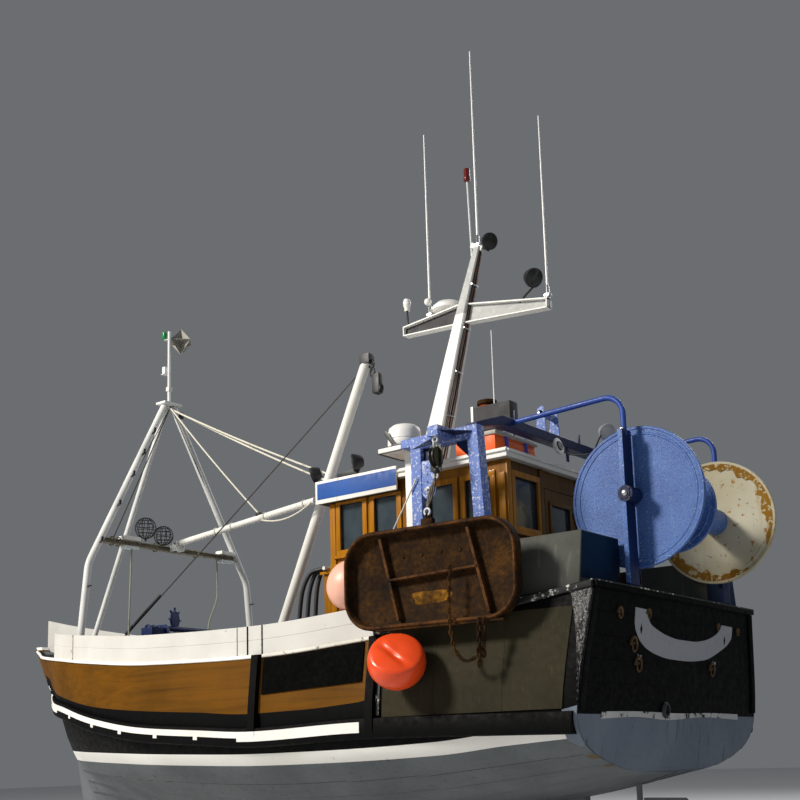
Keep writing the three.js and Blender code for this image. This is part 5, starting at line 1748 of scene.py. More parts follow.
        # Dark sheets under the overhang are painted shade
        shape.box((self.fore + 0.002, -half + thick, foot), (self.visor_fore - thick, half - thick,
            foot + 0.012), VISOR_UNDERSIDE_SHADE)
        for side in (1, -1):
            y0, y1 = sorted((side * (self.half + 0.002), side * (half - thick)))
            shape.box((self.visor_aft, y0, foot), (self.fore + 0.002, y1, foot + 0.012), VISOR_UNDERSIDE_SHADE)
        shape.piece("visor", slot="blue_paint", replaces=["roof_visor"])

    def roof(self) -> None:
        """Adds the roof's bead."""
        shape = Shape()
        for side in (1, -1):
            y = side * (self.roof_half + 0.004)
            shape.tube([(1.13, y, self.roof_top - 0.03), (2.43, y, self.roof_top - 0.03)], 0.016,
                WHITE_ENAMEL)
        shape.tube([(1.126, -1.07, self.roof_top - 0.03), (1.126, 1.07, self.roof_top - 0.03)], 0.016,
            WHITE_ENAMEL)
        shape.piece("roof_bead", slot="white_paint")

    def raft(self) -> None:
        """Builds the orange raft valise with its lid and straps, and the dark box on legs beside it."""
        shape = Shape()
        shape.box((1.30, 0.24, self.roof_top + 0.001), (1.78, 1.0, 2.96), VALISE_ORANGE, 0.06)
        shape.box((1.29, 0.23, 2.945), (1.79, 1.01, 2.985), VALISE_LID, 0.02)
        shape.box((1.52, 0.20, 3.20), (1.98, 0.36, 3.47), DARK_GREY_AND_WEB_SHADE, 0.02)
        shape.box((1.965, 0.19, 3.19), (1.995, 0.37, 3.48), WHITE_ENAMEL, 0.004)
        for x in (1.52, 1.92):
            shape.box((x, 0.28, self.roof_top), (x + 0.03, 0.31, 3.205), DARK_CASTING)
        for y in (0.44, 0.80):
            shape.box((1.292, y - 0.03, 2.775), (1.788, y + 0.03, 2.99), NAVY_STRAP, 0.006)
        shape.piece("raft_valise", slot="orange_plastic")

    def funnel(self) -> None:
        """Builds the rusty exhaust with its rain cap and the thin whip beside it."""
        shape = Shape()
        base, z = (1.98, 0.07, self.roof_top + 0.0005), self.roof_top
        shape.lathe([(0, 0), (0.15, 0), (0.15, 0.02), (0.088, 0.03), (0.085, 0.74), (0.092, 0.75),
            (0.092, 0.78), (0, 0.78)], base, UP, RUST_ORANGE)
        shape.lathe([(0, 0), (0.11, 0.01), (0.105, 0.05), (0.03, 0.075), (0, 0.075)], (1.98, 0.07, z + 0.785),
            UP, RUST)
        shape.tube([(1.72, 0.33, z), (1.72, 0.33, z + 0.10)], 0.02, STAINLESS)
        shape.tube([(1.72, 0.33, z + 0.09), (1.725, 0.33, z + 1.5)], [0.009, 0.004], WHITE_MOULDING, 10)
        shape.piece("exhaust_and_whip", slot="rusty_steel")

    def hoses(self) -> None:
        """Hangs the three black deck hoses at the port front corner."""
        shape = Shape()
        for number in range(3):
            reach = 0.10 + 0.065 * number
            y = 0.93 + 0.045 * number
            path = [(3.50, y - 0.02, 1.88), (3.55 + reach * 0.45, y, 1.86), (3.56 + reach, y + 0.03, 1.62),
                (3.56 + reach * 1.15, y + 0.04, 1.25), (3.56 + reach, y + 0.02, 0.8), (3.56 + reach, y, 0.36)]
            shape.tube(smooth_path(path, 40), 0.023, BLACK_RUBBER)
        shape.tube([(3.46, 0.86, 1.87), (3.46, 1.07, 1.87)], 0.02, GALVANISED)
        shape.piece("deck_hoses", slot="black_paint")

    def lamps(self) -> None:
        """Stands the two black floodlights on the visor."""
        shape = Shape()
        floodlight(shape, (3.60, 1.0, 2.92), (0.85, 0.45, -0.3), 0.085, (3.50, 1.05, 2.79))
        floodlight(shape, (3.04, 0.98, 2.96), (0.7, 0.7, -0.15), 0.09, (3.04, 0.98, 2.80))
        shape.bar((3.04, 0.98, 2.86), (3.30, 0.98, 2.85), 0.05, 0.05, DARK_CASTING)
        shape.bar((3.30, 0.98, 2.80), (3.30, 0.98, 2.86), 0.03, 0.03, DARK_CASTING)
        shape.piece("visor_floodlights", slot="black_paint")

    def build(self) -> None:
        """Builds every piece of the wheelhouse."""
        for part in (self.walls, self.door, self.visor, self.roof, self.raft, self.funnel, self.hoses,
                self.lamps):
            part()


# Masts and aerials

@dataclass
class SignalMast:
    """The tapered box mast, its fore-and-aft crosstree and what they carry."""

    foot: Pair = (2.85, 2.7712)
    head: Pair = (2.06, 5.39)
    widths: tuple[tuple[float, float, float], ...] = ((0.0, 0.26, 0.26), (0.72, 0.13, 0.18),
        (1.0, 0.084, 0.084))
    tree_top: tuple[Pair, ...] = ((1.20, 4.58), (2.30, 4.79), (3.09, 4.715))
    tree_foot: tuple[Pair, ...] = ((1.20, 4.47), (2.27, 4.56), (3.09, 4.605))
    tree_half: float = 0.055

    def centre(self, share: float) -> Vector:
        """Gives a point on the mast's centreline, from its foot at 0 to its head at 1."""
        (x0, z0), (x1, z1) = self.foot, self.head
        return Vector((x0 + (x1 - x0) * share, 0, z0 + (z1 - z0) * share))

    def spars(self) -> None:
        """Builds the mast and the crosstree, with its flanges and web."""
        shape = Shape()
        rings = []
        for share, along, across in self.widths:
            c = self.centre(share)
            a, b, r = along / 2, across / 2, 0.012
            outline = [(a, -b + r), (a, b - r), (a - r, b), (-a + r, b), (-a, b - r), (-a, -b + r),
                (-a + r, -b), (a - r, -b)]
            rings.append([(c.x + u, v, c.z) for u, v in outline])
        # Above the crosstree the mast is painted grey for its shade; below it stays white
        split = next(place for place, width in enumerate(self.widths) if width[0] > 0.55)
        shape.loft(rings[:split + 1], WHITE_ENAMEL)
        shape.loft(rings[split:], WHITE_PAINTED_SHADE)
        tops, feet, half = self.tree_top, self.tree_foot, self.tree_half
        for line, low, high in ((tops, -0.014, 0.0), (feet, 0.0, 0.012)):
            rows = [[(x, -half, z + low), (x, half, z + low), (x, half, z + high), (x, -half, z + high)]
                for x, z in line]
            shape.loft(rows, WHITE_ENAMEL)
        # The web between the flanges is painted grey for the shade inside the channel
        web = [[(x, -0.006, z + 0.010), (x, 0.006, z + 0.010), (x, 0.006, t - 0.012), (x, -0.006, t - 0.012)]
            for (x, z), (_, t) in zip(feet, tops)]
        shape.loft(web, WHITE_PAINTED_SHADE)
        # A dark sheet on the port side of the forward web is painted shade
        inner = [(x, z + 0.016, t - 0.018) for (x, z), (_, t) in zip(feet, tops) if x > 2.1]
        inner += [(3.06, 4.625, 4.69)]
        shape.loft([[(x, 0.0055, low), (x, 0.0085, low), (x, 0.0085, high), (x, 0.0055, high)] for x, low,
            high in inner], DARK_GREY_AND_WEB_SHADE)
        for x, low, high in ((1.20, 4.47, 4.58), (3.078, 4.605, 4.715)):
            shape.box((x, -half, low), (x + 0.012, half, high), WHITE_ENAMEL)
        shape.piece("signal_mast", slot="white_paint", replaces=["mast"])

    def cables(self) -> None:
        """Runs the aerial cables and conduits down the after face of the mast."""
        shape = Shape()
        for number, (y, radius) in enumerate(((-0.03, 0.007), (0.0, 0.009), (0.028, 0.006), (0.05, 0.005))):
            path = []
            for step in range(22):
                share = 0.985 - step * 0.0465
                c = self.centre(share)
                width = float(np.interp(share, (0, 0.72, 1), (0.13, 0.065, 0.042)))
                path.append((c.x - width - radius, y * (1.6 - share) + 0.004 * math.sin(step * 1.3 + number),
                    c.z))
            shape.tube(path, radius, BLACK_RUBBER if number % 2 else CABLE_TAN, 8)
        for share in (0.12, 0.3, 0.48, 0.66, 0.84):
            c = self.centre(share)
            width = float(np.interp(share, (0, 0.72, 1), (0.13, 0.065, 0.042)))
            shape.box((c.x - width - 0.02, -0.06, c.z - 0.008), (c.x - width, 0.07, c.z + 0.008), STAINLESS,
                0.002)
        shape.piece("mast_cables", slot="black_paint")

    def whip(self, name: str, place: Pair, head: float, node: str) -> None:
        """Builds one fibreglass whip aerial with its ferrule and mount.

        Args:
            name: Name of the piece.
            place: X and Z of its foot.
            head: Height of its tip.
            node: CAD node that it stands for.
        """
        shape = Shape()
        x, z = place
        shape.lathe([(0, 0), (0.026, 0.0), (0.026, 0.06), (0.02, 0.075), (0.02, 0.135), (0.013, 0.15),
            (0, 0.15)], (x, 0, z + 0.0006), UP, STAINLESS, 20)
        count = 8
        path = [(x + 0.005 * i / count, 0, z + 0.14 + (head - z - 0.14) * i / count)
            for i in range(count + 1)]
        shape.tube(path, [0.013 - 0.007 * i / count for i in range(count + 1)], WHITE_MOULDING, 12)
        shape.box((x - 0.035, -0.03, z + 0.02), (x + 0.035, 0.03, z + 0.05), STAINLESS, 0.006)
        shape.piece(name, slot="white_plastic", replaces=[node])

    def aerials(self) -> None:
        """Builds the three whips."""
        self.whip("whip_fore", (2.74, 4.748), 6.975, "aerial_fore")
        self.whip("whip_masthead", (2.062, 5.3904), 7.76, "aerial_masthead")
        self.whip("whip_aft", (1.215, 4.5832), 6.66, "aerial_aft")

    def domes(self) -> None:
        """Builds the satellite mushroom, the low dome and the aerial junction ball."""
        shape = Shape()
        shape.tube([(3.05, 0, 4.71), (3.06, 0, 4.92)], 0.013, BLACK_RUBBER)
        shape.lathe([(0, 0), (0.03, 0), (0.034, 0.05), (0.042, 0.06), (0.044, 0.11), (0.034, 0.14),
            (0, 0.15)], (3.06, 0, 4.91), UP, WHITE_MOULDING)
        shape.lathe([(0, 0), (0.16, 0), (0.185, 0.02), (0.18, 0.06), (0.13, 0.105), (0.06, 0.125), (0, 0.13)],
            (2.56, -0.10, 4.80), UP, WHITE_MOULDING)
        shape.bar((2.56, -0.10, 4.74), (2.56, -0.10, 4.80), 0.05, 0.05, WHITE_ENAMEL)
        shape.bar((2.45, -0.04, 4.765), (2.62, -0.10, 4.765), 0.04, 0.02, WHITE_ENAMEL)
        shape.ball((2.74, 0.035, 4.93), 0.042, WHITE_MOULDING)
        shape.piece("mast_domes", slot="white_plastic")

    def lights(self) -> None:
        """Builds the two floodlights, the lamp pole and the masthead bracket."""
        shape = Shape()
        floodlight(shape, (1.40, 0.0, 4.87), (-0.75, 0.35, -0.45), 0.10, (1.56, 0.0, 4.63))
        floodlight(shape, (1.93, 0.0, 5.43), (-0.8, 0.4, -0.35), 0.09, (2.04, 0.0, 5.40))
        shape.bar((2.0, 0, 5.36), (2.14, 0, 5.44), 0.05, 0.06, GALVANISED)
        shape.tube([(2.147, 0, 5.20), (2.147, 0, 5.36), (2.17, 0, 6.22)], 0.010, GALVANISED)
        shape.bar((2.08, 0, 5.22), (2.15, 0, 5.22), 0.03, 0.03, GALVANISED)
        shape.bar((2.07, 0, 5.33), (2.15, 0, 5.33), 0.03, 0.03, GALVANISED)
        shape.lathe([(0, 0), (0.03, 0), (0.038, 0.015), (0.038, 0.05), (0.034, 0.06), (0.036, 0.13),
            (0.03, 0.15), (0, 0.16)], (2.17, 0, 6.21), UP, RED_LAMP)
        shape.piece("mast_lights", slot="black_paint")

    def build(self) -> None:
        """Builds every piece of the signal mast."""
        for part in (self.spars, self.cables, self.aerials, self.domes, self.lights):
            part()


@dataclass
class RadarDome:
    """The radome on its post and channel-edged platform."""

    x: float = 2.055
    y: float = 1.45
    radius: float = 0.166
    height: float = 0.25
    post_x: float = 1.99
    post_half: float = 0.041
    foot: float = 0.3204
    platform: tuple[Point, Point] = ((1.9475, 1.2705, 2.7735), (2.2295, 1.6595, 2.833))

    def build(self) -> None:
        """Builds the dome, its base ring, the bracket in front of it, the platform and the post."""
        shape = Shape()
        r, h = self.radius, self.height
        shape.lathe([(0, 0), (r - 0.03, 0), (r - 0.01, 0.012), (r, 0.035), (r, 0.075), (r - 0.006, 0.08),
            (r - 0.006, 0.088), (r, 0.093), (r - 0.004, 0.16), (r * 0.9, 0.205), (r * 0.7, 0.232),
            (r * 0.35, h - 0.003), (0, h)], (self.x, self.y, self.platform[1][2] + 0.0006), UP,
            WHITE_MOULDING, 48)
        shape.piece("radome_moulding", slot="white_plastic", replaces=["radome"])
        stand = Shape()
        low, high = self.platform
        stand.box((low[0] + 0.006, low[1] + 0.006, low[2] + 0.01), (high[0] - 0.006, high[1] - 0.006,
            high[2]), WHITE_ENAMEL)
        for y in (low[1], high[1] - 0.012):
            stand.box((low[0], y, low[2] + 0.008), (high[0], y + 0.012, high[2] - 0.008), WHITE_ENAMEL)
            stand.box((low[0], y, high[2] - 0.009), (high[0], y + 0.0125, high[2] - 0.0005), DARK_CASTING,
                0.002)
            stand.box((low[0], y, low[2]), (high[0], y + 0.0125, low[2] + 0.009), DARK_CASTING, 0.002)
        stand.box((high[0] - 0.012, low[1], low[2] + 0.002), (high[0], high[1], high[2] - 0.001),
            DARK_CASTING, 0.003)
        half = self.post_half
        stand.box((self.post_x - half, self.y - half, self.foot), (self.post_x + half, self.y + half,
            low[2] + 0.012), WHITE_ENAMEL, 0.008)
        stand.box((self.post_x - 0.07, self.y - 0.07, self.foot), (self.post_x + 0.07, self.y + 0.07,
            self.foot + 0.012), WHITE_ENAMEL)
        stand.bar((self.x - 0.02, 1.63, high[2] - 0.004), (self.x + 0.10, 1.63, high[2] + 0.16), 0.012, 0.04,
            DARK_CASTING)
        stand.bar((self.x - 0.06, 1.632, high[2] + 0.006), (self.x + 0.02, 1.632, high[2] + 0.006), 0.03,
            0.012, DARK_CASTING)
        stand.piece("radome_stand", slot="white_paint", replaces=["radome_post"])


# Stern gear

@dataclass
class Gallows:
    """The blue gallows' plates, blocks and falls, and the gantry's fittings."""

    y: float = 1.62

    def side(self, port: bool) -> None:
        """Builds the plates, gussets and light line of one gallows.

        Args:
            port: Whether it is the port one.
        """
        shape = Shape()
        out = self.y + 0.0605
        outline = [(-0.075, 0.37), (0.075, 0.37), (0.075, 0.06), (0.05, 0.018), (0.0, 0.0), (-0.05, 0.018),
            (-0.075, 0.06)]
        shape.plate(outline, (1.605, out, 2.235), ASTERN, UP, 0.016, BLUE_GALLOWS)
        shape.lathe([(0, 0), (0.028, 0), (0.028, 0.02), (0.018, 0.024), (0.018, 0.045), (0, 0.045)],
            (1.61, out + 0.014, 2.32), PORT, STAINLESS, 20)
        for z in (2.40, 2.47, 2.54):
            shape.rod(0.010, 0.003, (1.615, out + 0.0145, z), PORT, DARK_CASTING, 12)
        gusset = [(0.0, 0.0), (0.0, -0.16), (0.03, -0.16), (0.16, -0.03), (0.16, 0.0)]
        shape.plate(gusset, (1.16, out - 0.05, 2.741), AHEAD, UP, 0.012, NAVY_ENAMEL)
        shape.plate([(-x, z) for x, z in gusset], (1.70, out - 0.05, 2.741), AHEAD, UP, 0.012, NAVY_ENAMEL)
        shape.plate([(0, 0), (-0.20, 0), (0, 0.22)], (1.3095, 1.6805, 2.79), AHEAD, PORT, 0.014, NAVY_ENAMEL)
        if port:
            shape.tube(sagging((1.74, 1.70, 2.46), (2.31, 1.668, 1.652), 0.02, 12), 0.007, ROPE_FIBRE, 8)
        shape.side_piece("gallows_fittings", port, "bright_blue_paint")

    def gantry(self) -> None:
        """Builds the beam's brackets, roller, lamps and cable."""
        shape = Shape()
        top = 3.0405
        for y in (0.42, 0.16):
            outline = [(-0.06, 0.0), (0.06, 0.0), (0.035, 0.24), (-0.02, 0.27), (-0.045, 0.24)]
            shape.plate(outline, (1.13, y, top), AHEAD, UP, 0.014, BLUE_GALLOWS)
        shape.tube([(1.13, 0.42, top + 0.19), (1.13, 0.14, top + 0.19)], 0.035, BLUE_GALLOWS, 20)
        shape.tube([(1.13, 0.45, top + 0.19), (1.13, 0.11, top + 0.19)], 0.012, STAINLESS, 12)
        floodlight(shape, (1.05, -0.80, 3.27), (-0.7, 0.5, -0.4), 0.09, (1.13, -0.66, top), LAMP_SILVER,
            LAMP_SILVER)
        shape.lathe([(0, 0), (0.07, 0.01), (0.085, 0.03), (0.085, 0.045), (0, 0.05)], (1.066, 0.26, 2.90),
            (-1, 0, 0.2), WHITE_MOULDING)
        shape.lathe([(0, 0), (0.05, 0), (0.045, 0.012), (0, 0.012)], (1.017, 0.26, 2.91), (-1, 0, 0.2),
            DARK_CASTING, 20)
        for y in (0.9, -0.35, -1.1):
            shape.bar((1.13, y, top), (1.13, y, top + 0.12), 0.02, 0.02, NAVY_ENAMEL)
        for y in (0.0, -0.62):
            shape.bar((1.08, y, 2.946), (1.08, y, 2.80), 0.05, 0.012, NAVY_ENAMEL)
        shape.tube(smooth_path([(1.06, 0.30, 2.93), (1.03, 0.1, 2.86), (1.03, -0.2, 2.9), (1.05, -0.5, 3.0),
            (1.06, -0.66, 3.16), (1.07, -0.76, 3.25)], 30), 0.008, BLACK_RUBBER, 8)
        shape.piece("gantry_fittings", slot="bright_blue_paint")

    def build(self) -> None:
        """Builds the fittings of both gallows and of the gantry."""
        self.side(True)
        self.side(False)
        self.gantry()


@dataclass
class NetDrum:
    """The net drum with its blue flanges and barrel, the cream flange and the two stands."""

    x: float = -0.085
    z: float = 2.125
    flange: float = 0.645
    cream: float = 0.62
    barrel: float = 0.13
    half: float = 0.85
    plate: float = 0.02
    middle: float = 0.42
    axle: float = 0.03
    axle_half: float = 1.06

    def disc(self, shape: Shape, radius: float, y: float, finish: Finish) -> None:
        """Adds one flange with a rolled rim.

        Args:
            shape: Shape that it is added to.
            radius: Its radius.
            y: Y of its starboard face.
            finish: Its finish.
        """
        r = radius
        near = [(0, 0), (r - 0.08, 0), (r - 0.074, -0.006), (r - 0.062, -0.006), (r - 0.056, -0.001),
            (r - 0.03, -0.001), (r - 0.024, -0.008), (r - 0.004, -0.008), (r, -0.003)]
        far = [(out, self.plate - along) for out, along in reversed(near)]
        shape.lathe(near + far, (self.x, y, self.z), PORT, finish, 96)

    def rusted_rim(self, shape: Shape, radius: float, y: float) -> None:
        """Adds the ragged band of rust that eats inwards from a flange's rim.

        Args:
            shape: Shape that it is added to.
            radius: Radius of the flange.
            y: Y of the face that the rust lies on.
        """
        rng = random.Random(11)
        waves = [(rng.uniform(0, 6.3), rng.uniform(0.5, 1.0) / math.sqrt(k), k) for k in (2, 3, 5, 9, 14, 22,
            33, 47)]
        rings = []
        for step in range(145):
            t = 2 * math.pi * step / 144
            eaten = 0.055 + 0.055 * sum(weight * math.sin(k * t + start) for start, weight, k in waves)
            inner = radius - 0.024 - min(0.2, max(0.004, eaten))
            ring = []
            for r, off in ((inner, -0.0005), (radius - 0.02, -0.0005), (radius - 0.02, 0.001),
                    (inner, 0.001)):
                ring.append((self.x + r * math.sin(t), y + off, self.z + r * math.cos(t)))
            rings.append(ring)
        shape.loft(rings, RUST_OCHRE)

    def drum(self) -> None:
        """Builds the barrel, the blue flanges and the axle, which turn together."""
        shape = Shape()
        shape.rod(self.barrel, 2 * self.half - 0.001, (self.x, -self.half + 0.0005, self.z), PORT, DRUM_BLUE,
            48)
        self.disc(shape, self.flange, self.half, DRUM_BLUE)
        self.disc(shape, self.middle, 0.09, DRUM_BLUE)
        shape.rod(self.axle, 2 * self.axle_half, (self.x, -self.axle_half, self.z), PORT, STAINLESS, 24)
        shape.piece("drum_blue", "drum", "bright_blue_paint", ["net_drum"])

    def cream_flange(self) -> None:
        """Builds the cream flange, rusted from its rim."""
        shape = Shape()
        self.disc(shape, self.cream, -self.half - self.plate, CREAM_ENAMEL)
        self.rusted_rim(shape, self.cream, -self.half + 0.0065)
        shape.piece("drum_cream", "drum", "cream_paint", ["net_drum_flange"])

    def stand(self, port: bool) -> None:
        """Builds one stand: flat bar, foot plate, bearing and bent stay tube.

        Args:
            port: Whether it is the port one.
        """
        shape = Shape()
        y, half, aft, fore, foot, top = 1.0, 0.085, -0.088, -0.042, 1.3104, 2.72
        # The stand is navy with its outer face drum blue: the shaded and lit sides of one blue paint, painted
        shape.box((aft, y - half, foot), (fore, y + half, top), NAVY_ENAMEL, 0.003)
        shape.box((aft + 0.001, y + half - 0.001, foot + 0.02), (fore - 0.001, y + half + 0.004, top - 0.004),
            DRUM_BLUE, 0.002)
        middle = (aft + fore) / 2
        bend, high = 0.18, 3.05
        path = [(middle, y, top - 0.05)] + arc((middle + bend, y, high - bend), bend, 180, 90, 12)
        path += [(1.065, y, 3.01)]
        shape.tube(path, 0.026, STAY_BLUE, 20)
        shape.lathe([(0, 0), (0.072, 0), (0.075, 0.003), (0.075, 0.185), (0.072, 0.19), (0.05, 0.19),
            (0.046, 0.198), (0, 0.198)], (self.x, y - 0.095, self.z), PORT, NAVY_ENAMEL, 32)
        shape.lathe([(0, 0), (0.03, 0), (0.026, 0.012), (0.014, 0.018), (0, 0.018)],
            (self.x, y + 0.102, self.z), PORT, STAINLESS, 28)
        for a in range(45, 405, 90):
            bolt = (self.x + 0.058 * math.cos(math.radians(a)), y + 0.094,
                self.z + 0.058 * math.sin(math.radians(a)))
            shape.rod(0.009, 0.01, bolt, PORT, DARK_CASTING, 6)
        shape.box((aft, y - half - 0.03, foot), (0.045, y + half + 0.02, foot + 0.014), NAVY_ENAMEL)
        shape.bar((middle, y + half - 0.05, top - 0.02), (middle, y + half - 0.05, top + 0.012), 0.03, 0.03,
            STAINLESS, 0.004)
        shape.side_piece("drum_stand_steel", port, "dark_blue_paint", "drum_stand")

    def build(self) -> None:
        """Builds the drum and its stands."""
        self.drum()
        self.cream_flange()
        self.stand(True)
        self.stand(False)


# Bow gear

@dataclass
class BowGear:
    """The bow portal with its pole, lamps and floats, the raked mast, the boom and the rigging."""

    x: float = 7.0
    head_x: float = 7.087
    foot_y: float = 1.478
    knee_y: float = 1.35
    knee_z: float = 2.31
    head_y: float = 0.07
    head_z: float = 4.60
    radius: float = 0.045
    bar_z: float = 2.63

    def leg(self, shape: Shape, side: int) -> None:
        """Adds one portal leg with its foot plate and steps.

        Args:
            shape: Shape that it is added to.
            side: 1 for port, -1 for starboard.
        """
        foot = Vector((self.x, side * self.foot_y, FORM.sheer(self.x) + 0.004))
        knee = Vector((self.x, side * self.knee_y, self.knee_z))
        head = Vector((self.head_x, side * self.head_y, self.head_z))
        before, after = (knee - foot).normalized() * 0.08, (head - knee).normalized() * 0.08
        bend = [(knee - before) * (1 - t) ** 2 + knee * 2 * t * (1 - t) + (knee + after) * t**2
            for t in (0.25, 0.5, 0.75)]
        shape.tube([foot, knee - before, *bend, knee + after, head], self.radius, GALVANISED, 24)
        for share in ((0.12, 0.34, 0.52, 0.66, 0.80) if side == 1 else ()):
            root, toe, tip = (knee.lerp(head, share) + Vector(p) for p in ((-0.03, 0.0, 0),
                (-0.15, 0.06, 0.0), (-0.16, 0.065, 0.05)))
            shape.bar(root, toe, 0.03, 0.012, DARK_CASTING)
            shape.bar(toe, tip, 0.03, 0.012, DARK_CASTING)
        low = knee.lerp(foot, 0.25)
        shape.bar(low + Vector((-0.03, 0.0, 0)), low + Vector((-0.14, 0.04, 0.0)), 0.03, 0.012, DARK_CASTING)

    def frame(self) -> None:
        """Builds the portal frame with its crossbar, lugs and head plate."""
        shape = Shape()
        for side in (1, -1):
            self.leg(shape, side)
            y0, y1 = sorted((side * 1.418, side * 1.522))
            z = FORM.sheer(self.x + 0.06) + 0.0004
            shape.box((6.94, y0, z), (7.06, y1, z + 0.025), GALVANISED)
        half = self.knee_y - (self.bar_z - self.knee_z) * (self.knee_y - self.head_y) / (self.head_z
            - self.knee_z)
        z = self.bar_z
        for aft, fore, low, high in ((6.98, 7.05, 0.023, 0.035), (6.98, 7.05, -0.035, -0.023),
                (7.034, 7.046, -0.03, 0.03)):
            shape.box((aft, -half, z + low), (fore, half, z + high), CROSSBAR_DIRTY)
        for y in (-0.055, 0.055):
            outline = [(-0.15, -0.03), (-0.15, 0.06), (-0.12, 0.105), (-0.09, 0.105), (0.0, 0.03),
                (0.0, -0.03)]
            shape.plate(outline, (6.99, y + 0.008, z), AHEAD, UP, 0.016, GALVANISED)
        shape.box((6.997, -0.15, self.head_z), (7.177, 0.15, self.head_z + 0.03), GALVANISED)
        shape.piece("portal_tubes", slot="galvanised_steel", replaces=["portal_frame"])

    def strut(self) -> None:
        """Builds the forward strut of the portal."""
        shape = Shape()
        top = Vector((self.head_x + 0.06, 0, self.head_z - 0.0165))
        foot = Vector((8.94, 0, 0.86))
        shape.tube([foot, top], self.radius * 0.8, GALVANISED, 24)
        shape.piece("portal_strut_tube", slot="galvanised_steel", replaces=["portal_strut"])

    def pole(self) -> None:
        """Builds the pole with its lamps and the folded-plate radar reflector."""
        shape = Shape()
        x = self.head_x
        shape.tube([(x, 0, self.head_z + 0.0304), (x, 0, 5.64)], 0.022, GALVANISED, 20)
        shape.bar((x, 0, 5.53), (x + 0.07, 0.03, 5.53), 0.05, 0.012, GALVANISED)
        shape.lathe([(0, 0), (0.035, 0), (0.038, 0.01), (0.034, 0.09), (0.02, 0.105), (0, 0.105)],
            (x + 0.06, 0.03, 5.535), UP, GREEN_LAMP)
        shape.box((x + 0.02, -0.02, 5.04), (x + 0.10, 0.06, 5.05), GALVANISED)
        shape.box((x + 0.03, -0.01, 5.05), (x + 0.09, 0.05, 5.15), LENS, 0.015)
        shape.box((x - 0.03, -0.03, 4.80), (x + 0.03, 0.03, 4.86), GALVANISED)
        shape.piece("portal_pole_tube", slot="galvanised_steel", replaces=["portal_pole"])
        plates = Shape()
        centre, r = Vector((x, -0.21, 5.55)), 0.185
        for first, second in ((AHEAD, PORT), (AHEAD, UP), (PORT, UP)):
            outline = [(r, 0), (0, r), (-r, 0), (0, -r)]
            normal = Vector(first).cross(Vector(second))
            plates.plate(outline, centre - normal * 0.003, first, second, 0.006, REFLECTOR_SHEET, 0.001)
        plates.piece("reflector_plates", slot="galvanised_steel", replaces=["radar_reflector"])

    def lamps(self) -> None:
        """Builds the crossbar's two deck lamps and two netted glass floats."""
        shape = Shape()
        for y in (0.72, -0.95):
            shape.box((6.93, y - 0.13, self.bar_z + 0.036), (7.06, y + 0.13, self.bar_z + 0.085),
                WHITE_MOULDING, 0.02)
            shape.box((6.94, y - 0.11, self.bar_z - 0.075), (7.05, y + 0.11, self.bar_z - 0.037), LENS, 0.015)
        for centre, radius in (((7.0, 0.46, 2.86), 0.135), ((7.0, 0.16, 2.80), 0.125)):
            netted_float(shape, centre, radius)
        for y in (1.0, 0.9, 0.3, -0.4):
            shape.ring((7.0, y, self.bar_z), PORT, 0.055, 0.007, ROPE_OLD)
        shape.piece("crossbar_lamps_and_floats", slot="white_plastic")

    def raked_mast(self) -> None:
        """Builds the raked mast with its head block and shackles."""
        shape = Shape()
        foot, head = Vector((5.5725, 0, 0.376)), Vector((3.665, 0, 4.47))
        shape.tube([foot, head], 0.06, WHITE_ENAMEL, 28)
        shape.box((3.595, -0.06, 4.41), (3.735, 0.06, 4.53), DARK_CASTING, 0.01)
        for x, y, z in ((3.60, 0.0, 4.40), (3.55, 0.05, 4.28)):
            shape.ring((x, y, z), (0.3, 1, 0), 0.045, 0.012, DARK_CASTING)
        shape.lathe([(0, 0), (0.06, 0), (0.07, 0.01), (0.05, 0.035), (0.07, 0.06), (0.06, 0.07), (0, 0.07)],
            (3.50, -0.01, 4.08), PORT, DARK_CASTING)
        shape.bar((3.50, 0.025, 4.02), (3.50, 0.025, 4.26), 0.09, 0.10, DARK_CASTING, 0.02)
        shape.piece("raked_mast_tube", slot="white_paint", replaces=["raked_mast"])

    def boom(self) -> None:
        """Builds the cargo boom with its pin and lashings, and the line that lifts it."""
        shape = Shape()
        hinge, tip = Vector((6.89, 0, 2.70)), Vector((4.38, 0.145, 2.875))
        shape.tube([hinge, tip], 0.04, WHITE_ENAMEL, 24)
        shape.tube([(6.89, -0.063, 2.70), (6.89, 0.063, 2.70)], 0.014, STAINLESS, 16)
        for share in (0.30, 0.42, 0.66, 0.93):
            shape.ring(hinge.lerp(tip, share), tip - hinge, 0.044, 0.008, ROPE_FIBRE)
        shape.tube(sagging((5.36, 0.10, 2.80), (4.42, 0.178, 2.85), 0.10), 0.010, ROPE_FIBRE, 10)
        shape.box((5.32, 0.05, 2.83), (5.38, 0.12, 2.88), DARK_CASTING, 0.01)
        shape.piece("cargo_boom_tube", "boom", "white_paint", ["cargo_boom"])
        lift, start, end = Shape(), Vector((6.99, 0.05, 4.53)), Vector((5.34, 0.08, 2.85))
        lift.tube(sagging(start, end, 0.03), 0.010, ROPE_FIBRE, 10)
        lift.piece("boom_lift_line", slot="galvanised_steel", across=("boom", start, end))

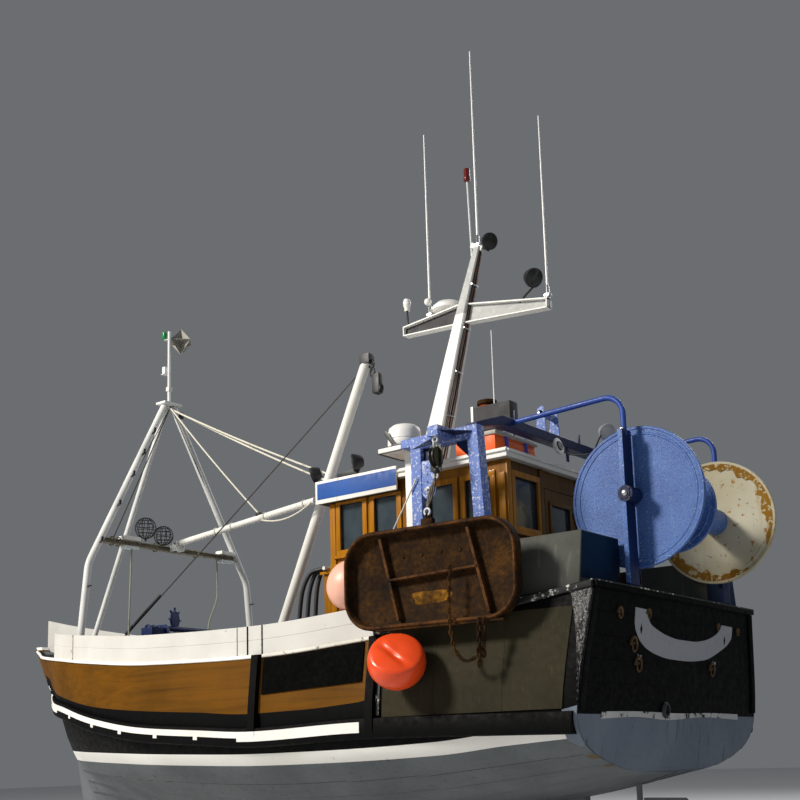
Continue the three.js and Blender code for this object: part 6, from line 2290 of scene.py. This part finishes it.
    def rigging(self) -> None:
        """Stretches the stays, halyards and hanging lines."""
        shape = Shape()
        apex = Vector((7.05, 0.0, 4.59))
        masthead = Vector((3.69, 0.0, 4.40))
        for y, end in ((0.02, (4.24, 0.02, 3.18)), (-0.03, (4.27, -0.02, 3.10))):
            shape.tube(sagging(apex + Vector((0, y, -0.04)), end, 0.03), 0.012, ROPE_FIBRE, 10)
        deck = Hull().deck
        stay = [masthead, Vector((7.96, 0.892, deck(7.96)))]
        shape.tube(sagging(stay[0], stay[1], 0.02), 0.008, WIRE, 8)
        shape.tube([stay[0].lerp(stay[1], 0.669), stay[0].lerp(stay[1], 0.791)], 0.021, DARK_CASTING, 12)
        shape.box((7.0, -0.19, 4.44), (7.06, -0.13, 4.53), DARK_CASTING, 0.012)
        for y in (1.34, -1.34):
            shape.tube(sagging(apex, (7.0, y, 2.36), 0.01), 0.005, WIRE, 6)
        shape.tube(sagging(apex, (7.0, 0.98, 2.66), 0.01), 0.007, ROPE_OLD, 8)
        hung = (((6.98, 0.70, 2.60), (6.97, 0.73, 1.90), (6.98, 0.76, deck(6.98))),
            ((6.98, -0.77, 2.60), (6.95, -0.75, 2.11), (6.90, -0.54, 1.65), (6.85, -0.45, deck(6.85))))
        for line in hung:
            shape.tube(smooth_path(line, 20), 0.011, ROPE_GREY, 8)
        for x, y in ((7.96, 0.892), (6.98, 0.76), (6.85, -0.45)):
            shape.ring((x, y, deck(x) + 0.02), PORT, 0.022, 0.006, GALVANISED, 16)
        shape.piece("standing_rigging", slot="galvanised_steel")

    def build(self) -> None:
        """Builds every piece of the bow gear."""
        for part in (self.frame, self.strut, self.pole, self.lamps, self.raked_mast, self.boom, self.rigging):
            part()


# Winch and underwater gear

@dataclass
class Winch:
    """The deck winch: bed, cheeks and tie on the boat, and the drums that turn."""

    x: float = 6.5
    z: float = 1.12
    cheek_y: float = 0.62
    flange: float = 0.33
    head: float = 0.105
    deck: tuple[Pair, Pair] = ((6.2, 0.4658), (6.8, 0.5528))

    def frame(self) -> None:
        """Builds the bed with its feet, the two cheeks, the tie bar, bearings, gear guard and motor."""
        shape = Shape()
        for y in (-0.62, 0.62):
            low, high = y - 0.058, y + 0.058
            shape.loft([[(x, low, z), (x, high, z), (x, high, 0.60), (x, low, 0.60)] for x, z in self.deck],
                NAVY_ENAMEL)
        shape.box((6.205, -0.679, 0.5995), (6.795, 0.679, 0.659), NAVY_ENAMEL, 0.01)
        side = [(-0.22, 0), (0.22, 0), (0.22, 0.30), (0.13, 0.84), (0.09, 0.905), (-0.09, 0.905),
            (-0.13, 0.84), (-0.22, 0.30)]
        for y in (-self.cheek_y, self.cheek_y):
            shape.plate(side, (self.x, y + 0.015, 0.6585), AHEAD, UP, 0.03, NAVY_ENAMEL, 0.008)
            for x in (-0.2, 0.2):
                shape.bar((self.x + x, y, 0.66), (self.x + x, y, 0.98), 0.06, 0.012, NAVY_ENAMEL)
            for out in (1, -1):
                shape.lathe([(0, 0), (0.085, 0), (0.08, 0.012), (0.06, 0.02), (0.0365, 0.022), (0, 0.022)],
                    (self.x, y + out * 0.0145, self.z), (0, out, 0), DARK_CASTING, 28)
            for turn in range(0, 360, 60):
                t = math.radians(turn)
                bolt = (self.x + 0.068 * math.cos(t), y + math.copysign(0.026, y),
                    self.z + 0.068 * math.sin(t))
                shape.rod(0.009, 0.01, bolt, (0, math.copysign(1, y), 0), STAINLESS, 6)
        shape.tube([(self.x, -self.cheek_y, 1.525), (self.x, self.cheek_y, 1.525)], 0.033, NAVY_ENAMEL, 20)
        shape.box((6.56, -0.50, 0.66), (6.76, -0.22, 0.80), NAVY_ENAMEL, 0.012)
        shape.tube([(6.66, -0.22, 0.74), (6.66, -0.08, 0.74)], 0.055, DARK_CASTING, 20)
        shape.tube(smooth_path([(6.70, -0.10, 0.76), (6.76, 0.05, 0.82), (6.77, 0.25, 0.76),
            (6.76, 0.42, 0.672)], 20), 0.014, BLACK_RUBBER, 10)
        wheel = Vector((self.x, 0.41, 1.64))
        shape.ring(wheel, (1, 0.35, 0), 0.10, 0.014, NAVY_ENAMEL, 32)
        shape.lathe([(0, 0), (0.085, 0), (0.085, 0.012), (0, 0.02)], wheel, (-1, -0.35, 0), NAVY_ENAMEL, 32)
        across = Vector((-0.35, 1, 0)).normalized()
        for turn in range(0, 180, 45):
            t = math.radians(turn)
            arm = (across * math.cos(t) + Vector((0, 0, math.sin(t)))) * 0.155
            shape.bar(wheel - arm, wheel + arm, 0.022, 0.016, NAVY_ENAMEL)
        shape.tube([wheel, wheel + Vector((0.03, 0.0, -0.12))], 0.016, NAVY_ENAMEL, 12)
        for y in (0.80, 0.88, 0.96):
            shape.ring((6.5, y - 0.12, 1.50), PORT, 0.045, 0.014, NAVY_ENAMEL, 24)
        shape.box((6.40, 0.60, 1.40), (6.60, 0.86, 1.52), NAVY_ENAMEL, 0.015)
        for y in (0.30, 0.42):
            shape.bar((6.36, y, 0.66), (6.24, y, 1.02), 0.02, 0.02, STAINLESS)
            shape.ball((6.24, y, 1.02), 0.026, BLACK_RUBBER, 14)
        shape.piece("winch_bed", slot="dark_blue_paint", replaces=["winch_frame"])

    def drums(self) -> None:
        """Builds the shaft, the flanges, the wire wound between them and the whipping heads."""
        shape = Shape()
        shape.lathe([(0, 0), (0.033, 0), (0.034, 0.004), (0.034, 1.796), (0.033, 1.80), (0, 1.80)],
            (self.x, -0.90, self.z), PORT, STAINLESS, 28)
        r = self.flange
        rim = [(0, 0), (r - 0.02, 0), (r - 0.012, -0.004), (r, 0.002), (r, 0.018), (r - 0.012, 0.024),
            (r - 0.02, 0.02), (0, 0.02)]
        for y in (-0.559, -0.01, 0.539):
            shape.lathe(rim, (self.x, y, self.z), PORT, NAVY_ENAMEL, 56)
            for turn in range(0, 360, 45):
                t = math.radians(turn)
                for face in (-0.003, 0.0195):
                    shape.bar((self.x + 0.13 * math.cos(t), y + face, self.z + 0.13 * math.sin(t)),
                        (self.x + 0.30 * math.cos(t), y + face, self.z + 0.30 * math.sin(t)), 0.012, 0.012,
                        NAVY_ENAMEL)
        for low, high in ((-0.5385, -0.0105), (0.0105, 0.5385)):
            profile = [(0, 0), (0.17, 0)]
            count = 34
            for turn in range(count):
                along = (high - low) * (turn + 0.5) / count
                profile += [(0.205, along - 0.006), (0.212, along - 0.003), (0.212, along + 0.003),
                    (0.205, along + 0.006)]
            shape.lathe([*profile, (0.17, high - low), (0, high - low)], (self.x, low, self.z), PORT, WIRE,
                48)
        for out in (1, -1):
            h = self.head
            profile = [(0, 0), (h, 0.0), (h, 0.012), (h * 0.74, 0.04), (h * 0.66, 0.10), (h * 0.72, 0.15),
                (h, 0.185), (h, 0.198), (h * 0.8, 0.205), (0.05, 0.198), (0.05, 0.208), (0, 0.208)]
            shape.lathe(profile, (self.x, out * 0.692, self.z), (0, out, 0), GALVANISED, 40)
        shape.piece("winch_wire_drums", "winch", "dark_blue_paint", ["winch_drums"])

    def build(self) -> None:
        """Builds the winch."""
        self.frame()
        self.drums()


@dataclass
class UnderwaterGear:
    """The bronze propeller with its shaft, the rudder's plating, and the zinc anodes."""

    hub: Pair = (0.78, 0.95)
    hub_radius: float = 0.07
    shaft_radius: float = 0.03
    shaft_fore: float = 1.28
    z: float = -0.95
    tip: float = 0.329
    blades: int = 4

    def blade(self, turn: float) -> list[list[Vector]]:
        """Gives the rings of one blade.

        Args:
            turn: Its angle about the shaft, in radians.

        Returns:
            Rings from root to tip.
        """
        middle = (self.hub[0] + self.hub[1]) / 2
        rings = []
        for step in range(15):
            share = step / 14
            radius = 0.05 + (self.tip - 0.05) * share
            chord = 0.085 + 0.125 * math.sin(math.pi * min(1.0, share * 0.92 + 0.05)) * (1 - 0.25 * share)
            chord *= math.sqrt(max(0.0, 1 - ((share - 0.72) / 0.2801) ** 2)) if share > 0.72 else 1.0
            chord = max(chord, 0.012)
            pitch = math.atan2(0.42, 2 * math.pi * max(radius, 0.06))
            thick = 0.020 - 0.015 * share
            ring = []
            for k in range(20):
                a = 2 * math.pi * k / 20
                along, off = chord / 2 * math.cos(a), thick / 2 * math.sin(a) + 0.012 * math.cos(a) ** 2 * (1
                    - share)
                around = (along * math.cos(pitch) - off * math.sin(pitch)) / radius
                ahead = along * math.sin(pitch) + off * math.cos(pitch)
                ring.append(Vector((middle + max(-0.083, min(0.083, ahead)), radius * math.sin(turn + around),
                    self.z + radius * math.cos(turn + around))))
            rings.append(ring)
        return rings

    def propeller(self) -> None:
        """Builds the blades, the boss with its nut, and the tail shaft."""
        shape = Shape()
        for number in range(self.blades):
            shape.loft(self.blade(2 * math.pi * number / self.blades), BRONZE)
        aft, fore = self.hub
        r = self.hub_radius
        shape.lathe([(0, 0), (0.018, 0.0), (0.03, 0.012), (0.045, 0.03), (0.058, 0.034), (r - 0.004, 0.05),
            (r, 0.085), (r - 0.002, fore - aft - 0.01), (r - 0.008, fore - aft), (0, fore - aft)],
            (aft, 0, self.z), AHEAD, BRONZE, 40)
        shape.tube([(fore - 0.02, 0, self.z), (self.shaft_fore, 0, self.z)], self.shaft_radius, STAINLESS, 24)
        shape.piece("propeller_bronze", "screw", "bronze", ["propeller"], sharp=50)

    def rudder(self) -> None:
        """Builds the rudder: faired blade, stiffening straps and round stock."""
        shape = Shape()
        line = [(-0.0399, -1.33), (-0.0399, -1.0), (-0.0399, -0.606), (0.03, -0.5455)]
        rings = []
        for z in np.linspace(-1.3645, -0.5455, 12):
            if z < -1.33:
                aft = 0.45 - 0.489 * (z + 1.3645) / 0.0345 if z > -1.3645 else 0.30
            else:
                aft = float(np.interp(z, [q[1] for q in line], [q[0] for q in line]))
            ring = [(aft + (0.45 - aft) * along, half, z) for along, half in ((1.0, 0.0215), (0.9, 0.0215),
                (0.45, 0.018), (0.12, 0.010), (0.0, 0.003))]
            rings.append(ring + [(x, -y, q) for x, y, q in reversed(ring)])
        shape.loft(rings, ANTIFOULING)
        shape.tube([(0.5, 0, -1.3944), (0.5, 0, -0.301)], 0.0278, ANTIFOULING, 28)
        for z in (-1.24, -0.96, -0.68):
            shape.box((0.06, -0.0295, z - 0.03), (0.505, 0.0295, z + 0.03), ANTIFOULING, 0.006)
            for x in (0.12, 0.22, 0.32, 0.42):
                for side in (1, -1):
                    rivet = [(0, 0), (0.011, 0), (0.009, 0.006), (0, 0.006)]
                    shape.lathe(rivet, (x, side * 0.029, z), (0, side, 0), ANTIFOULING, 12)
        shape.piece("rudder_plating", "rudder", "grey_antifouling", ["rudder"])

    def anodes(self) -> None:
        """Builds the zinc anodes and the bearing plates on the deadwood."""
        shape = Shape()
        for y in (0.0605, -0.0605):
            for x in (1.75, 2.15):
                low, high = sorted((y, y + math.copysign(0.03, y)))
                shape.box((x, low, -0.98), (x + 0.26, high, -0.91), GALVANISED, 0.012)
        shape.lathe([(0, 0), (0.082, 0), (0.078, 0.03), (0.05, 0.035), (0.0312, 0.035), (0.0312, 0.02),
            (0, 0.02)], (1.031, 0, self.z), ASTERN, BRONZE, 32)
        shape.piece("anodes_and_bearing", slot="bronze")

    def build(self) -> None:
        """Builds what is under water."""
        self.propeller()
        self.rudder()
        self.anodes()


# Trawl doors and fenders

@dataclass
class TrawlDoors:
    """The rusty oval trawl doors with their ribs and chains."""

    x: float = 1.40
    y: float = 1.965
    z: float = 1.47
    length: float = 1.80
    height: float = 0.90
    corner: float = 0.30
    tilt: float = 4.0

    def outline(self, inset: float, steps: int = 12) -> list[Pair]:
        """Gives the rounded outline, drawn in by an inset.

        Args:
            inset: How far it's drawn in.
            steps: Number of stretches in each corner.

        Returns:
            Pairs of (along, up) from the door's middle.
        """
        a, b, r = self.length / 2 - inset, self.height / 2 - inset, self.corner - inset
        points = []
        for cx, cz, start in ((a - r, -b + r, -90), (a - r, b - r, 0), (-a + r, b - r, 90),
                (-a + r, -b + r, 180)):
            for i in range(steps + 1):
                t = math.radians(start + 90 * i / steps)
                points.append((cx + r * math.cos(t), cz + r * math.sin(t)))
        return points

    def door(self, port: bool) -> None:
        """Builds one door: dished plate with a rolled rim, slanted ribs, bar, eye and shoe.

        Args:
            port: Whether it is the port one.
        """
        shape = Shape()
        rings = []
        for inset, depth in ((0.0, 0.012), (0.0, 0.10), (0.012, 0.112), (0.03, 0.108), (0.042, 0.092),
                (0.05, 0.03), (0.075, 0.016)):
            rings.append([(u, depth, v) for u, v in self.outline(inset)])
        back = [[(u, 0.0, v) for u, v in self.outline(0.012)]]
        shape.loft(back + rings, RUST)
        half = self.height / 2
        for top, low in ((0.51, 0.33), (-0.41, -0.60)):
            shape.bar((top, 0.045, half - 0.07), (low, 0.045, -half + 0.07), 0.07, 0.028, RUST_RIM)
        shape.bar((-0.50, 0.05, 0.03), (0.44, 0.05, -0.01), 0.075, 0.02, RUST_RIM)
        closed_tube(shape, [Vector((u, 0.106, v)) for u, v in self.outline(0.022)], 0.016, RUST_RIM)
        blot = [(0.20 * math.cos(t) * (1 + 0.18 * math.sin(3 * t + 1)) - 0.02,
            0.075 * math.sin(t) * (1 + 0.25 * math.cos(2 * t)) - 0.19) for t in (2 * math.pi * k / 40
            for k in range(40))]
        shape.plate(blot, (0, 0.0145, 0), ASTERN, UP, 0.0035, RUST_YELLOW, 0.0005)
        shape.box((-0.06, 0.02, half - 0.02), (0.06, 0.08, half + 0.06), RUST, 0.012)
        shape.bar((-0.75, 0.06, -half - 0.004), (0.55, 0.06, -half - 0.004), 0.09, 0.022, RUST)
        for u in (-0.3, -0.1, 0.1, 0.3):
            shape.lathe([(0, 0), (0.018, 0), (0.016, 0.012), (0, 0.012)], (u, 0.014, 0.2), PORT, RUST, 8)
        place = Matrix.Translation((self.x, self.y, self.z)) @ Matrix.Rotation(math.radians(self.tilt), 4,
            "Z")
        shape.mesh.transform(place)
        shape.side_piece("trawl_door_plate", port, "rusty_steel", "trawl_door")

    def chains(self, port: bool) -> None:
        """Builds the block with its falls, and the loops of chain over the door's face.

        Args:
            port: Whether it is the port one.
        """
        shape = Shape()
        x, y, arm = 1.37, 1.90, 2.7495
        eye = Vector((self.x, self.y + 0.05, self.z + 0.512))
        shape.ring((x, y, arm - 0.028), PORT, 0.026, 0.009, GALVANISED, 20)
        shape.ring((x, y, arm - 0.075), AHEAD, 0.026, 0.009, GALVANISED, 20)
        for side in (-0.037, 0.022):
            shape.lathe([(0, 0), (0.088, 0), (0.094, 0.004), (0.07, 0.015), (0, 0.008)],
                (x + side, y, arm - 0.19), (1, 0.15, 0), BLOCK_OLIVE, 32)
        shape.lathe([(0, 0), (0.085, 0), (0.085, 0.010), (0.066, 0.024), (0.085, 0.038), (0.085, 0.048),
            (0, 0.048)], (x - 0.024, y, arm - 0.19), AHEAD, DARK_CASTING, 32)
        for side in (-0.042, 0.038):
            shape.bar((x + side, y, arm - 0.085), (x + side, y, arm - 0.32), 0.008, 0.045, DARK_CASTING)
        shape.ball((x, y, arm - 0.32), 0.034, DARK_CASTING, 16)
        shape.ring((x + 0.004, y + 0.004, arm - 0.365), PORT, 0.024, 0.009, GALVANISED, 20)
        start = Vector((x + 0.006, y + 0.008, arm - 0.385))
        foot = eye + Vector((0, 0, 0.085))
        for lean in (-0.022, 0.0, 0.024):
            path = [start.lerp(foot, t / 14) + Vector((lean * math.sin(math.pi * t / 14),
                0.004 * math.sin(t * 1.7), 0)) for t in range(15)]
            shape.tube(path, 0.0095 if lean else 0.012, ROPE_OLD if lean > 0 else WIRE, 10)
        shape.ring(eye + Vector((0, 0, 0.06)), PORT, 0.03, 0.010, GALVANISED, 20)
        shape.ring(eye + Vector((0, 0, 0.018)), AHEAD, 0.02, 0.010, RUST, 20)
        shape.side_piece("door_block_and_falls", port, "rusty_steel", "door_chain")
        loops = Shape()
        face = self.y + 0.125
        chain(loops, smooth_path([(1.12, face, 1.52), (1.14, face + 0.01, 1.1), (1.1, face + 0.01, 0.8),
            (0.98, face, 0.68), (0.86, face, 0.74), (0.85, face, 1.02)], 60), 0.009, RUST)
        chain(loops, [(0.84, face - 0.01, 1.04), (0.86, face - 0.01, 0.62)], 0.011, RUST)
        chain(loops, [(0.80, face - 0.03, 1.04), (0.83, face - 0.03, 0.70)], 0.011, RUST)
        loops.side_piece("door_chain_loops", port, "rusty_steel")

    def build(self) -> None:
        """Builds both doors and their chains."""
        for port in (True, False):
            self.door(port)
            self.chains(port)


@dataclass
class Fenders:
    """The dented orange buoy on the side and the pink one on the rail."""

    orange: Pair = (1.66, 0.72)
    orange_radius: float = 0.262
    pink: tuple[float, float, float] = (2.50, 1.75, 1.512)
    pink_radius: float = 0.255

    def buoy(self, name: str, centre: Point, radius: float, dent: Vector | None, finish: Finish, slot: str,
            node: str) -> None:
        """Builds one inflated buoy.

        Args:
            name: Name of the piece.
            centre: Its centre.
            radius: Its radius.
            dent: Direction of a dent, or None.
            finish: Its finish.
            slot: Passed on to piece, which does not use it.
            node: CAD node that it stands for.
        """
        shape = Shape()
        ball = bmesh.new()
        bmesh.ops.create_uvsphere(ball, u_segments=64, v_segments=40, radius=radius)
        for vert in ball.verts:
            out = vert.co.normalized()
            if dent is not None:
                near = out.dot(dent.normalized())
                hollow = max(0.0, near - 0.42) / 0.58
                crease = math.exp(-(out.dot(Vector((0.45, 0.55, -0.70)).normalized()) ** 2) / 0.03)
                vert.co -= out * radius * (0.52 * hollow**0.8 + 0.10 * crease * min(1.0, hollow * 3))
            vert.co.z -= 0.02 * radius * math.cos(out.z * 3)
        ball.transform(Matrix.Translation(centre))
        shape.take(ball, finish)
        shape.piece(name, slot=slot, replaces=[node], sharp=80)

    def build(self) -> None:
        """Builds both buoys."""
        x, z = self.orange
        centre = (x, FORM.breadth(x, z) + 0.012 + self.orange_radius + 0.0042, z)
        self.buoy("buoy_orange", centre, self.orange_radius * 0.99, Vector((-0.45, 0.62, 0.64)), ORANGE_VINYL,
            "orange_plastic", "fender_orange")
        self.buoy("buoy_pink", self.pink, self.pink_radius * 0.99, None, PINK_VINYL, "pink_plastic",
            "fender_pink")


# Studio

@dataclass
class Studio:
    """The plain pale floor, the soft lights and the camera."""

    floor_height: float = -1.462
    floor_half: float = 60.0
    focal_px: float = 1210.4
    frame_px: float = 800.0
    sensor: float = 36.0
    place: tuple[float, float, float] = (-4.835, 10.574, -0.084)
    heading: float = 52.313
    pitch: float = 8.645
    trim: float = 2.0
    shift: float = 0.18

    def camera(self) -> None:
        """Sets the camera where the photograph was taken from, low on the port quarter."""
        head, lean, trim = (math.radians(a) for a in (self.heading, self.pitch, self.trim))
        right = Vector((-math.sin(head) * math.cos(trim), -math.cos(head), -math.sin(head) * math.sin(trim)))
        ahead = Vector((math.cos(head) * math.cos(trim), -math.sin(head), math.cos(head) * math.sin(trim)))
        above = Vector((-math.sin(trim), 0, math.cos(trim)))
        forward = ahead * math.cos(lean) + above * math.sin(lean)
        up = above * math.cos(lean) - ahead * math.sin(lean)
        data = bpy.data.cameras.new("camera")
        data.sensor_width = self.sensor
        data.lens = self.sensor * self.focal_px / self.frame_px
        data.shift_y = self.shift
        data.clip_end = 300
        camera = bpy.data.objects.new("camera", data)
        bpy.context.scene.collection.objects.link(camera)
        camera.matrix_world = Matrix.Translation(self.place) @ Matrix((right, up,
            -forward)).transposed().to_4x4()
        bpy.context.scene.camera = camera

    def floor(self) -> None:
        """Lays the pale floor just under the keel."""
        half, z = self.floor_half, self.floor_height
        mesh = bpy.data.meshes.new("floor")
        mesh.from_pydata([(-half, -half, z), (half, -half, z), (half, half, z), (-half, half, z)], [],
            [(0, 1, 2, 3)])
        mesh.materials.append(Finish("studio_floor", "#d9dadb", 0.9).material())
        floor = bpy.data.objects.new("floor", mesh)
        bpy.context.scene.collection.objects.link(floor)

    def light(self, name: str, place: Point, target: Point, size: float, power: float, colour: str) -> None:
        """Hangs one soft square light that faces a target.

        Args:
            name: Its name.
            place: Where it hangs.
            target: What it faces.
            size: Its width.
            power: Its power in watts.
            colour: Its colour, sRGB hex.
        """
        data = bpy.data.lights.new(name, "AREA")
        data.size, data.energy, data.color = size, power, linear(colour)[:3]
        lamp = bpy.data.objects.new(name, data)
        lamp.location = place
        lamp.rotation_euler = (Vector(target) - Vector(place)).to_track_quat("-Z", "Y").to_euler()
        bpy.context.scene.collection.objects.link(lamp)

    def build(self) -> None:
        """Sets the camera, the floor, the sky dome and the lights."""
        self.camera()
        self.floor()
        world = bpy.data.worlds.new("studio")
        world.use_nodes = True
        tree = world.node_tree
        tree.nodes.clear()
        background = add_node(tree, "Background", {"Color": "#dfe4ea", "Strength": 0.2})
        add_node(tree, "OutputWorld", {"Surface": background})
        bpy.context.scene.world = world
        # The plain transform keeps the saturated paints, which a filmic one would grey
        bpy.context.scene.view_settings.view_transform = "Standard"
        self.light("key", (12, 18, 14), (4, 0, 1.5), 4, 6300, "#fff8ee")
        self.light("fill", (-16, 10, 9), (2, 0, 1.5), 10, 130, "#e8f0ff")
        self.light("rim", (2, -18, 14), (4, 0, 2), 9, 1500, "#ffffff")


def dress_frame() -> None:
    """Gives the CAD nodes that stay in view their finishes."""
    # The wheelhouse's aft wall and door take the darker varnish as painted shade
    finishes = {"keel": ANTIFOULING, "quarter_casing_port": CASING_GREY,
        "quarter_casing_starboard": CASING_GREY, "wheelhouse_front": HOUSE_GRAINING,
        "wheelhouse_side_port": HOUSE_GRAINING, "wheelhouse_side_starboard": HOUSE_GRAINING,
        "wheelhouse_back": HOUSE_PAINTED_SHADE, "wheelhouse_door": HOUSE_PAINTED_SHADE, "wheelhouse_roof": WHITE_ENAMEL,
        "gallows_port": BLUE_GALLOWS, "gallows_starboard": BLUE_GALLOWS, "gantry_beam": NAVY_ENAMEL}
    for node, finish in finishes.items():
        dress(node, finish)


def main() -> None:
    """Builds the studio and every part of the trawler."""
    logging.basicConfig(level=logging.INFO, format="%(name)s %(message)s")
    dress_frame()
    for part in (Studio(), Hull(), HullTrim(), Wheelhouse(), SignalMast(), RadarDome(), Gallows(), NetDrum(),
            BowGear(), Winch(), UnderwaterGear(), TrawlDoors(), Fenders()):
        part.build()
        LOG.info("%s is done", type(part).__name__)


if __name__ == "__main__":
    main()
